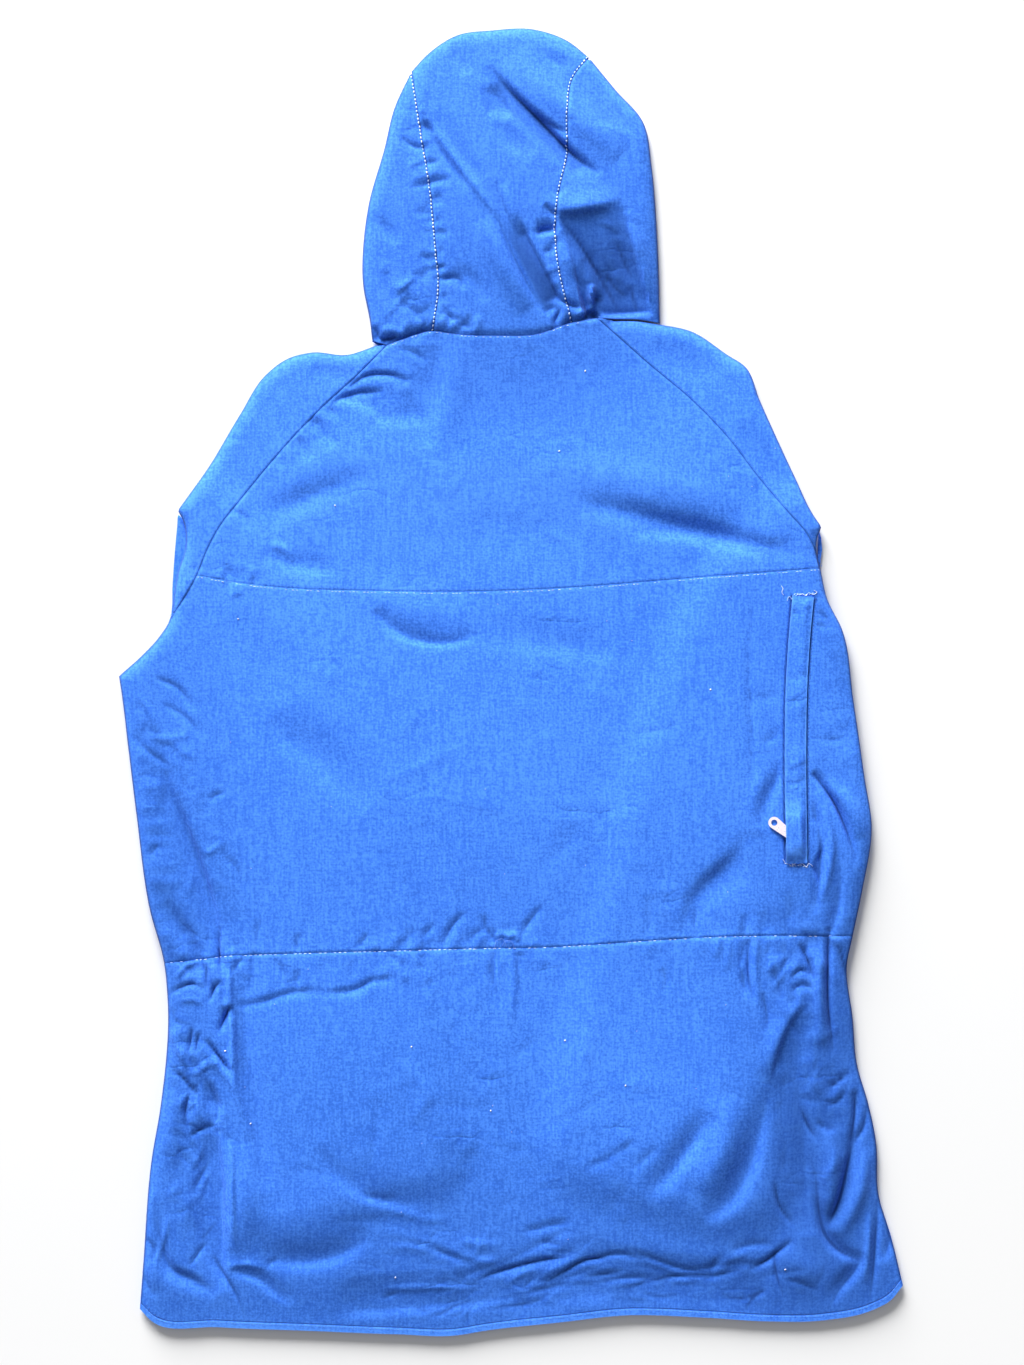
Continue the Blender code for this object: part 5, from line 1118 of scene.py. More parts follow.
@dataclass(frozen=True)
class Seam:
    """A sewn line, along which the cloth sinks in, its crest is worn paler and painted shade
    darkens its line.
    """

    line: Line
    depth: float
    width: float = 1.5
    shade: float = 0.9  # how dark the painted shade along its line is
    line_width: float = 0.7

    def distance(self, x: Array, y: Array) -> Array:
        """The distance of each point from the line, exact where it is near.

        Args:
            x: The points' first coordinates.
            y: Their second ones.

        Returns:
            The distances, and a large one where the seam doesn't reach.
        """
        far = np.full(x.shape, 1e3)
        low, high = self.line.points.min(axis=0), self.line.points.max(axis=0)
        pad = 4 * self.width + 6
        near = (x > low[0] - pad) & (x < high[0] + pad) & (y > low[1] - pad) & (y < high[1] + pad)
        if near.any():
            far[near] = Silhouette(self.line).distance(np.stack([x[near], y[near]], axis=1))
        return far


EDGE_FADE, EDGE_SHADE = 0.05, 0.9  # the pale line inside the silhouette, and its dark rim, painted shadow where the cloth turns under
SEAM_FADE = 0.08  # the pale crest beside a seam


def band(distance: Array, middle: float, width: float) -> Array:
    """A line of this width at a distance: exp(-((distance - middle) / width)^2)."""
    return np.exp(-(((distance - middle) / width) ** 2))


class Lay:
    """How the coat lies: the heights of its two layers, and their turn at the silhouette."""

    def __init__(self) -> None:
        """Draws the silhouettes and the sleeves that lie below."""
        hood = (HOOD_LEFT_EDGE, CROWN, HOOD_RIGHT_EDGE)
        self.body = Silhouette(*(Line.through(edge, 4) for edge in (LEFT_EDGE, RIGHT_EDGE)))
        self.hood = Silhouette(*(Line.through(edge, 4) for edge in hood))
        self.hem = Line.through(HEM, 6).points
        self.welt = Line.through(WELT_LINE, 8)
        self.sleeves = [
            self._outline(LEFT_SLEEVE_OUTER, LEFT_SLEEVE_FOLD, LEFT_SLEEVE_INNER[::-1]),
            self._outline(RIGHT_SLEEVE_INNER, RIGHT_SLEEVE_FOLD, RIGHT_SLEEVE_OUTER[::-1]),
        ]
        self.folds = HOOD_FOLDS + YOKE_FOLDS + MIDDLE_FOLDS + SKIRT_FOLDS
        for group in [*PUCKERS, *CRUMPLES]:
            self.folds += group.folds()

    @staticmethod
    def _outline(*tables: Sequence[Point]) -> Array:
        """The closed outline of a folded sleeve."""
        lines = [Line.through(table) for table in tables]
        lines.append(straight(lines[-1].points[-1], lines[0].points[0]))
        return lines[0].then(*lines[1:]).at(np.linspace(0, 1, OUTLINE_POINTS, endpoint=False))

    def under(self, x: Array, y: Array) -> Array:
        """The under layer: half a wall up, and a sleeve's height more where one lies below.

        Args:
            x: The points' first coordinates.
            y: Their second ones.

        Returns:
            The heights of the cloth's middle.
        """
        lift = np.zeros_like(x)
        for region in self.sleeves:
            far = outside(x, y, region)
            lift = np.maximum(lift, 1 - smoothstep((far - LIFT_KEEP) / LIFT_FADE))
        return CLOTH / 2 + SLEEVE_LIFT * lift

    def upper(self, x: Array, y: Array, under: Array) -> tuple[Array, Array]:
        """The upper layer: under layer + wall + gaps + ease, with mounds and folds, and its wear.

        The ease fades towards the hem, and a soft floor, log(1 + exp(ease)), keeps it above 0.
        Round the pocket the cloth is level.

        Args:
            x: The points' first coordinates.
            y: Their second ones.
            under: The heights of the under layer there.

        Returns:
            The heights of the cloth's middle, and its wear.
        """
        ease = BODY_EASE + sum(mound.at(x, y) for mound in MOUNDS)
        wear_and_painted_light = np.zeros_like(x)
        for fold in self.folds:
            self._add(fold, x, y, ease, wear_and_painted_light)
        above = y - np.interp(x, self.hem[:, 0], self.hem[:, 1])
        hem = smoothstep(0.15 + above / HEM_REACH)
        ease = HEM_EASE + (ease - HEM_EASE) * hem
        ease = np.logaddexp(0.0, ease / SOFT_FLOOR) * SOFT_FLOOR
        height = under + CLOTH + 2 * LAYER_GAP + ease
        strip = distance_to_line(x, y, self.welt)
        disc = np.hypot(x - SLIDER[0], y - SLIDER[1])
        loose = np.minimum(strip - POCKET_FLAT, disc - PULL_FLAT)
        beside = np.zeros_like(x)
        for fold in POCKET_FOLDS:
            self._add(fold, x, y, beside, wear_and_painted_light)
        beside *= smoothstep((np.minimum(strip, disc - PULL_CLEAR) - WELT_CLEAR) / CLEAR_FADE)
        loose = smoothstep(loose / POCKET_FADE)
        return POCKET_LEVEL + (height - POCKET_LEVEL) * loose + beside, wear_and_painted_light

    @staticmethod
    def _add(fold: "Fold | Crease | Facet", x: Array, y: Array, ease: Array, wear_and_painted_light: Array) -> None:
        """Adds a fold to the heights and the wear of the points near it.

        Args:
            fold: The fold.
            x: The points' first coordinates.
            y: Their second ones.
            ease: The heights, which are changed.
            wear_and_painted_light: The wear, which is changed.
        """
        left, right, low, high = fold.box
        near = (x > left) & (x < right) & (y > low) & (y < high)
        if near.any():
            rise, tone = fold.rise(x[near], y[near])
            ease[near] += rise
            wear_and_painted_light[near] += tone

    def height(
        self,
        x: Array,
        y: Array,
        silhouette: Silhouette,
        is_upper: bool,
        seams: Sequence[Seam] = (),
    ) -> tuple[Array, Array]:
        """The height of the cloth's middle at points in plan, and its wear.

        z goes from the turn's middle at the silhouette to the full height along a quarter of an
        ellipse: turn + (full - turn) * sqrt(1 - (1 - t)^2), t the distance over the turn's reach.
        A seam takes depth * exp(-(d/width)^2) off, d the distance to it. The tone is below 0 in
        the seam, painted shade, and above 0 on the worn crest beside it. The upper layer gets a
        painted shadow at its silhouette and patches of painted shade and light.

        Args:
            x: The points' first coordinates.
            y: Their second ones.
            silhouette: The silhouette that this piece turns at.
            is_upper: Whether the piece belongs to the upper layer.
            seams: The seams that it sinks in at.

        Returns:
            The heights, and for each point its wear, from -1 to 1, and how crumpled it is.
        """
        far = silhouette.distance(np.stack([x, y], axis=1))
        t = np.minimum(far / (UPPER_TURN if is_upper else UNDER_TURN), 1.0)
        share = np.sqrt(1 - (1 - t) ** 2)
        under = self.under(x, y)
        full, wear_and_painted_light = self.upper(x, y, under) if is_upper else (under, np.zeros_like(x))
        turn = under + TURN_HALF_HEIGHT
        z = turn + (full - turn) * share
        gap = SEAM_GAP / 2
        z = np.maximum(z, turn + gap) if is_upper else np.minimum(z, turn - gap)
        if is_upper:
            # a pale line inside the silhouette, and a painted shadow on its rim
            wear_and_painted_light += EDGE_FADE * band(far, 3.0, 1.5) - EDGE_SHADE * band(far, 0.0, 1.1)
        for seam in seams:
            d = seam.distance(x, y)
            z -= seam.depth * band(d, 0.0, seam.width) * share
            # a worn crest beside the seam, and painted shade along its line
            wear_and_painted_light += SEAM_FADE * band(d, 2.2, 1.0) - seam.shade * band(d, 0.0, seam.line_width)
        if is_upper:
            z = np.maximum(z, under + CLOTH + LAYER_GAP)
            # patches of painted shade and light, partly fading
            wear_and_painted_light += sum(painted_patch.at(x, y) for painted_patch in PAINTED_LIGHT_AND_FADING)
        rough = sum(crumple.strength(x, y) for crumple in CRUMPLES)
        return z, np.stack([wear_and_painted_light, np.clip(rough, 0, 1)], axis=1)

    def surface(
        self,
        plan: Array,
        silhouette: Silhouette,
        is_upper: bool,
        seams: Sequence[Seam] = (),
        flip: bool = False,
    ) -> "Surface":
        """A plan's grid raised on to a layer of the coat.

        Args:
            plan: The grid of plan points.
            silhouette: The silhouette that the piece turns at.
            is_upper: Whether it belongs to the upper layer.
            seams: The seams that it sinks in at.
            flip: Whether its columns run the other way round.

        Returns:
            The surface.
        """
        x, y = plan[..., 0].ravel(), plan[..., 1].ravel()
        z, wear_and_painted_light = self.height(x, y, silhouette, is_upper, seams)
        points = np.stack([x, y, z], axis=1).reshape(plan.shape[:2] + (3,))
        return Surface(points, flip, wear_and_painted_light=wear_and_painted_light.reshape(plan.shape[:2] + (2,)))


# ------------------------------------------------------------------ surfaces and meshes
def grid_normals(points: Array, flip: bool, ring: bool) -> Array:
    """Unit normals of a grid: the cross product of its two central differences.

    Args:
        points: The grid's points.
        flip: Whether the outer side is the other one.
        ring: Whether the last column meets the first.

    Returns:
        The normals.
    """
    if ring:
        points = np.concatenate([points[:, -1:], points, points[:, :1]], axis=1)
    normals = np.cross(np.gradient(points, axis=1), np.gradient(points, axis=0))
    if ring:
        normals = normals[:, 1:-1]
    normals /= np.maximum(np.linalg.norm(normals, axis=2, keepdims=True), 1e-12)
    return -normals if flip else normals


def grid_faces(rows: int, columns: int, start: int = 0, ring: bool = False) -> Array:
    """The quads of a grid whose points are numbered row by row.

    Args:
        rows: The number of rows.
        columns: The number of columns.
        start: The number of the first point.
        ring: Whether the last column meets the first.

    Returns:
        An array of (count, 4).
    """
    wide = columns if ring else columns - 1
    r, c = np.meshgrid(np.arange(rows - 1), np.arange(wide), indexing="ij")
    d = (c + 1) % columns
    quads = [r * columns + c, r * columns + d, (r + 1) * columns + d, (r + 1) * columns + c]
    return np.stack([q.ravel() for q in quads], axis=1) + start


@dataclass
class Surface:
    """A grid of points in space and the side that faces out of the coat."""

    points: Array
    flip: bool = False
    ring: bool = False
    wear_and_painted_light: Array | None = None  # from -1, dark with painted shade in seams, creases and hollows, to 1, pale with fading and painted highlight; and how crumpled, 0 to 1
    normals: Array | None = None

    def __post_init__(self) -> None:
        """Works out what wasn't given."""
        if self.wear_and_painted_light is None:
            self.wear_and_painted_light = np.zeros(self.points.shape[:2] + (2,))
        if self.normals is None:
            self.normals = grid_normals(self.points, self.flip, self.ring)

    def wall(
        self, name: str, outer: Array | float = OUTER, inner: float = INNER
    ) -> bpy.types.Object:
        """A closed wall: the points moved along the normals to each face, and a rim between.

        Args:
            name: The piece's name.
            outer: How far the outer face lies from the points, one value or one for each point.
            inner: The same for the inner face.

        Returns:
            The piece.
        """
        rows, columns = self.points.shape[:2]
        count = rows * columns
        outer = np.broadcast_to(np.asarray(outer, float), (rows, columns))[..., None]
        faces = [grid_faces(rows, columns, 0, self.ring)]
        faces.append(grid_faces(rows, columns, count, self.ring)[:, ::-1])
        index = np.arange(count).reshape(rows, columns)
        rims = [index[0], index[-1][::-1]]
        if self.ring:
            rims = [np.append(rim, rim[0]) for rim in rims]
        else:
            rims += [index[::-1, 0], index[:, -1]]
        for rim in rims:
            a, b = rim[:-1], rim[1:]
            faces.append(np.stack([b, a, a + count, b + count], axis=1))
        quads = np.concatenate(faces)
        if self.flip:
            quads = quads[:, ::-1]
        both = np.concatenate([
            (self.points + self.normals * outer).reshape(-1, 3),
            (self.points + self.normals * inner).reshape(-1, 3),
        ])
        return make_mesh(name, both, quads, np.tile(self.wear_and_painted_light.reshape(-1, 2), (2, 1)))


def joined(first: Surface, second: Surface, axis: int) -> Surface:
    """Two surfaces, end to end (axis 0) or side by side (1), with one line of points shared.

    Args:
        first: The surface whose last line is kept.
        second: The surface whose first line lies on it.
        axis: The axis along which they follow each other.

    Returns:
        One surface.
    """
    count = second.points.shape[axis]
    points, wear_and_painted_light = (
        np.concatenate([a, b.take(range(1, count), axis)], axis)
        for a, b in ((first.points, second.points), (first.wear_and_painted_light, second.wear_and_painted_light))
    )
    return Surface(points, first.flip, wear_and_painted_light=wear_and_painted_light)


def make_mesh(
    name: str, points: Array, faces: Array, wear_and_painted_light: Array | None = None
) -> bpy.types.Object:
    """An object from points in millimetres and equal-sized faces.

    Args:
        name: The piece's name.
        points: An array of (count, 3).
        faces: An array of (count, corners).
        wear_and_painted_light: The wear and the crumpling of each point, which go into the "worn" attribute.

    Returns:
        The new object, linked to the scene.
    """
    mesh = bpy.data.meshes.new(name)
    corners = faces.shape[1]
    mesh.vertices.add(len(points))
    mesh.vertices.foreach_set("co", (points * MM).astype(np.float32).ravel())
    mesh.loops.add(faces.size)
    mesh.loops.foreach_set("vertex_index", faces.astype(np.int32).ravel())
    mesh.polygons.add(len(faces))
    mesh.polygons.foreach_set("loop_start", np.arange(0, faces.size, corners, dtype=np.int32))
    mesh.update(calc_edges=True)
    mesh.validate()
    mesh.shade_smooth()
    mesh.set_sharp_from_angle(angle=math.radians(60))
    if wear_and_painted_light is not None:
        # the worn attribute carries fading together with painted shade and highlight
        worn = np.concatenate([wear_and_painted_light, np.zeros((len(wear_and_painted_light), 1))], axis=1)
        mesh.attributes.new("worn", "FLOAT_VECTOR", "POINT").data.foreach_set(
            "vector", worn.astype(np.float32).ravel()
        )
    obj = bpy.data.objects.new(name, mesh)
    bpy.context.scene.collection.objects.link(obj)
    return obj


def finish_piece(
    obj: bpy.types.Object, material: bpy.types.Material, replaced: Sequence[str] = (),
    body: str = GARMENT,
) -> bpy.types.Object:
    """Gives a piece its material, its body and the nodes that it stands for.

    Args:
        obj: The piece.
        material: Its material.
        replaced: The nodes that it stands for.
        body: Its body.

    Returns:
        The piece.
    """
    obj.data.materials.clear()
    obj.data.materials.append(material)
    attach(obj, body)
    if replaced:
        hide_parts(*replaced)
    LOG.info("%s: %d faces", obj.name, len(obj.data.polygons))
    return obj


# ------------------------------------------------------------------ small repeated shapes
CAPSULE_SHOULDER = 0.72  # where its poles begin, as a share of its half length
CAPSULE_SIDES = 5


def capsule() -> tuple[Array, Array]:
    """A capsule along x from -1 to 1: two poles and two rings between, as points and triangles."""
    angles = np.linspace(0, 2 * math.pi, CAPSULE_SIDES, endpoint=False)
    ring = np.stack([np.zeros_like(angles), np.cos(angles), np.sin(angles)], axis=1)
    pole, shoulder = np.array([[1.0, 0.0, 0.0]]), np.array([CAPSULE_SHOULDER, 0.0, 0.0])
    points = np.concatenate([-pole, ring - shoulder, ring + shoulder, pole])
    low = 1 + np.arange(CAPSULE_SIDES)
    low_next = 1 + low % CAPSULE_SIDES
    high, high_next = low + CAPSULE_SIDES, low_next + CAPSULE_SIDES
    first, last = np.zeros_like(low), np.full_like(low, 2 * CAPSULE_SIDES + 1)
    corners = (
        (first, low_next, low), (low, low_next, high), (low_next, high_next, high),
        (last, high, high_next),
    )
    return points, np.concatenate([np.stack(each, axis=1) for each in corners])


def block() -> tuple[Array, Array]:
    """A block from -1 to 1 each way, as points and triangles."""
    points = np.array([[x, y, z] for x in (-1, 1) for y in (-1, 1) for z in (-1, 1)], float)
    quads = np.array([
        [0, 1, 3, 2], [4, 6, 7, 5], [0, 4, 5, 1], [2, 3, 7, 6], [0, 2, 6, 4], [1, 5, 7, 3],
    ])
    return points, np.concatenate([quads[:, [0, 1, 2]], quads[:, [0, 2, 3]]])


def repeated(
    shape: tuple[Array, Array], centres: Array, along: Array, up: Array, sizes: Array
) -> tuple[Array, Array]:
    """Copies of a small shape: centre + along * x + across * y + up * z for each of its points.

    Args:
        shape: The points and triangles.
        centres: Where each copy goes, (count, 3).
        along: The unit direction of each copy's x, (count, 3).
        up: The unit direction of its z, (count, 3).
        sizes: The half sizes of each copy, (count, 3).

    Returns:
        The points and the triangles of all copies.
    """
    points, faces = shape
    side = np.cross(up, along)
    local = points[None] * sizes[:, None]
    placed = (
        centres[:, None]
        + local[..., 0:1] * along[:, None]
        + local[..., 1:2] * side[:, None]
        + local[..., 2:3] * up[:, None]
    )
    shift = np.arange(len(centres))[:, None, None] * len(points)
    return placed.reshape(-1, 3), (faces[None] + shift).reshape(-1, 3)


def tube(path: Array, radius: float, sides: int = 6) -> tuple[Array, Array]:
    """A thread: a ring of points carried along a path, closed to a point at each end.

    Args:
        path: The points of its middle, (count, 3).
        radius: Half its thickness.
        sides: The points of a ring.

    Returns:
        The points and the triangles.
    """
    along = np.gradient(path, axis=0)
    along = unit(along)
    side = np.cross(along, [0.13, 0.21, 1.0])
    side = unit(side)
    up = np.cross(side, along)
    turn = np.linspace(0, 2 * math.pi, sides, endpoint=False)
    rings = path[:, None] + radius * (
        np.cos(turn)[None, :, None] * side[:, None] + np.sin(turn)[None, :, None] * up[:, None]
    )
    count = len(path)
    points = np.concatenate([rings.reshape(-1, 3), path[:1], path[-1:]])
    quads = grid_faces(count, sides, ring=True)
    i = np.arange(sides)
    j = (i + 1) % sides
    first, last = np.full(sides, count * sides), np.full(sides, count * sides + 1)
    top = (count - 1) * sides
    faces = [
        quads[:, [0, 1, 2]], quads[:, [0, 2, 3]],
        np.stack([first, j, i], axis=1), np.stack([last, top + i, top + j], axis=1),
    ]
    return points, np.concatenate(faces)


def gathered(parts: Iterable[tuple[Array, Array]]) -> tuple[Array, Array]:
    """Several sets of points and triangles as one.

    Args:
        parts: The points and the faces of each.

    Returns:
        The points and the faces of all.
    """
    points, faces, count = [], [], 0
    for p, f in parts:
        points.append(p)
        faces.append(f + count)
        count += len(p)
    return np.concatenate(points), np.concatenate(faces)


# ------------------------------------------------------------------ shader graphs
Value = Any  # a Shade, a number, or a tuple for a colour or a vector
Colour = tuple[float, float, float]


class Shade:
    """A socket of a shader graph. Its operators add Math nodes, so it is a number in a formula."""

    def __init__(self, graph: "Graph", socket: bpy.types.NodeSocket) -> None:
        """Keeps the socket and the graph that it is in."""
        self.graph = graph
        self.socket = socket

    def _math(self, operation: str, *values: Value) -> "Shade":
        """A Math node on these values."""
        return self.graph.node("ShaderNodeMath", {"operation": operation}, dict(enumerate(values)))

    def __add__(self, other: Value) -> "Shade":
        """self + other."""
        return self._math("ADD", self, other)

    def __radd__(self, other: Value) -> "Shade":
        """other + self."""
        return self._math("ADD", other, self)

    def __sub__(self, other: Value) -> "Shade":
        """self - other."""
        return self._math("SUBTRACT", self, other)

    def __rsub__(self, other: Value) -> "Shade":
        """other - self."""
        return self._math("SUBTRACT", other, self)

    def __mul__(self, other: Value) -> "Shade":
        """self * other."""
        return self._math("MULTIPLY", self, other)

    def __rmul__(self, other: Value) -> "Shade":
        """other * self."""
        return self._math("MULTIPLY", other, self)

    def sine(self) -> "Shade":
        """The sine of self, in radians."""
        return self._math("SINE", self)

    def above(self, low: float, high: float) -> "Shade":
        """0 up to low, 1 from high on, and straight between.

        Args:
            low: Where it leaves 0.
            high: Where it reaches 1.

        Returns:
            The share.
        """
        return self.graph.node(
            "ShaderNodeMapRange", {"clamp": True},
            {"Value": self, "From Min": low, "From Max": high},
        )


class Graph:
    """The shader graph of a new material."""

    def __init__(self, name: str) -> None:
        """Makes the material, with its Principled shader."""
        self.material = bpy.data.materials.new(name)
        self.material.use_nodes = True
        self.tree = self.material.node_tree
        self.shader = self.tree.nodes["Principled BSDF"]

    def node(
        self,
        kind: str,
        settings: dict[str, Any] | None = None,
        values: dict[Any, Value] | None = None,
        output: int | str = 0,
    ) -> Shade:
        """Adds a node.

        Args:
            kind: The node's type.
            settings: Its own settings, which are set first.
            values: The value or the link of each of its sockets, by name or number.
            output: The socket that the result stands for.

        Returns:
            The output socket.
        """
        node = self.tree.nodes.new(kind)
        for name, value in (settings or {}).items():
            setattr(node, name, value)
        for name, value in (values or {}).items():
            self.feed(node.inputs[name], value)
        return Shade(self, node.outputs[output])

    def feed(self, socket: bpy.types.NodeSocket, value: Value) -> None:
        """Links a Shade to the socket, or sets its number, colour or vector.

        Args:
            socket: The socket.
            value: What goes into it.
        """
        if isinstance(value, Shade):
            self.tree.links.new(value.socket, socket)
        elif isinstance(value, tuple) and socket.type == "RGBA":
            socket.default_value = (*value, 1.0)
        else:
            socket.default_value = value

    def dress(self, **values: Value) -> None:
        """Sets or links sockets of the shader, with _ for each space of their names."""
        for name, value in values.items():
            self.feed(self.shader.inputs[name.replace("_", " ")], value)

    def place(self) -> Shade:
        """The point of the surface, in metres."""
        return self.node("ShaderNodeTexCoord", output="Object")

    def parts(self, vector: Shade) -> tuple[Shade, Shade, Shade]:
        """The three numbers of a vector."""
        node = self.node("ShaderNodeSeparateXYZ", {}, {0: vector}).socket.node
        return tuple(Shade(self, output) for output in node.outputs)

    def noise(
        self, vector: Shade, scale: tuple[float, float, float], detail: float = 2.0,
        shift: float = 0.0, kind: str = "FBM",
    ) -> Shade:
        """Noise about 0, with so many waves a metre each way.

        Args:
            vector: The point that it is taken at.
            scale: Waves a metre.
            detail: How many finer layers it has.
            shift: What sets it apart from noise of the same scale.
            kind: The kind of noise.

        Returns:
            From -0.5 to 0.5.
        """
        moved = self.node(
            "ShaderNodeMapping", {"vector_type": "POINT"},
            {"Vector": vector, "Scale": scale, "Location": (shift, shift, shift)},
        )
        return self.node(
            "ShaderNodeTexNoise", {"noise_type": kind},
            {"Vector": moved, "Scale": 1.0, "Detail": detail},
        ) - 0.5

    def valleys(self, vector: Shade, scale: tuple[float, float, float], shift: float) -> Shade:
        """The distance to the borders of uneven cells, so many a metre, whose borders bend.

        Args:
            vector: The point that it is taken at.
            scale: Cells a metre.
            shift: What sets it apart from others.

        Returns:
            The distance, 0 on a border.
        """
        bend = self.node(
            "ShaderNodeTexNoise", {}, {"Vector": vector, "Scale": 38.0, "Detail": 3.0}, "Color"
        )
        bent = self.node(
            "ShaderNodeVectorMath", {"operation": "MULTIPLY_ADD"},
            {0: bend, 1: (0.016, 0.016, 0.0), 2: vector},
        )
        moved = self.node(
            "ShaderNodeMapping", {"vector_type": "POINT"},
            {"Vector": bent, "Scale": scale, "Location": (shift, shift, shift)},
        )
        return self.node(
            "ShaderNodeTexVoronoi", {"voronoi_dimensions": "2D", "feature": "DISTANCE_TO_EDGE"},
            {"Vector": moved, "Scale": 1.0},
        )

    def mixed(self, share: Value, first: Value, second: Value) -> Shade:
        """A colour from first, at 0, to second, at 1.

        Args:
            share: How much of the second.
            first: A colour.
            second: Another.

        Returns:
            The mixed colour.
        """
        return self.node(
            "ShaderNodeMix", {"data_type": "RGBA"}, {0: share, 6: first, 7: second}, 2
        )

    def bump(self, height: Shade, distance: float, strength: float = 1.0) -> Shade:
        """A normal for a relief whose height of 1 stands for the distance in metres.

        Args:
            height: The relief.
            distance: The height that 1 stands for.
            strength: How much of it shows.

        Returns:
            The normal.
        """
        return self.node(
            "ShaderNodeBump", {}, {"Height": height, "Distance": distance, "Strength": strength}
        )


@dataclass(frozen=True)
class ClothFinish:
    """Plain-woven cotton that has been washed and worn, with slubs, and crests that are paler from
    fading and painted highlight.
    """

    name: str
    deep: Colour
    lit: Colour
    faded: Colour
    roughness: float = 0.82
    sheen: float = 0.07
    weave: float = 0.00055  # the pitch of its threads, in metres
    relief: float = 0.0006  # the height of its relief, in metres
    crease_painted_shade: float = 0.16  # how dark the painted shade along the small creases is
    painted_shade_share: float = 0.35  # how dark painted shade in seams, creases and hollows gets, as a share of the deep colour; the less faded patches go the same way

    def make(self) -> bpy.types.Material:
        """The material.

        Its tone is a sum of broad fading, mottling, upright and level slubs and specks, and the
        worn attribute of the piece, which holds fading with painted shade and highlight. Its relief
        is the weave, sin(x) * sin(y), with slubs and soft crumples. Small creases run along the
        borders of uneven cells, most of them where it is rough, and painted shade darkens them.
        """
        graph = Graph(self.name)
        place = graph.place()
        broad = graph.noise(place, (4.0, 6.0, 5.0), 3.0)
        mottle = graph.noise(place, (45.0, 38.0, 45.0), 4.0, 0.3)
        upright = graph.noise(place, (560.0, 48.0, 300.0), 3.0, 1.7)
        level = graph.noise(place, (60.0, 620.0, 300.0), 2.0, 4.1)
        speck = graph.noise(place, (480.0, 480.0, 480.0), 3.0, 2.9)
        # the worn attribute: fading with painted shade and highlight, and how crumpled the cloth is
        worn = graph.node("ShaderNodeAttribute", {"attribute_name": "worn"}, output="Vector")
        wear_and_painted_light, rough, _ = graph.parts(worn)
        tone = 0.5 + broad * 0.6 + mottle * 0.35 + upright * 1.6 + level * 0.9 + speck * 3.0
        cells = graph.valleys(place, (20.0, 44.0, 0.0), 3.3)
        small = graph.valleys(place, (64.0, 30.0, 0.0), 8.1)
        where = graph.noise(place, (16.0, 20.0, 16.0), 2.0, 6.1)
        where = (where + rough * 0.34 - 0.13).above(0.0, 0.20)
        # the small creases, darkened by painted shade
        line = (1.0 - cells.above(0.0, 0.08)) + (1.0 - small.above(0.0, 0.12)) * 0.6
        tone = tone - line * where * self.crease_painted_shade
        colour = graph.mixed(tone, self.deep, self.lit)
        # paler towards fading and painted highlight, and darker towards painted shade
        colour = graph.mixed(wear_and_painted_light.above(0.0, 1.0), colour, self.faded)
        dark = tuple(self.painted_shade_share * part for part in self.deep)
        colour = graph.mixed((0.0 - wear_and_painted_light).above(0.0, 1.0), colour, dark)
        x, y, _ = graph.parts(place)
        turn = 2 * math.pi / self.weave
        threads = (x * turn).sine() * (y * turn).sine()
        crumple = graph.noise(place, (70.0, 60.0, 70.0), 5.0, 5.3)
        crinkle = graph.noise(place, (34.0, 42.0, 34.0), 2.0, 7.7, "RIDGED_MULTIFRACTAL")
        relief = threads * 0.05 + upright * 0.14 + level * 0.10 + speck * 0.16 + crumple * 0.8
        relief = relief + crinkle * (rough * 0.5 + 0.08)
        relief = relief + where * (cells * 2.6 + small * 1.8 - line * 0.3)
        graph.dress(
            Base_Color=colour,
            Roughness=self.roughness + mottle * 0.25,
            Sheen_Weight=self.sheen,
            Sheen_Roughness=0.45,
            Specular_IOR_Level=0.15,
            Normal=graph.bump(relief, self.relief),
        )
        return graph.material


@dataclass(frozen=True)
class ThreadFinish:
    """Sewing thread in a deep and a lit tone, mixed by noise: the lit tone is painted highlight."""

    name: str
    deep: Colour
    lit: Colour

    def make(self) -> bpy.types.Material:
        """The material: a deep and a lit tone in noise, painted highlight, and a fine twist as
        relief.
        """
        graph = Graph(self.name)
        place = graph.place()
        tone = 0.5 + graph.noise(place, (160.0, 160.0, 160.0), 2.0) * 2.2
        twist = graph.noise(place, (2500.0, 2500.0, 2500.0), 1.0)
        graph.dress(
            Base_Color=graph.mixed(tone, self.deep, self.lit),
            Roughness=0.7 + twist * 0.2,
            Normal=graph.bump(twist, 0.0001),
        )
        return graph.material


@dataclass(frozen=True)
class MetalFinish:
    """Plated metal, brushed and a little worn."""

    name: str
    clean: Colour
    dull: Colour
    roughness: float = 0.3

    def make(self) -> bpy.types.Material:
        """The material: dull patches, with fine scratches as relief and in the roughness."""
        graph = Graph(self.name)
        place = graph.place()
        patch = graph.noise(place, (300.0, 300.0, 300.0), 3.0)
        scratch = graph.noise(place, (900.0, 5000.0, 900.0), 2.0)
        graph.dress(
            Base_Color=graph.mixed((patch * 2.0 + 0.4).above(0.0, 1.0), self.clean, self.dull),
            Metallic=0.35,
            Roughness=self.roughness + patch * 0.25 + scratch * 0.15,
            Normal=graph.bump(scratch, 0.00004),
        )
        return graph.material


@dataclass(frozen=True)
class FloorFinish:
    """A pale matt surface."""

    name: str
    colour: Colour
    dimmer: float = 0.99  # the darker tone of its mottle

    def make(self) -> bpy.types.Material:
        """The material: one colour with a faint mottle."""
        graph = Graph(self.name)
        mottle = graph.noise(graph.place(), (3.0, 3.0, 3.0), 2.0)
        dim = tuple(self.dimmer * part for part in self.colour)
        graph.dress(
            Base_Color=graph.mixed(mottle + 0.5, self.colour, dim),
            Roughness=0.95,
            Specular_IOR_Level=0.0,
        )
        return graph.material


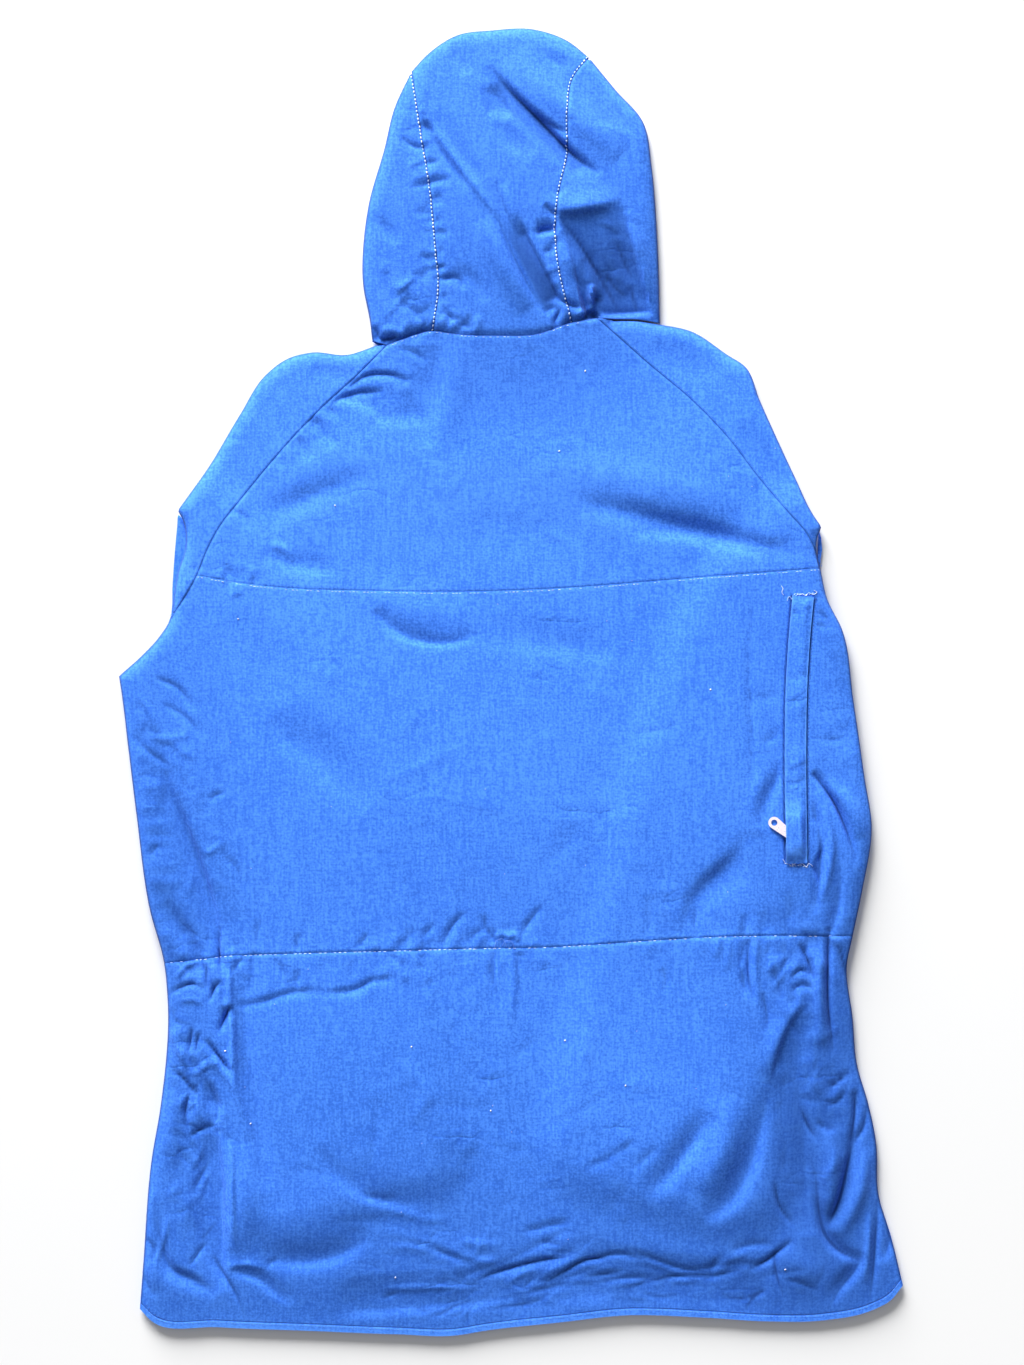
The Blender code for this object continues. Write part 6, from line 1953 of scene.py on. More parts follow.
class Palette:
    """The finishes of the coat, each made once."""

    def __init__(self) -> None:
        """Makes the materials."""
        cotton = (0.034, 0.160, 0.74), (0.074, 0.275, 0.98), (0.13, 0.38, 1.0)
        tape = (0.03, 0.10, 0.42), (0.05, 0.15, 0.55), (0.08, 0.2, 0.6)
        navy = (0.012, 0.045, 0.25), (0.03, 0.10, 0.42)
        self.shell = ClothFinish("blue_cotton", *cotton).make()
        self.tape = ClothFinish("zip_tape_cloth", *tape).make()
        self.pale_thread = ThreadFinish("pale_thread", (0.25, 0.48, 0.95), (0.80, 0.90, 1.0)).make()
        self.blue_thread = ThreadFinish("blue_thread", (0.05, 0.17, 0.62), (0.16, 0.36, 0.9)).make()
        self.navy_thread = ThreadFinish("navy_thread", *navy).make()
        self.metal = MetalFinish("zip_metal", (1.0, 0.90, 0.94), (0.86, 0.76, 0.80)).make()
        self.lint = ThreadFinish("lint", (0.55, 0.6, 0.7), (0.9, 0.9, 0.95)).make()


# ------------------------------------------------------------------ the coat
@dataclass(frozen=True)
class Cut:
    """The node that a piece of cloth stands for, what it was cut to in metres, and its rest."""

    node: str
    flat: tuple[float, float]
    area: float
    rests_on: tuple[str, ...]
    held: str = "laid"

    def dress(self, piece: bpy.types.Object, palette: Palette) -> None:
        """Gives a piece its cloth, and hides the node that it stands for."""
        finish_piece(piece, palette.shell, [self.node])


class Pattern:
    """The lines, the seams and the lay that all the panels share."""

    def __init__(self) -> None:
        """Draws the lines once."""
        self.lay = Lay()
        left, right = Line.through(LEFT_EDGE), Line.through(RIGHT_EDGE)
        self.left_edge, self.right_edge = left, right
        self.hem = Line.through(HEM)
        self.waist = Line.through(WAIST_SEAM)
        self.yoke = Line.through(YOKE_SEAM)
        self.neck = Line.through(NECK_SEAM)
        self.left_raglan = Line.through(LEFT_RAGLAN[::-1])
        self.right_raglan = Line.through(RIGHT_RAGLAN[::-1])
        self.left_front_raglan = Line.through(LEFT_FRONT_RAGLAN[::-1])
        self.right_front_raglan = Line.through(RIGHT_FRONT_RAGLAN[::-1])
        self.front_neck = Line.through(FRONT_NECK)
        self.hood_left_seam = Line.through(HOOD_LEFT_SEAM)
        self.hood_right_seam = Line.through(HOOD_RIGHT_SEAM)
        self.hood_left_base = self.neck.between(HOOD_LEFT_SEAM[0], NECK_SEAM[0]).then(
            Line.through(HOOD_LEFT_OVERHANG)
        )
        self.hood_right_base = self.neck.between(HOOD_RIGHT_SEAM[0], NECK_SEAM[-1]).then(
            Line.through(HOOD_RIGHT_OVERHANG)
        )
        # Each seam's dark line is painted shade in its crevice.
        self.back_seams = (
            Seam(self.waist, 0.7, 1.1, 0.3),
            Seam(self.yoke, 0.4, 0.9, 0.35),
            Seam(self.left_raglan, 0.7, 0.9),
            Seam(self.right_raglan, 0.7, 0.9),
            Seam(self.neck, 0.8, 1.2),
            # the dark lines beside the welt are painted shadow under its edges
            Seam(self.lay.welt.beside(9.7), 0.8, 1.0, 1.0, 1.0),
            Seam(self.lay.welt.beside(-9.7), 0.8, 1.0, 1.0, 1.0),
        )
        self.hood_seams = (
            Seam(self.hood_left_seam, 0.8, 1.3),
            Seam(self.hood_right_seam, 0.8, 1.3),
            Seam(self.hood_left_base, 4.0, 7.0),
            Seam(self.hood_right_base, 4.0, 7.0),
            Seam(self.neck, 1.8, 3.0),
        )

    def left_side(self) -> Line:
        """The left side of the back's middle, with the end of the armhole."""
        side = self.left_edge.between(WAIST_SEAM[0], LEFT_RAGLAN[-1])
        return side.then(self.left_raglan.between(LEFT_RAGLAN[-1], YOKE_SEAM[0]))


@dataclass
class Part:
    """A sub-assembly of the coat. Its pieces of cloth come first, in the order of their cuts."""

    pattern: Pattern
    pieces: list[bpy.types.Object] = field(default_factory=list, init=False)

    CUTS: ClassVar[tuple[Cut, ...]] = ()

    def dress(self, palette: Palette) -> None:
        for piece, cut in zip(self.pieces, self.CUTS):
            cut.dress(piece, palette)


HEM_BAND = 5.2  # the width of the turned hem
HEM_STEP = 0.5
HEM_PROUD = 0.45
FRONTS = ("front_left", "front_right")
BAND_FADE, RIM_FADE, HEM_EDGE_PAINTED_SHADOW = 0.42, 0.2, 0.8  # of the band, its rim, and the painted shadow line above it


def hem_thickness(plan: Array) -> Array:
    """How far the outer face stands out: the cloth, and the turned band along the hem.

    The band adds HEM_PROUD up to HEM_BAND from the hem, and ends in a smooth step.
    """
    return OUTER + HEM_PROUD * (1 - smoothstep((reach(plan) - HEM_BAND) / HEM_STEP))


def hem_fading_and_painted_shadow(plan: Array) -> Array:
    """The hem's colour: a paler worn band and rim, and a painted shadow line under the edge of the
    band.

    Args:
        plan: The plan points of a piece whose bottom is the hem.

    Returns:
        The wear.
    """
    d = reach(plan)
    turned = BAND_FADE * (1 - smoothstep((d - HEM_BAND) / HEM_STEP))
    # the line is painted shadow under the edge of the band
    rim, line = band(d, 0.0, 0.9), band(d, HEM_BAND + 0.7, HEM_STEP)
    return turned + RIM_FADE * rim - HEM_EDGE_PAINTED_SHADOW * line


@dataclass
class BackPanels(Part):
    """The three panels of the back, which lie on top: skirt, middle and yoke."""

    cell: float = 2.8
    middle_cell: float = 2.7
    middle_rows: float = 2.0
    yoke_cell: float = 2.2
    hem_fine: tuple[tuple[float, float, float], ...] = ((0, 95, 1.5), (480, 700, 1.6))
    side_fine: tuple[tuple[float, float, float], ...] = ((0, 75, 1.9), (230, 400, 2.0))
    waist_fine: tuple[tuple[float, float, float], ...] = ((0, 60, 1.8), (512, 578, 1.4))

    CUTS: ClassVar[tuple[Cut, ...]] = (
        Cut("back_skirt", (0.66, 0.345), 0.205, FRONTS),
        Cut("back_middle", (0.64, 0.335), 0.190, FRONTS),
        Cut("back_yoke", (0.54, 0.235), 0.085, FRONTS),
    )

    def build(self) -> None:
        """Builds the panels from the hem up."""
        self.pieces = [self._skirt(), self._middle(), self._yoke()]

    def _surface(self, plan: Array) -> Surface:
        """A plan raised on to the back."""
        p = self.pattern
        return p.lay.surface(plan, p.lay.body, True, p.back_seams)

    def _skirt(self) -> bpy.types.Object:
        """The skirt, from the hem to the waist, with its turned hem."""
        p = self.pattern
        left = p.left_edge.between(HEM[0], WAIST_SEAM[0])
        right = p.right_edge.between(HEM[-1], WAIST_SEAM[-1])
        up = marks(left.length, self.cell, HEM_MARKS, SEAM_MARKS, (), self.side_fine)
        columns = marks(p.hem.length, self.cell, TURN_MARKS, TURN_MARKS, (), self.hem_fine)
        plan = Patch(p.hem, p.waist, left, right).plan(columns, up, [Side.TOP])
        made = self._surface(plan)
        made.wear_and_painted_light[..., 0] += hem_fading_and_painted_shadow(plan)
        return made.wall("back_skirt_panel", hem_thickness(plan))

    def _middle(self) -> bpy.types.Object:
        """The middle, from the waist to the yoke. The top of its left side is an armhole seam."""
        p = self.pattern
        left = p.left_side()
        right = p.right_edge.between(WAIST_SEAM[-1], RIGHT_RAGLAN[-1])
        stops = [
            p.left_edge.between(WAIST_SEAM[0], point).length
            for point in (UNDERARM, LEFT_RAGLAN[-1])
        ]
        up = marks(left.length, self.middle_rows, SEAM_MARKS, SEAM_MARKS, stops)
        columns = marks(
            p.waist.length, self.middle_cell, TURN_MARKS, TURN_MARKS, (), self.waist_fine
        )
        plan = Patch(p.waist, p.yoke, left, right).plan(columns, up, [Side.BOTTOM, Side.TOP])
        armhole = np.searchsorted(up, stops[1] / left.length - 1e-6)
        draw_in(plan[armhole:], Side.LEFT)
        return self._surface(plan).wall("back_middle_panel")

    def _yoke(self) -> bpy.types.Object:
        """The yoke, between the raglan seams, from the middle to the neck."""
        p = self.pattern
        left = p.left_raglan.between(YOKE_SEAM[0], LEFT_RAGLAN[0])
        up = marks(left.length, self.yoke_cell, SEAM_MARKS, SEAM_MARKS)
        across_yoke = marks(p.yoke.length, self.yoke_cell, SEAM_MARKS, SEAM_MARKS)
        plan = Patch(p.yoke, p.neck, left, p.right_raglan).plan(across_yoke, up, list(Side))
        return self._surface(plan).wall("back_yoke_panel")


@dataclass
class FrontPanels(Part):
    """The two fronts, which the coat lies on, and the closed zip between them."""

    cell: float = 6.0
    tape_wall: float = 0.4
    tooth: tuple[float, float, float] = (2.3, 0.55, 0.45)  # half sizes of a zip tooth
    tooth_pitch: float = 2.4
    teeth_ends: tuple[float, float] = (-540.0, FRONT_NECK_CENTRE - 6)

    CUTS: ClassVar[tuple[Cut, ...]] = (
        Cut("front_left", (0.34, 0.83), 0.225, ("floor",)),
        Cut("front_right", (0.33, 0.83), 0.215, ("floor",)),
    )

    def build(self) -> None:
        """Builds both fronts, the zip's tape and its teeth."""
        self.pieces = [
            self._front("front_left_panel", True), self._front("front_right_panel", False),
            self._tape(), self._teeth(),
        ]

    def _front(self, name: str, is_left: bool) -> bpy.types.Object:
        """One front, from its side edge to the zip.

        Args:
            name: The piece's name.
            is_left: Whether it is the left front.

        Returns:
            The piece.
        """
        p = self.pattern
        hand = -1 if is_left else 1
        end = 0 if is_left else -1
        edge = p.left_edge if is_left else p.right_edge
        raglan = p.left_front_raglan if is_left else p.right_front_raglan
        top_of_side = (LEFT_RAGLAN if is_left else RIGHT_RAGLAN)[-1]
        foot = (ZIP_HALF_WIDTH * hand, ZIP_FOOT)
        bottom = p.hem.between(HEM[end], foot)
        top = p.front_neck.between(FRONT_NECK[end], (ZIP_HALF_WIDTH * hand, FRONT_NECK_CENTRE))
        lower = edge.between(HEM[end], top_of_side)
        stops = [lower.length]
        if is_left:
            stops.insert(0, edge.between(HEM[0], UNDERARM).length)
        side = lower.then(raglan)
        centre = straight(bottom.points[-1], top.points[-1])
        up = marks(side.length, self.cell, HEM_MARKS[1::2], (3.0,), stops)
        columns = marks(bottom.length, self.cell, UNDER_MARKS, SEAM_MARKS)
        plan = Patch(bottom, top, side, centre).plan(columns, up, [Side.RIGHT])
        draw_in(plan[np.searchsorted(up, lower.length / side.length - 1e-6) :], Side.LEFT)
        made = p.lay.surface(plan, p.lay.body, False, (), flip=is_left)
        made.wear_and_painted_light[..., 0] += hem_fading_and_painted_shadow(plan)
        return made.wall(name)

    def _strip(self, half: float, rows: Array) -> Array:
        """The plan of a strip along the zip, two points wide.

        Args:
            half: Half its width.
            rows: The fractions of its length.

        Returns:
            The plan points.
        """
        foot, top = self.pattern.hem.points, FRONT_NECK_CENTRE
        low = np.interp([-half, half], foot[:, 0], foot[:, 1])
        y = low[None] + (top - low[None]) * rows[:, None]
        return np.stack([np.broadcast_to([-half, half], y.shape), y], axis=2)

    def _tape(self) -> bpy.types.Object:
        """The zip's two tapes, closed, as one strip below the front edges."""
        plan = self._strip(ZIP_HALF_WIDTH - SEAM_GAP / 2, np.linspace(0, 1, 140))
        middle = (plan[:, :1] + plan[:, 1:]) / 2
        plan = np.concatenate([plan[:, :1], middle, plan[:, 1:]], axis=1)
        p = self.pattern
        return p.lay.surface(plan, p.lay.body, False, (), flip=True).wall(
            "front_zip_tape", self.tape_wall, -self.tape_wall
        )

    def _teeth(self) -> bpy.types.Object:
        """Two rows of moulded teeth that mesh, each row half a pitch from the other."""
        y = np.arange(*self.teeth_ends, self.tooth_pitch)
        x = np.repeat([-self.tooth_pitch / 2, self.tooth_pitch / 2], len(y))
        y = np.concatenate([y, y + self.tooth_pitch / 2])
        z = self.pattern.lay.under(x, y) - self.tooth[2] * 0.5
        count = len(x)
        points, faces = repeated(
            block(),
            np.stack([x, y, z], axis=1),
            np.tile([1.0, 0.0, 0.0], (count, 1)),
            np.tile([0.0, 0.0, 1.0], (count, 1)),
            np.tile(self.tooth, (count, 1)),
        )
        return make_mesh("front_zip_teeth", points, faces)

    def dress(self, palette: Palette) -> None:
        """Gives the fronts their cloth and the zip its finishes."""
        super().dress(palette)
        tape, teeth = self.pieces[2:]
        finish_piece(tape, palette.tape, ["front_zip"])
        finish_piece(teeth, palette.tape)


@dataclass
class Sleeves(Part):
    """The sleeve caps, which turn over the shoulders, and the lengths folded below the coat."""

    cell: float = 2.2
    under_cell: float = 8.0
    tip: float = 4.0  # how far above its lower end a cap starts
    cap_width: float = 60.0

    CUTS: ClassVar[tuple[Cut, ...]] = (
        Cut("sleeve_left", (0.15, 0.33), 0.025, ("front_left",)),
        Cut("sleeve_right", (0.14, 0.33), 0.022, ("front_right",)),
        Cut("sleeve_left_folded", (0.30, 0.60), 0.132, ("floor",), "folded"),
        Cut("sleeve_right_folded", (0.24, 0.55), 0.083, ("floor",), "folded"),
    )

    def build(self) -> None:
        """Builds the caps and the folded lengths."""
        p = self.pattern
        shoulder_left = p.left_edge.between(LEFT_RAGLAN[-1], LEFT_EDGE[0])
        shoulder_right = p.right_edge.between(RIGHT_RAGLAN[-1], RIGHT_EDGE[0])
        self.pieces = [
            self._cap("sleeve_left_cap", p.left_raglan, shoulder_left, p.left_front_raglan, True),
            self._cap(
                "sleeve_right_cap", p.right_raglan, shoulder_right, p.right_front_raglan, False
            ),
            self._folded(
                "sleeve_left_length", LEFT_SLEEVE_OUTER, LEFT_SLEEVE_INNER, LEFT_SLEEVE_FOLD[::-1]
            ),
            self._folded(
                "sleeve_right_length", RIGHT_SLEEVE_INNER, RIGHT_SLEEVE_OUTER, RIGHT_SLEEVE_FOLD
            ),
        ]

    def _cap(
        self, name: str, raglan: Line, shoulder: Line, front: Line, flip: bool
    ) -> bpy.types.Object:
        """A cap: from the back's raglan seam over the shoulder to the front's.

        Args:
            name: The piece's name.
            raglan: The back's raglan seam.
            shoulder: The edge of the shoulder.
            front: The front's raglan seam.
            flip: Whether its columns run the other way round.

        Returns:
            The piece.
        """
        p = self.pattern
        up = marks(raglan.length, self.cell, (), SEAM_MARKS)
        up = up[up > self.tip / raglan.length]
        over = marks(self.cap_width, self.cell, SEAM_MARKS, TURN_MARKS)
        below = marks(self.cap_width, self.under_cell, UNDER_MARKS, (1.6,))
        start, far = raglan.at(up), shoulder.at(up)
        top = self._ruled(start, far, over)
        under = self._ruled(far, front.at(up), below)
        draw_in(top, Side.LEFT, Side.TOP)
        draw_in(under, Side.RIGHT, Side.TOP)
        first = p.lay.surface(top, p.lay.body, True, p.back_seams, flip)
        second = p.lay.surface(under, p.lay.body, False, (), flip)
        return joined(first, second, 1).wall(name)

    @staticmethod
    def _ruled(first: Array, second: Array, shares: Array) -> Array:
        """Points on the straight lines from each point of first to that of second."""
        share = shares[None, :, None]
        return (1 - share) * first[:, None] + share * second[:, None]

    def _folded(
        self, name: str, left: Sequence[Point], right: Sequence[Point], fold: Sequence[Point]
    ) -> bpy.types.Object:
        """A sleeve pressed flat: a ring of lower layer, turn, upper layer and turn.

        Args:
            name: The piece's name.
            left: The points of its left side.
            right: The points of its right side.
            fold: The points of its upper end.

        Returns:
            The piece.
        """
        left_line, right_line = Line.through(left), Line.through(right)
        up = marks(left_line.length, self.under_cell, (1.0, 6.0))
        columns = marks(110.0, self.under_cell)
        cuff = straight(left_line.points[0], right_line.points[0])
        plan = Patch(cuff, Line.through(fold).reversed(), left_line, right_line).plan(columns, up)
        radius = (CLOTH + SLEEVE_GAP) / 2
        inset = radius + OUTER
        side = unit(plan[:, -1] - plan[:, 0])
        plan[:, 0] += side * inset
        plan[:, -1] -= side * inset
        middle = OUTER + radius
        angles = np.radians(np.arange(-75, 76, 15))

        def level(points: Array, z: float) -> Array:
            """A layer of the sleeve at this height."""
            return np.concatenate([points, np.full(points.shape[:2] + (1,), z)], axis=2)

        def turn(edge: Array, outward: Array) -> Array:
            """A half round along one side: edge + radius * (outward * cos + up * sin)."""
            flat = edge[:, None] + radius * outward[:, None] * np.cos(angles)[None, :, None]
            z = np.broadcast_to(middle + radius * np.sin(angles), flat.shape[:2])
            return np.concatenate([flat, z[..., None]], axis=2)

        points = np.concatenate([
            level(plan, middle - radius),
            turn(plan[:, -1], side),
            level(plan[:, ::-1], middle + radius),
            turn(plan[:, 0], -side)[:, ::-1],
        ], axis=1)
        return Surface(points, flip=True, ring=True).wall(name)


@dataclass
class HoodPanels(Part):
    """The hood: a strip over the crown and two sides, which turn under to the face opening."""

    cell: float = 1.6
    under_cell: float = 6.0
    tip: float = 3.0  # how far below its tip a side ends
    under_tip: float = 9.0

    CUTS: ClassVar[tuple[Cut, ...]] = (
        Cut("hood_centre", (0.135, 0.38), 0.044, FRONTS),
        Cut("hood_left", (0.16, 0.26), 0.032, ("floor",)),
        Cut("hood_right", (0.19, 0.26), 0.037, ("floor",)),
    )

    def build(self) -> None:
        """Builds the strip and both sides."""
        self.pieces = [self._centre(), self._side(True), self._side(False)]

    def _surface(self, plan: Array, is_upper: bool, flip: bool = False) -> Surface:
        """A plan raised on to the hood."""
        p = self.pattern
        return p.lay.surface(plan, p.lay.hood, is_upper, p.hood_seams if is_upper else (), flip)

    def _centre(self) -> bpy.types.Object:
        """The strip from the neck over the crown to the top of the face opening."""
        p = self.pattern
        crown = Line.through(CROWN)
        base = p.neck.between(HOOD_LEFT_SEAM[0], HOOD_RIGHT_SEAM[0])
        columns = marks(crown.length, self.cell, SEAM_MARKS, SEAM_MARKS)
        up = marks(p.hood_left_seam.length, self.cell, SEAM_MARKS, TURN_MARKS)
        over = Patch(base, crown, p.hood_left_seam, p.hood_right_seam).plan(
            columns, up, [Side.BOTTOM, Side.LEFT, Side.RIGHT]
        )
        left, right = Line.through(HOOD_LEFT_UNDER_SEAM), Line.through(HOOD_RIGHT_UNDER_SEAM)
        down = marks(left.length, self.under_cell, UNDER_MARKS)
        below = Patch(crown, Line.through(FACE_TOP), left, right).plan(
            columns, down, [Side.LEFT, Side.RIGHT]
        )
        below[0] = over[-1]
        made = joined(self._surface(over, True), self._surface(below, False), 0)
        return made.wall("hood_centre_panel")

    def _side(self, is_left: bool) -> bpy.types.Object:
        """One side: from the seam out to the edge, and below it in to the face opening.

        Args:
            is_left: Whether it is the left side.

        Returns:
            The piece.
        """
        p = self.pattern
        seam = p.hood_left_seam if is_left else p.hood_right_seam
        edge = Line.through(HOOD_LEFT_EDGE if is_left else HOOD_RIGHT_EDGE)
        base = p.hood_left_base if is_left else p.hood_right_base
        under_base = Line.through(HOOD_LEFT_UNDER_BASE if is_left else HOOD_RIGHT_UNDER_BASE)
        face = Line.through(FACE_LEFT if is_left else FACE_RIGHT)
        under_seam = Line.through(HOOD_LEFT_UNDER_SEAM if is_left else HOOD_RIGHT_UNDER_SEAM)
        shorter = 1 - self.tip / seam.length
        seam, edge = (Line(line.at(np.linspace(0, shorter, 150))) for line in (seam, edge))
        back_up = Line(under_seam.at(np.linspace(1, self.under_tip / under_seam.length, 60)))
        face = face.then(back_up)
        up = marks(edge.length, self.cell, SEAM_MARKS, (1.0,))
        over = Patch(base, straight(seam.points[-1], edge.points[-1]), seam, edge).plan(
            marks(60.0, self.cell, SEAM_MARKS, TURN_MARKS), up, [Side.BOTTOM, Side.LEFT]
        )
        below = Patch(under_base, straight(edge.points[-1], face.points[-1]), edge, face).plan(
            marks(100.0, self.under_cell, UNDER_MARKS), up, [Side.RIGHT]
        )
        below[:, 0] = over[:, -1]
        made = joined(self._surface(over, True, is_left), self._surface(below, False, is_left), 1)
        return made.wall("hood_left_panel" if is_left else "hood_right_panel")


@dataclass
class SidePocket(Part):
    """The zip pocket on the right of the back: a welt over the zip, its slider and its pull."""

    frame: dict[str, Any]
    width: float = 18.0
    wall: float = 1.0
    chain_width: float = 7.0
    chain_wall: float = 0.8
    end: float = 8.0  # the length over which the welt comes down at its ends
    bump: float = 21.0  # and over which it stands up beside the pull
    bump_height: float = 3.9
    bump_shift: float = 6.0
    tape_wall: float = 0.15
    rib_height: float = 0.12
    rib_pitch: float = 3.2
    ribbed: float = 2.6  # how far the ribs reach from the middle

    CUTS: ClassVar[tuple[Cut, ...]] = (
        Cut("pocket_welt", (0.020, 0.232), 0.0042, ("back_middle_panel",)),
    )

    def build(self) -> None:
        """Builds the welt and the chain below it."""
        self.line = Line.through(WELT_LINE)
        self.pieces = [self._welt(), self._chain()]

    def rise(self, along: Array, aside: Array) -> Array:
        """The welt's middle above the cloth.

        It lies on the chain, comes down along its sewn right side and its ends, and stands up
        over the slider and the pull by bump_height * exp(-(along/bump)^4), most on its left.

        Args:
            along: The distance from its top end.
            aside: The distance from its middle, to the right.

        Returns:
            The heights in millimetres.
        """
        half = self.width / 2
        rest = LAYER_GAP + self.wall / 2
        beyond = np.maximum(aside - self.chain_width / 2, 0) / (half - self.chain_width / 2)
        ends = np.minimum(along, self.line.length - along) / self.end
        lie = (self.chain_wall + LAYER_GAP) * (1 - smoothstep(beyond)) * smoothstep(ends)
        from_slider = abs(WELT_LINE[-1][1] - SLIDER[1])
        apart = (self.line.length - along - from_slider - self.bump_shift) / self.bump
        open_side = 1 - smoothstep((aside - self.width / 6) / (self.width / 3))
        return rest + lie + self.bump_height * np.exp(-(apart**4)) * open_side

    def _grid(self, along: Array, aside: Array) -> tuple[Array, Array, Array]:
        """A grid on the welt's line: the distances along and aside, and the points in plan.

        Args:
            along: Distances from the line's top.
            aside: Distances to its left.

        Returns:
            Both distances, and the plan, for each point of the grid.
        """
        a, c = np.meshgrid(along, aside, indexing="ij")
        middle = Line(self.line.at(along / self.line.length))
        return a, c, middle.points[:, None] + c[..., None] * middle.normals()[:, None]

    def _welt(self) -> bpy.types.Object:
        """The strip of cloth over the zip, with cross creases, and painted highlight on its edges
        and its lower end.
        """
        half, length = self.width / 2, self.line.length
        along = marks(length, 1.5, (0.4, 1.2), (0.4, 1.2)) * length
        aside = np.concatenate([[-1, -0.97, -0.92], np.linspace(-0.84, 0.84, 15), [0.92, 0.97, 1]])
        a, c, plan = self._grid(along, aside * half)
        creases = (
            Fold(-9, 68, 4, 72, 1, 2.0, -0.5, 0.3, 0.5), Fold(0, 66, 10, 70, -1, 2.0, -0.5, 0, 0.4),
            Fold(-9, 142, 9, 138, 2, 2.6, 0.5), Fold(-10, 158, 10, 154, 3, 2.2, -0.5, 0.2, 0.3),
            Fold(-6, 210, 2, 228, 2, 2.2, 0.8, 0, 0.4), Fold(1, 214, 7, 228, -2, 2.0, -0.7, 0, 0.4),
            Fold(-2, 2, -5, 22, 1, 2.0, -0.4), Fold(4, 2, 3, 26, 1, 2.0, 0.4),
        )
        z = POCKET_LEVEL + OUTER + self.rise(a, c) + sum(f.rise(c, a)[0] for f in creases)
        edge = half - np.abs(c)
        # painted highlight along the rolled edges, and painted light on the lower end against the
        # shade of its slope
        edges = 0.5 * band(edge, 0.0, 0.9)
        foot = 0.2 * np.exp(-(((length - a - 9) / 7) ** 4))
        wear_and_painted_light = np.stack([edges + foot, np.full_like(a, 0.3)], axis=2)
        made = Surface(np.concatenate([plan, z[..., None]], axis=2), flip=True, wear_and_painted_light=wear_and_painted_light)
        return made.wall("pocket_welt_strip", self.wall / 2, -self.wall / 2)

    def _chain(self) -> bpy.types.Object:
        """The zip's chain: a band of ribs, one for each pair of teeth."""
        length = self.line.length - 2 * self.end
        half = self.chain_width / 2
        a, c, plan = self._grid(marks(length, 0.8) * length + self.end, np.linspace(-half, half, 9))
        rib = self.rib_height * np.sin(a * 2 * math.pi / self.rib_pitch)
        top = POCKET_LEVEL + OUTER + LAYER_GAP + self.chain_wall - self.tape_wall
        z = top + rib * (np.abs(c) < self.ribbed)
        made = Surface(np.concatenate([plan, z[..., None]], axis=2), flip=True)
        return made.wall("pocket_zip_chain", 0.0, self.tape_wall - self.chain_wall)

    def dress(self, palette: Palette) -> None:
        """Gives the pocket its cloth, and the slider and the pull their metal."""
        super().dress(palette)
        finish_piece(self.pieces[1], palette.tape, ["pocket_zip_tape"])
        for node in ("zip_slider", "zip_pull"):
            for holder in self.frame["nodes"][node].material_slots:
                holder.material = palette.metal
            LOG.info("%s: the source's own", node)


# ------------------------------------------------------------------ sewing
@dataclass(frozen=True)
class StitchRow:
    """A row of stitches along a line in plan."""

    line: Line
    on_hood: bool = False
    pitch: float = 3.0
    length: float = 2.2
    width: float = 0.42
    height: float = 0.32
    lift: float = 0.0  # of the cloth's face above its usual place
    wander: float = 0.12
    missing: float = 0.0  # the share of stitches that have sunk in
    seed: int = 5
    shift: float = 0.0  # along the line, in pitches
    turn: float = 0.0  # how far, in radians, a stitch may lie off its line


WELT_TOP_STITCHES = [(234, 71), (240, 74), (248, 73.5), (256, 75)]
WELT_BOTTOM_STITCHES = [(230.5, -151), (237, -154.5), (244, -154), (251, -156)]
THREAD_ENDS = [
    ((233, 69), (234.5, 73), (237, 70.5), (240, 73.5), (243, 75)),
    ((243, 74), (246, 75), (249, 73.5), (251, 76), (255, 74.5), (258, 76.5), (255.5, 78)),
    ((229, -149.5), (232, -153.5), (235, -151.5), (238, -154), (241, -153)),
    ((242, -155), (246, -153.5), (249, -156), (252, -153.5), (254, -155.5)),
    ((228, 82), (229.4, 79.5), (228.6, 76.5), (230, 74)),
]
WAIST_LOOPS = [
    ((-15, -226), (-13.5, -219.5), (-10, -216.5), (-6, -219), (-4.5, -224)),
    ((-8, -223), (-4, -218.5), (0, -219.5), (2, -226)),
]
LINT = [
    (168, -6), (-85, -308), (-18, -363), (-99, -505), (62, 264), (45, -303), (-243, -312),
    (-222, -374), (232, -498), (96, -341), (-232, 54), (40, 196), (-150, 150),
]


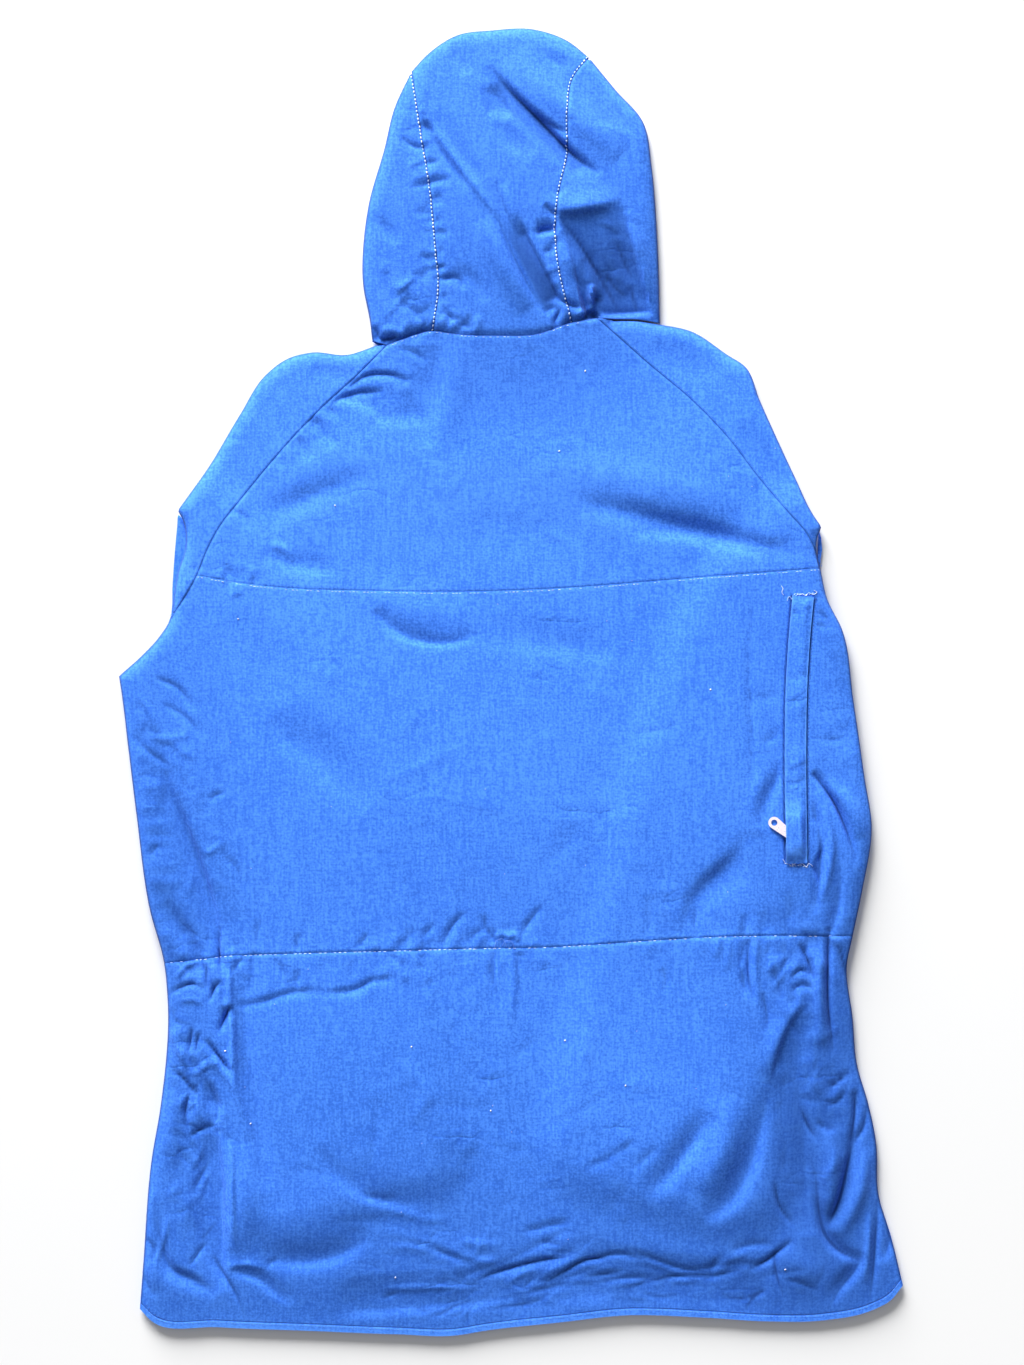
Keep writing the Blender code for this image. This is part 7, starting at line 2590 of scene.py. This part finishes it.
@dataclass
class Sewing(Part):
    """The rows of stitches, the loose thread ends and the lint."""

    radius: float = 0.22  # of a thread
    slope_step: float = 0.6  # the distance over which the cloth's slope is taken
    few: int = 26  # smaller specks of lint
    few_over: tuple[tuple[float, float], ...] = ((-240, 240), (-480, 230))  # in x and y
    speck: tuple[float, float, float] = (1.0, 0.6, 0.5)  # the proportions of a speck
    speck_sizes: tuple[float, float] = (0.85, 0.35)  # half the length of the larger and smaller
    lint_seed: int = 61

    def _ground(self, plan: Array, on_hood: bool) -> tuple[Array, Array]:
        """Points on the outer face above plan points, and the face's normals there.

        Args:
            plan: The plan points.
            on_hood: Whether they lie on the hood.

        Returns:
            The points, and the normals.
        """
        p = self.pattern
        silhouette = p.lay.hood if on_hood else p.lay.body
        seams = p.hood_seams if on_hood else p.back_seams
        step = self.slope_step

        def z(dx: float, dy: float) -> Array:
            """The heights beside the points."""
            return p.lay.height(plan[:, 0] + dx, plan[:, 1] + dy, silhouette, True, seams)[0]

        slopes = [(z(-dx, -dy) - z(dx, dy)) / (2 * step) for dx, dy in ((step, 0), (0, step))]
        normals = unit(np.stack([*slopes, np.ones(len(plan))], axis=1))
        points = np.concatenate([plan, z(0, 0)[:, None]], axis=1)
        return points + normals * OUTER, normals

    @staticmethod
    def _laid(heading: Array, normals: Array) -> Array:
        """Directions in plan, laid into the surface: heading - normal * (heading . normal)."""
        heading = np.concatenate([heading, np.zeros((len(heading), 1))], axis=1)
        return unit(heading - normals * (heading * normals).sum(axis=1)[:, None])

    def row(self, row: StitchRow) -> tuple[Array, Array]:
        """The stitches of a row: capsules along the line, half sunk into the cloth.

        Args:
            row: The row.

        Returns:
            The points and the triangles.
        """
        draw = np.random.RandomState(row.seed)
        size = row.line.length
        count = max(1, int(size / row.pitch))
        where = np.arange(count) + 0.5 + row.shift + draw.uniform(-0.06, 0.06, count)
        where = np.clip(where / count, 0, 1)
        keep = draw.uniform(size=count) >= row.missing
        ends = [np.clip(where + s * row.length / 2 / size, 0, 1)[keep] for s in (-1, 1)]
        aside = draw.uniform(-row.wander, row.wander, (count, 1))[keep]
        a, b = (row.line.at(end) for end in ends)
        middle = row.line.at(where[keep])
        along, size, count = unit(b - a), np.linalg.norm(b - a, axis=1), len(a)
        left = np.stack([-along[:, 1], along[:, 0]], axis=1)
        centres, normals = self._ground(middle + left * aside, row.on_hood)
        turn = draw.uniform(-row.turn, row.turn, (count, 1))
        heading = self._laid(along * np.cos(turn) + left * np.sin(turn), normals)
        sizes = np.stack([
            size / 2 * draw.uniform(0.85, 1.1, count),
            row.width / 2 * draw.uniform(0.85, 1.15, count),
            np.full(count, row.height / 2),
        ], axis=1)
        return repeated(capsule(), centres + normals * row.lift, heading, normals, sizes)

    def _thread(self, *plan: Point, loose: float = 0.3) -> tuple[Array, Array]:
        """A loose end of thread above these points, highest in its middle."""
        path = Line.through(plan, 0.6).points
        on_hood = bool(path[:, 1].mean() > FRONT_NECK_CENTRE + 60)
        points, normals = self._ground(path, on_hood)
        lift = self.radius + loose * np.sin(np.linspace(0, math.pi, len(path)))
        return tube(points + normals * lift[:, None], self.radius, 5)

    def _lint(self) -> tuple[Array, Array]:
        """Specks of pale lint, where the coat has the larger ones and a few smaller."""
        draw = np.random.RandomState(self.lint_seed)
        few = np.stack([draw.uniform(*ends, self.few) for ends in self.few_over], axis=1)
        plan = np.concatenate([np.array(LINT, float), few])
        centres, normals = self._ground(plan, False)
        turn = draw.uniform(0, math.pi, len(plan))
        heading = self._laid(np.stack([np.cos(turn), np.sin(turn)], axis=1), normals)
        size = np.where(np.arange(len(plan)) < len(LINT), *self.speck_sizes)
        sizes = size[:, None] * np.array(self.speck)
        return repeated(capsule(), centres + normals * 0.2, heading, normals, sizes)

    def build(self) -> None:
        """Builds the pale, blue and navy rows, the thread ends and the lint."""
        p = self.pattern
        pale = [
            StitchRow(p.hood_left_seam.beside(1.0), True, 3.3, 2.3, 1.2, 0.9, seed=21),
            StitchRow(p.hood_right_seam.beside(1.0), True, 3.3, 2.3, 1.2, 0.9, seed=22),
            StitchRow(p.yoke.beside(-1.5), width=0.34, missing=0.35, seed=23),
            StitchRow(p.waist.between(WAIST_SEAM[0], (60, -223)).beside(-0.5), pitch=4.2,
                      length=2.7, width=0.45, missing=0.25, seed=24),
            StitchRow(p.waist.between((60, -223), WAIST_SEAM[-1]).beside(-0.5), pitch=4.2,
                      length=2.7, width=0.4, missing=0.4, seed=26),
            StitchRow(p.neck.beside(-1.5), width=0.34, missing=0.5, seed=25),
        ]
        blue = [
            StitchRow(p.left_raglan.beside(2.2), width=0.3, missing=0.35, seed=31),
            StitchRow(p.right_raglan.beside(-2.2), width=0.3, missing=0.35, seed=32),
            StitchRow(p.hem.beside(HEM_BAND - 1.0), length=1.7, lift=HEM_PROUD, seed=33),
        ]
        top, bottom = (Line.through(line) for line in (WELT_TOP_STITCHES, WELT_BOTTOM_STITCHES))
        navy = [
            StitchRow(p.lay.welt.beside(11.4), pitch=2.8, length=1.3, width=0.55, seed=34),
            StitchRow(p.hem.beside(HEM_BAND + 1.1), pitch=3.4, length=1.5, width=0.6, missing=0.35,
                      seed=35),
            # dark dashes half a pitch along from the pale waist stitches: painted shade of the
            # stitch holes, made as navy thread
            StitchRow(p.waist.beside(-0.5), pitch=4.2, length=1.2, width=0.5, missing=0.3, seed=24,
                      shift=0.5),
            StitchRow(p.yoke.beside(-1.0), pitch=3.4, length=1.5, width=0.45, missing=0.6, seed=36),
            StitchRow(p.neck.beside(-1.2), pitch=3.2, length=1.8, width=0.45, missing=0.3, seed=37),
            StitchRow(p.lay.welt.beside(-10.2), pitch=3.1, length=1.6, width=0.4, missing=0.5,
                      seed=38),
            StitchRow(top, pitch=2.0, length=2.4, width=0.8, turn=0.9, seed=39),
            StitchRow(bottom, pitch=2.0, length=2.4, width=0.8, turn=0.9, seed=40),
        ]
        ends = [
            StitchRow(top.beside(0.8), pitch=2.4, length=2.0, width=0.6, turn=0.8, seed=41),
            StitchRow(bottom.beside(-0.8), pitch=2.4, length=2.0, width=0.6, turn=0.8, seed=42),
        ]
        loops = [self._thread(*path, loose=1.0) for path in WAIST_LOOPS]
        rows = {
            "pale_stitches": [self.row(row) for row in pale + ends],
            "blue_stitches": [self.row(row) for row in blue] + loops,
            "navy_stitches": [self.row(row) for row in navy],
            "thread_ends": [self._thread(*path) for path in THREAD_ENDS],
            "lint": [self._lint()],
        }
        self.pieces = [make_mesh(name, *gathered(parts)) for name, parts in rows.items()]

    def dress(self, palette: Palette) -> None:
        """Gives the threads their colours."""
        finishes = (
            palette.pale_thread, palette.blue_thread, palette.navy_thread, palette.pale_thread,
            palette.lint,
        )
        for piece, finish in zip(self.pieces, finishes):
            finish_piece(piece, finish)


# ------------------------------------------------------------------ the studio
@dataclass
class Studio:
    """A pale floor, a soft light from above the hood, and a camera straight above the coat."""

    camera_height: float = 2.4
    view_length: float = 1.16025  # what the picture's long side covers at the coat's height
    coat_height: float = 0.006
    sensor: float = 36.0
    floor_size: float = 8.0
    sun_strength: float = 8.3
    sun_from: tuple[float, float, float] = (-0.34, 1.0, 0.29)
    sun_width: float = 36.0  # degrees, which softens its shadows
    key_energy: float = 27.0
    key_size: float = 0.8
    key_place: tuple[float, float, float] = (-0.40, 1.75, 1.05)
    key_aim: tuple[float, float, float] = (0.0, 0.1, 0.0)
    world_strength: float = 0.35
    world_colour: tuple[float, float, float, float] = (0.97, 0.98, 1.0, 1.0)
    floor_colour: Colour = (0.81, 0.81, 0.81)

    def build(self) -> None:
        """Builds the camera, the floor and the lights."""
        self._camera()
        self._floor()
        self._light()

    @staticmethod
    def _object(
        data: bpy.types.ID, place: tuple[float, float, float], heading: Vector | None = None
    ) -> bpy.types.Object:
        """A lamp or a camera at a place, turned from straight down to the heading.

        Args:
            data: The lamp's or the camera's data.
            place: Where it stands.
            heading: Where it faces.

        Returns:
            The object.
        """
        made = bpy.data.objects.new(data.name, data)
        made.location = place
        if heading is not None:
            made.rotation_euler = heading.to_track_quat("-Z", "Y").to_euler()
        bpy.context.scene.collection.objects.link(made)
        return made

    def _camera(self) -> None:
        """The camera: lens = sensor * distance / length."""
        data = bpy.data.cameras.new("camera")
        data.sensor_width = self.sensor
        data.lens = self.sensor * (self.camera_height - self.coat_height) / self.view_length
        data.clip_end = 50.0
        bpy.context.scene.camera = self._object(data, (0.0, 0.0, self.camera_height))

    def _floor(self) -> None:
        """The floor, level with the coat's lowest face."""
        half = self.floor_size / 2
        corners = np.array([[-1, -1, 0], [1, -1, 0], [1, 1, 0], [-1, 1, 0]], float) * half / MM
        floor = make_mesh("floor", corners, np.array([[0, 1, 2, 3]]))
        floor.data.materials.append(FloorFinish("pale_floor", self.floor_colour).make())

    def _light(self) -> None:
        """One large lamp from the hood's side, a wide soft sun, and an even pale sky."""
        lamp = bpy.data.lights.new("key", "AREA")
        lamp.shape = "DISK"
        lamp.size = self.key_size
        lamp.energy = self.key_energy
        self._object(lamp, self.key_place, Vector(self.key_aim) - Vector(self.key_place))
        window = bpy.data.lights.new("window", "SUN")
        window.energy = self.sun_strength
        window.angle = math.radians(self.sun_width)
        self._object(window, (0.0, 0.0, 0.0), -Vector(self.sun_from))
        world = bpy.data.worlds.new("sky")
        world.use_nodes = True
        sky = world.node_tree.nodes["Background"].inputs
        sky["Color"].default_value = self.world_colour
        sky["Strength"].default_value = self.world_strength
        bpy.context.scene.world = world
        bpy.context.scene.view_settings.view_transform = "Standard"


def main() -> None:
    """Builds the studio and every part of the coat."""
    logging.basicConfig(level=logging.INFO, format="%(name)s: %(message)s")
    Studio().build()
    pattern, palette = Pattern(), Palette()
    for part in (
        BackPanels(pattern),
        FrontPanels(pattern),
        Sleeves(pattern),
        HoodPanels(pattern),
        SidePocket(pattern, frame),
        Sewing(pattern),
    ):
        part.build()
        part.dress(palette)


if __name__ == "__main__":
    main()
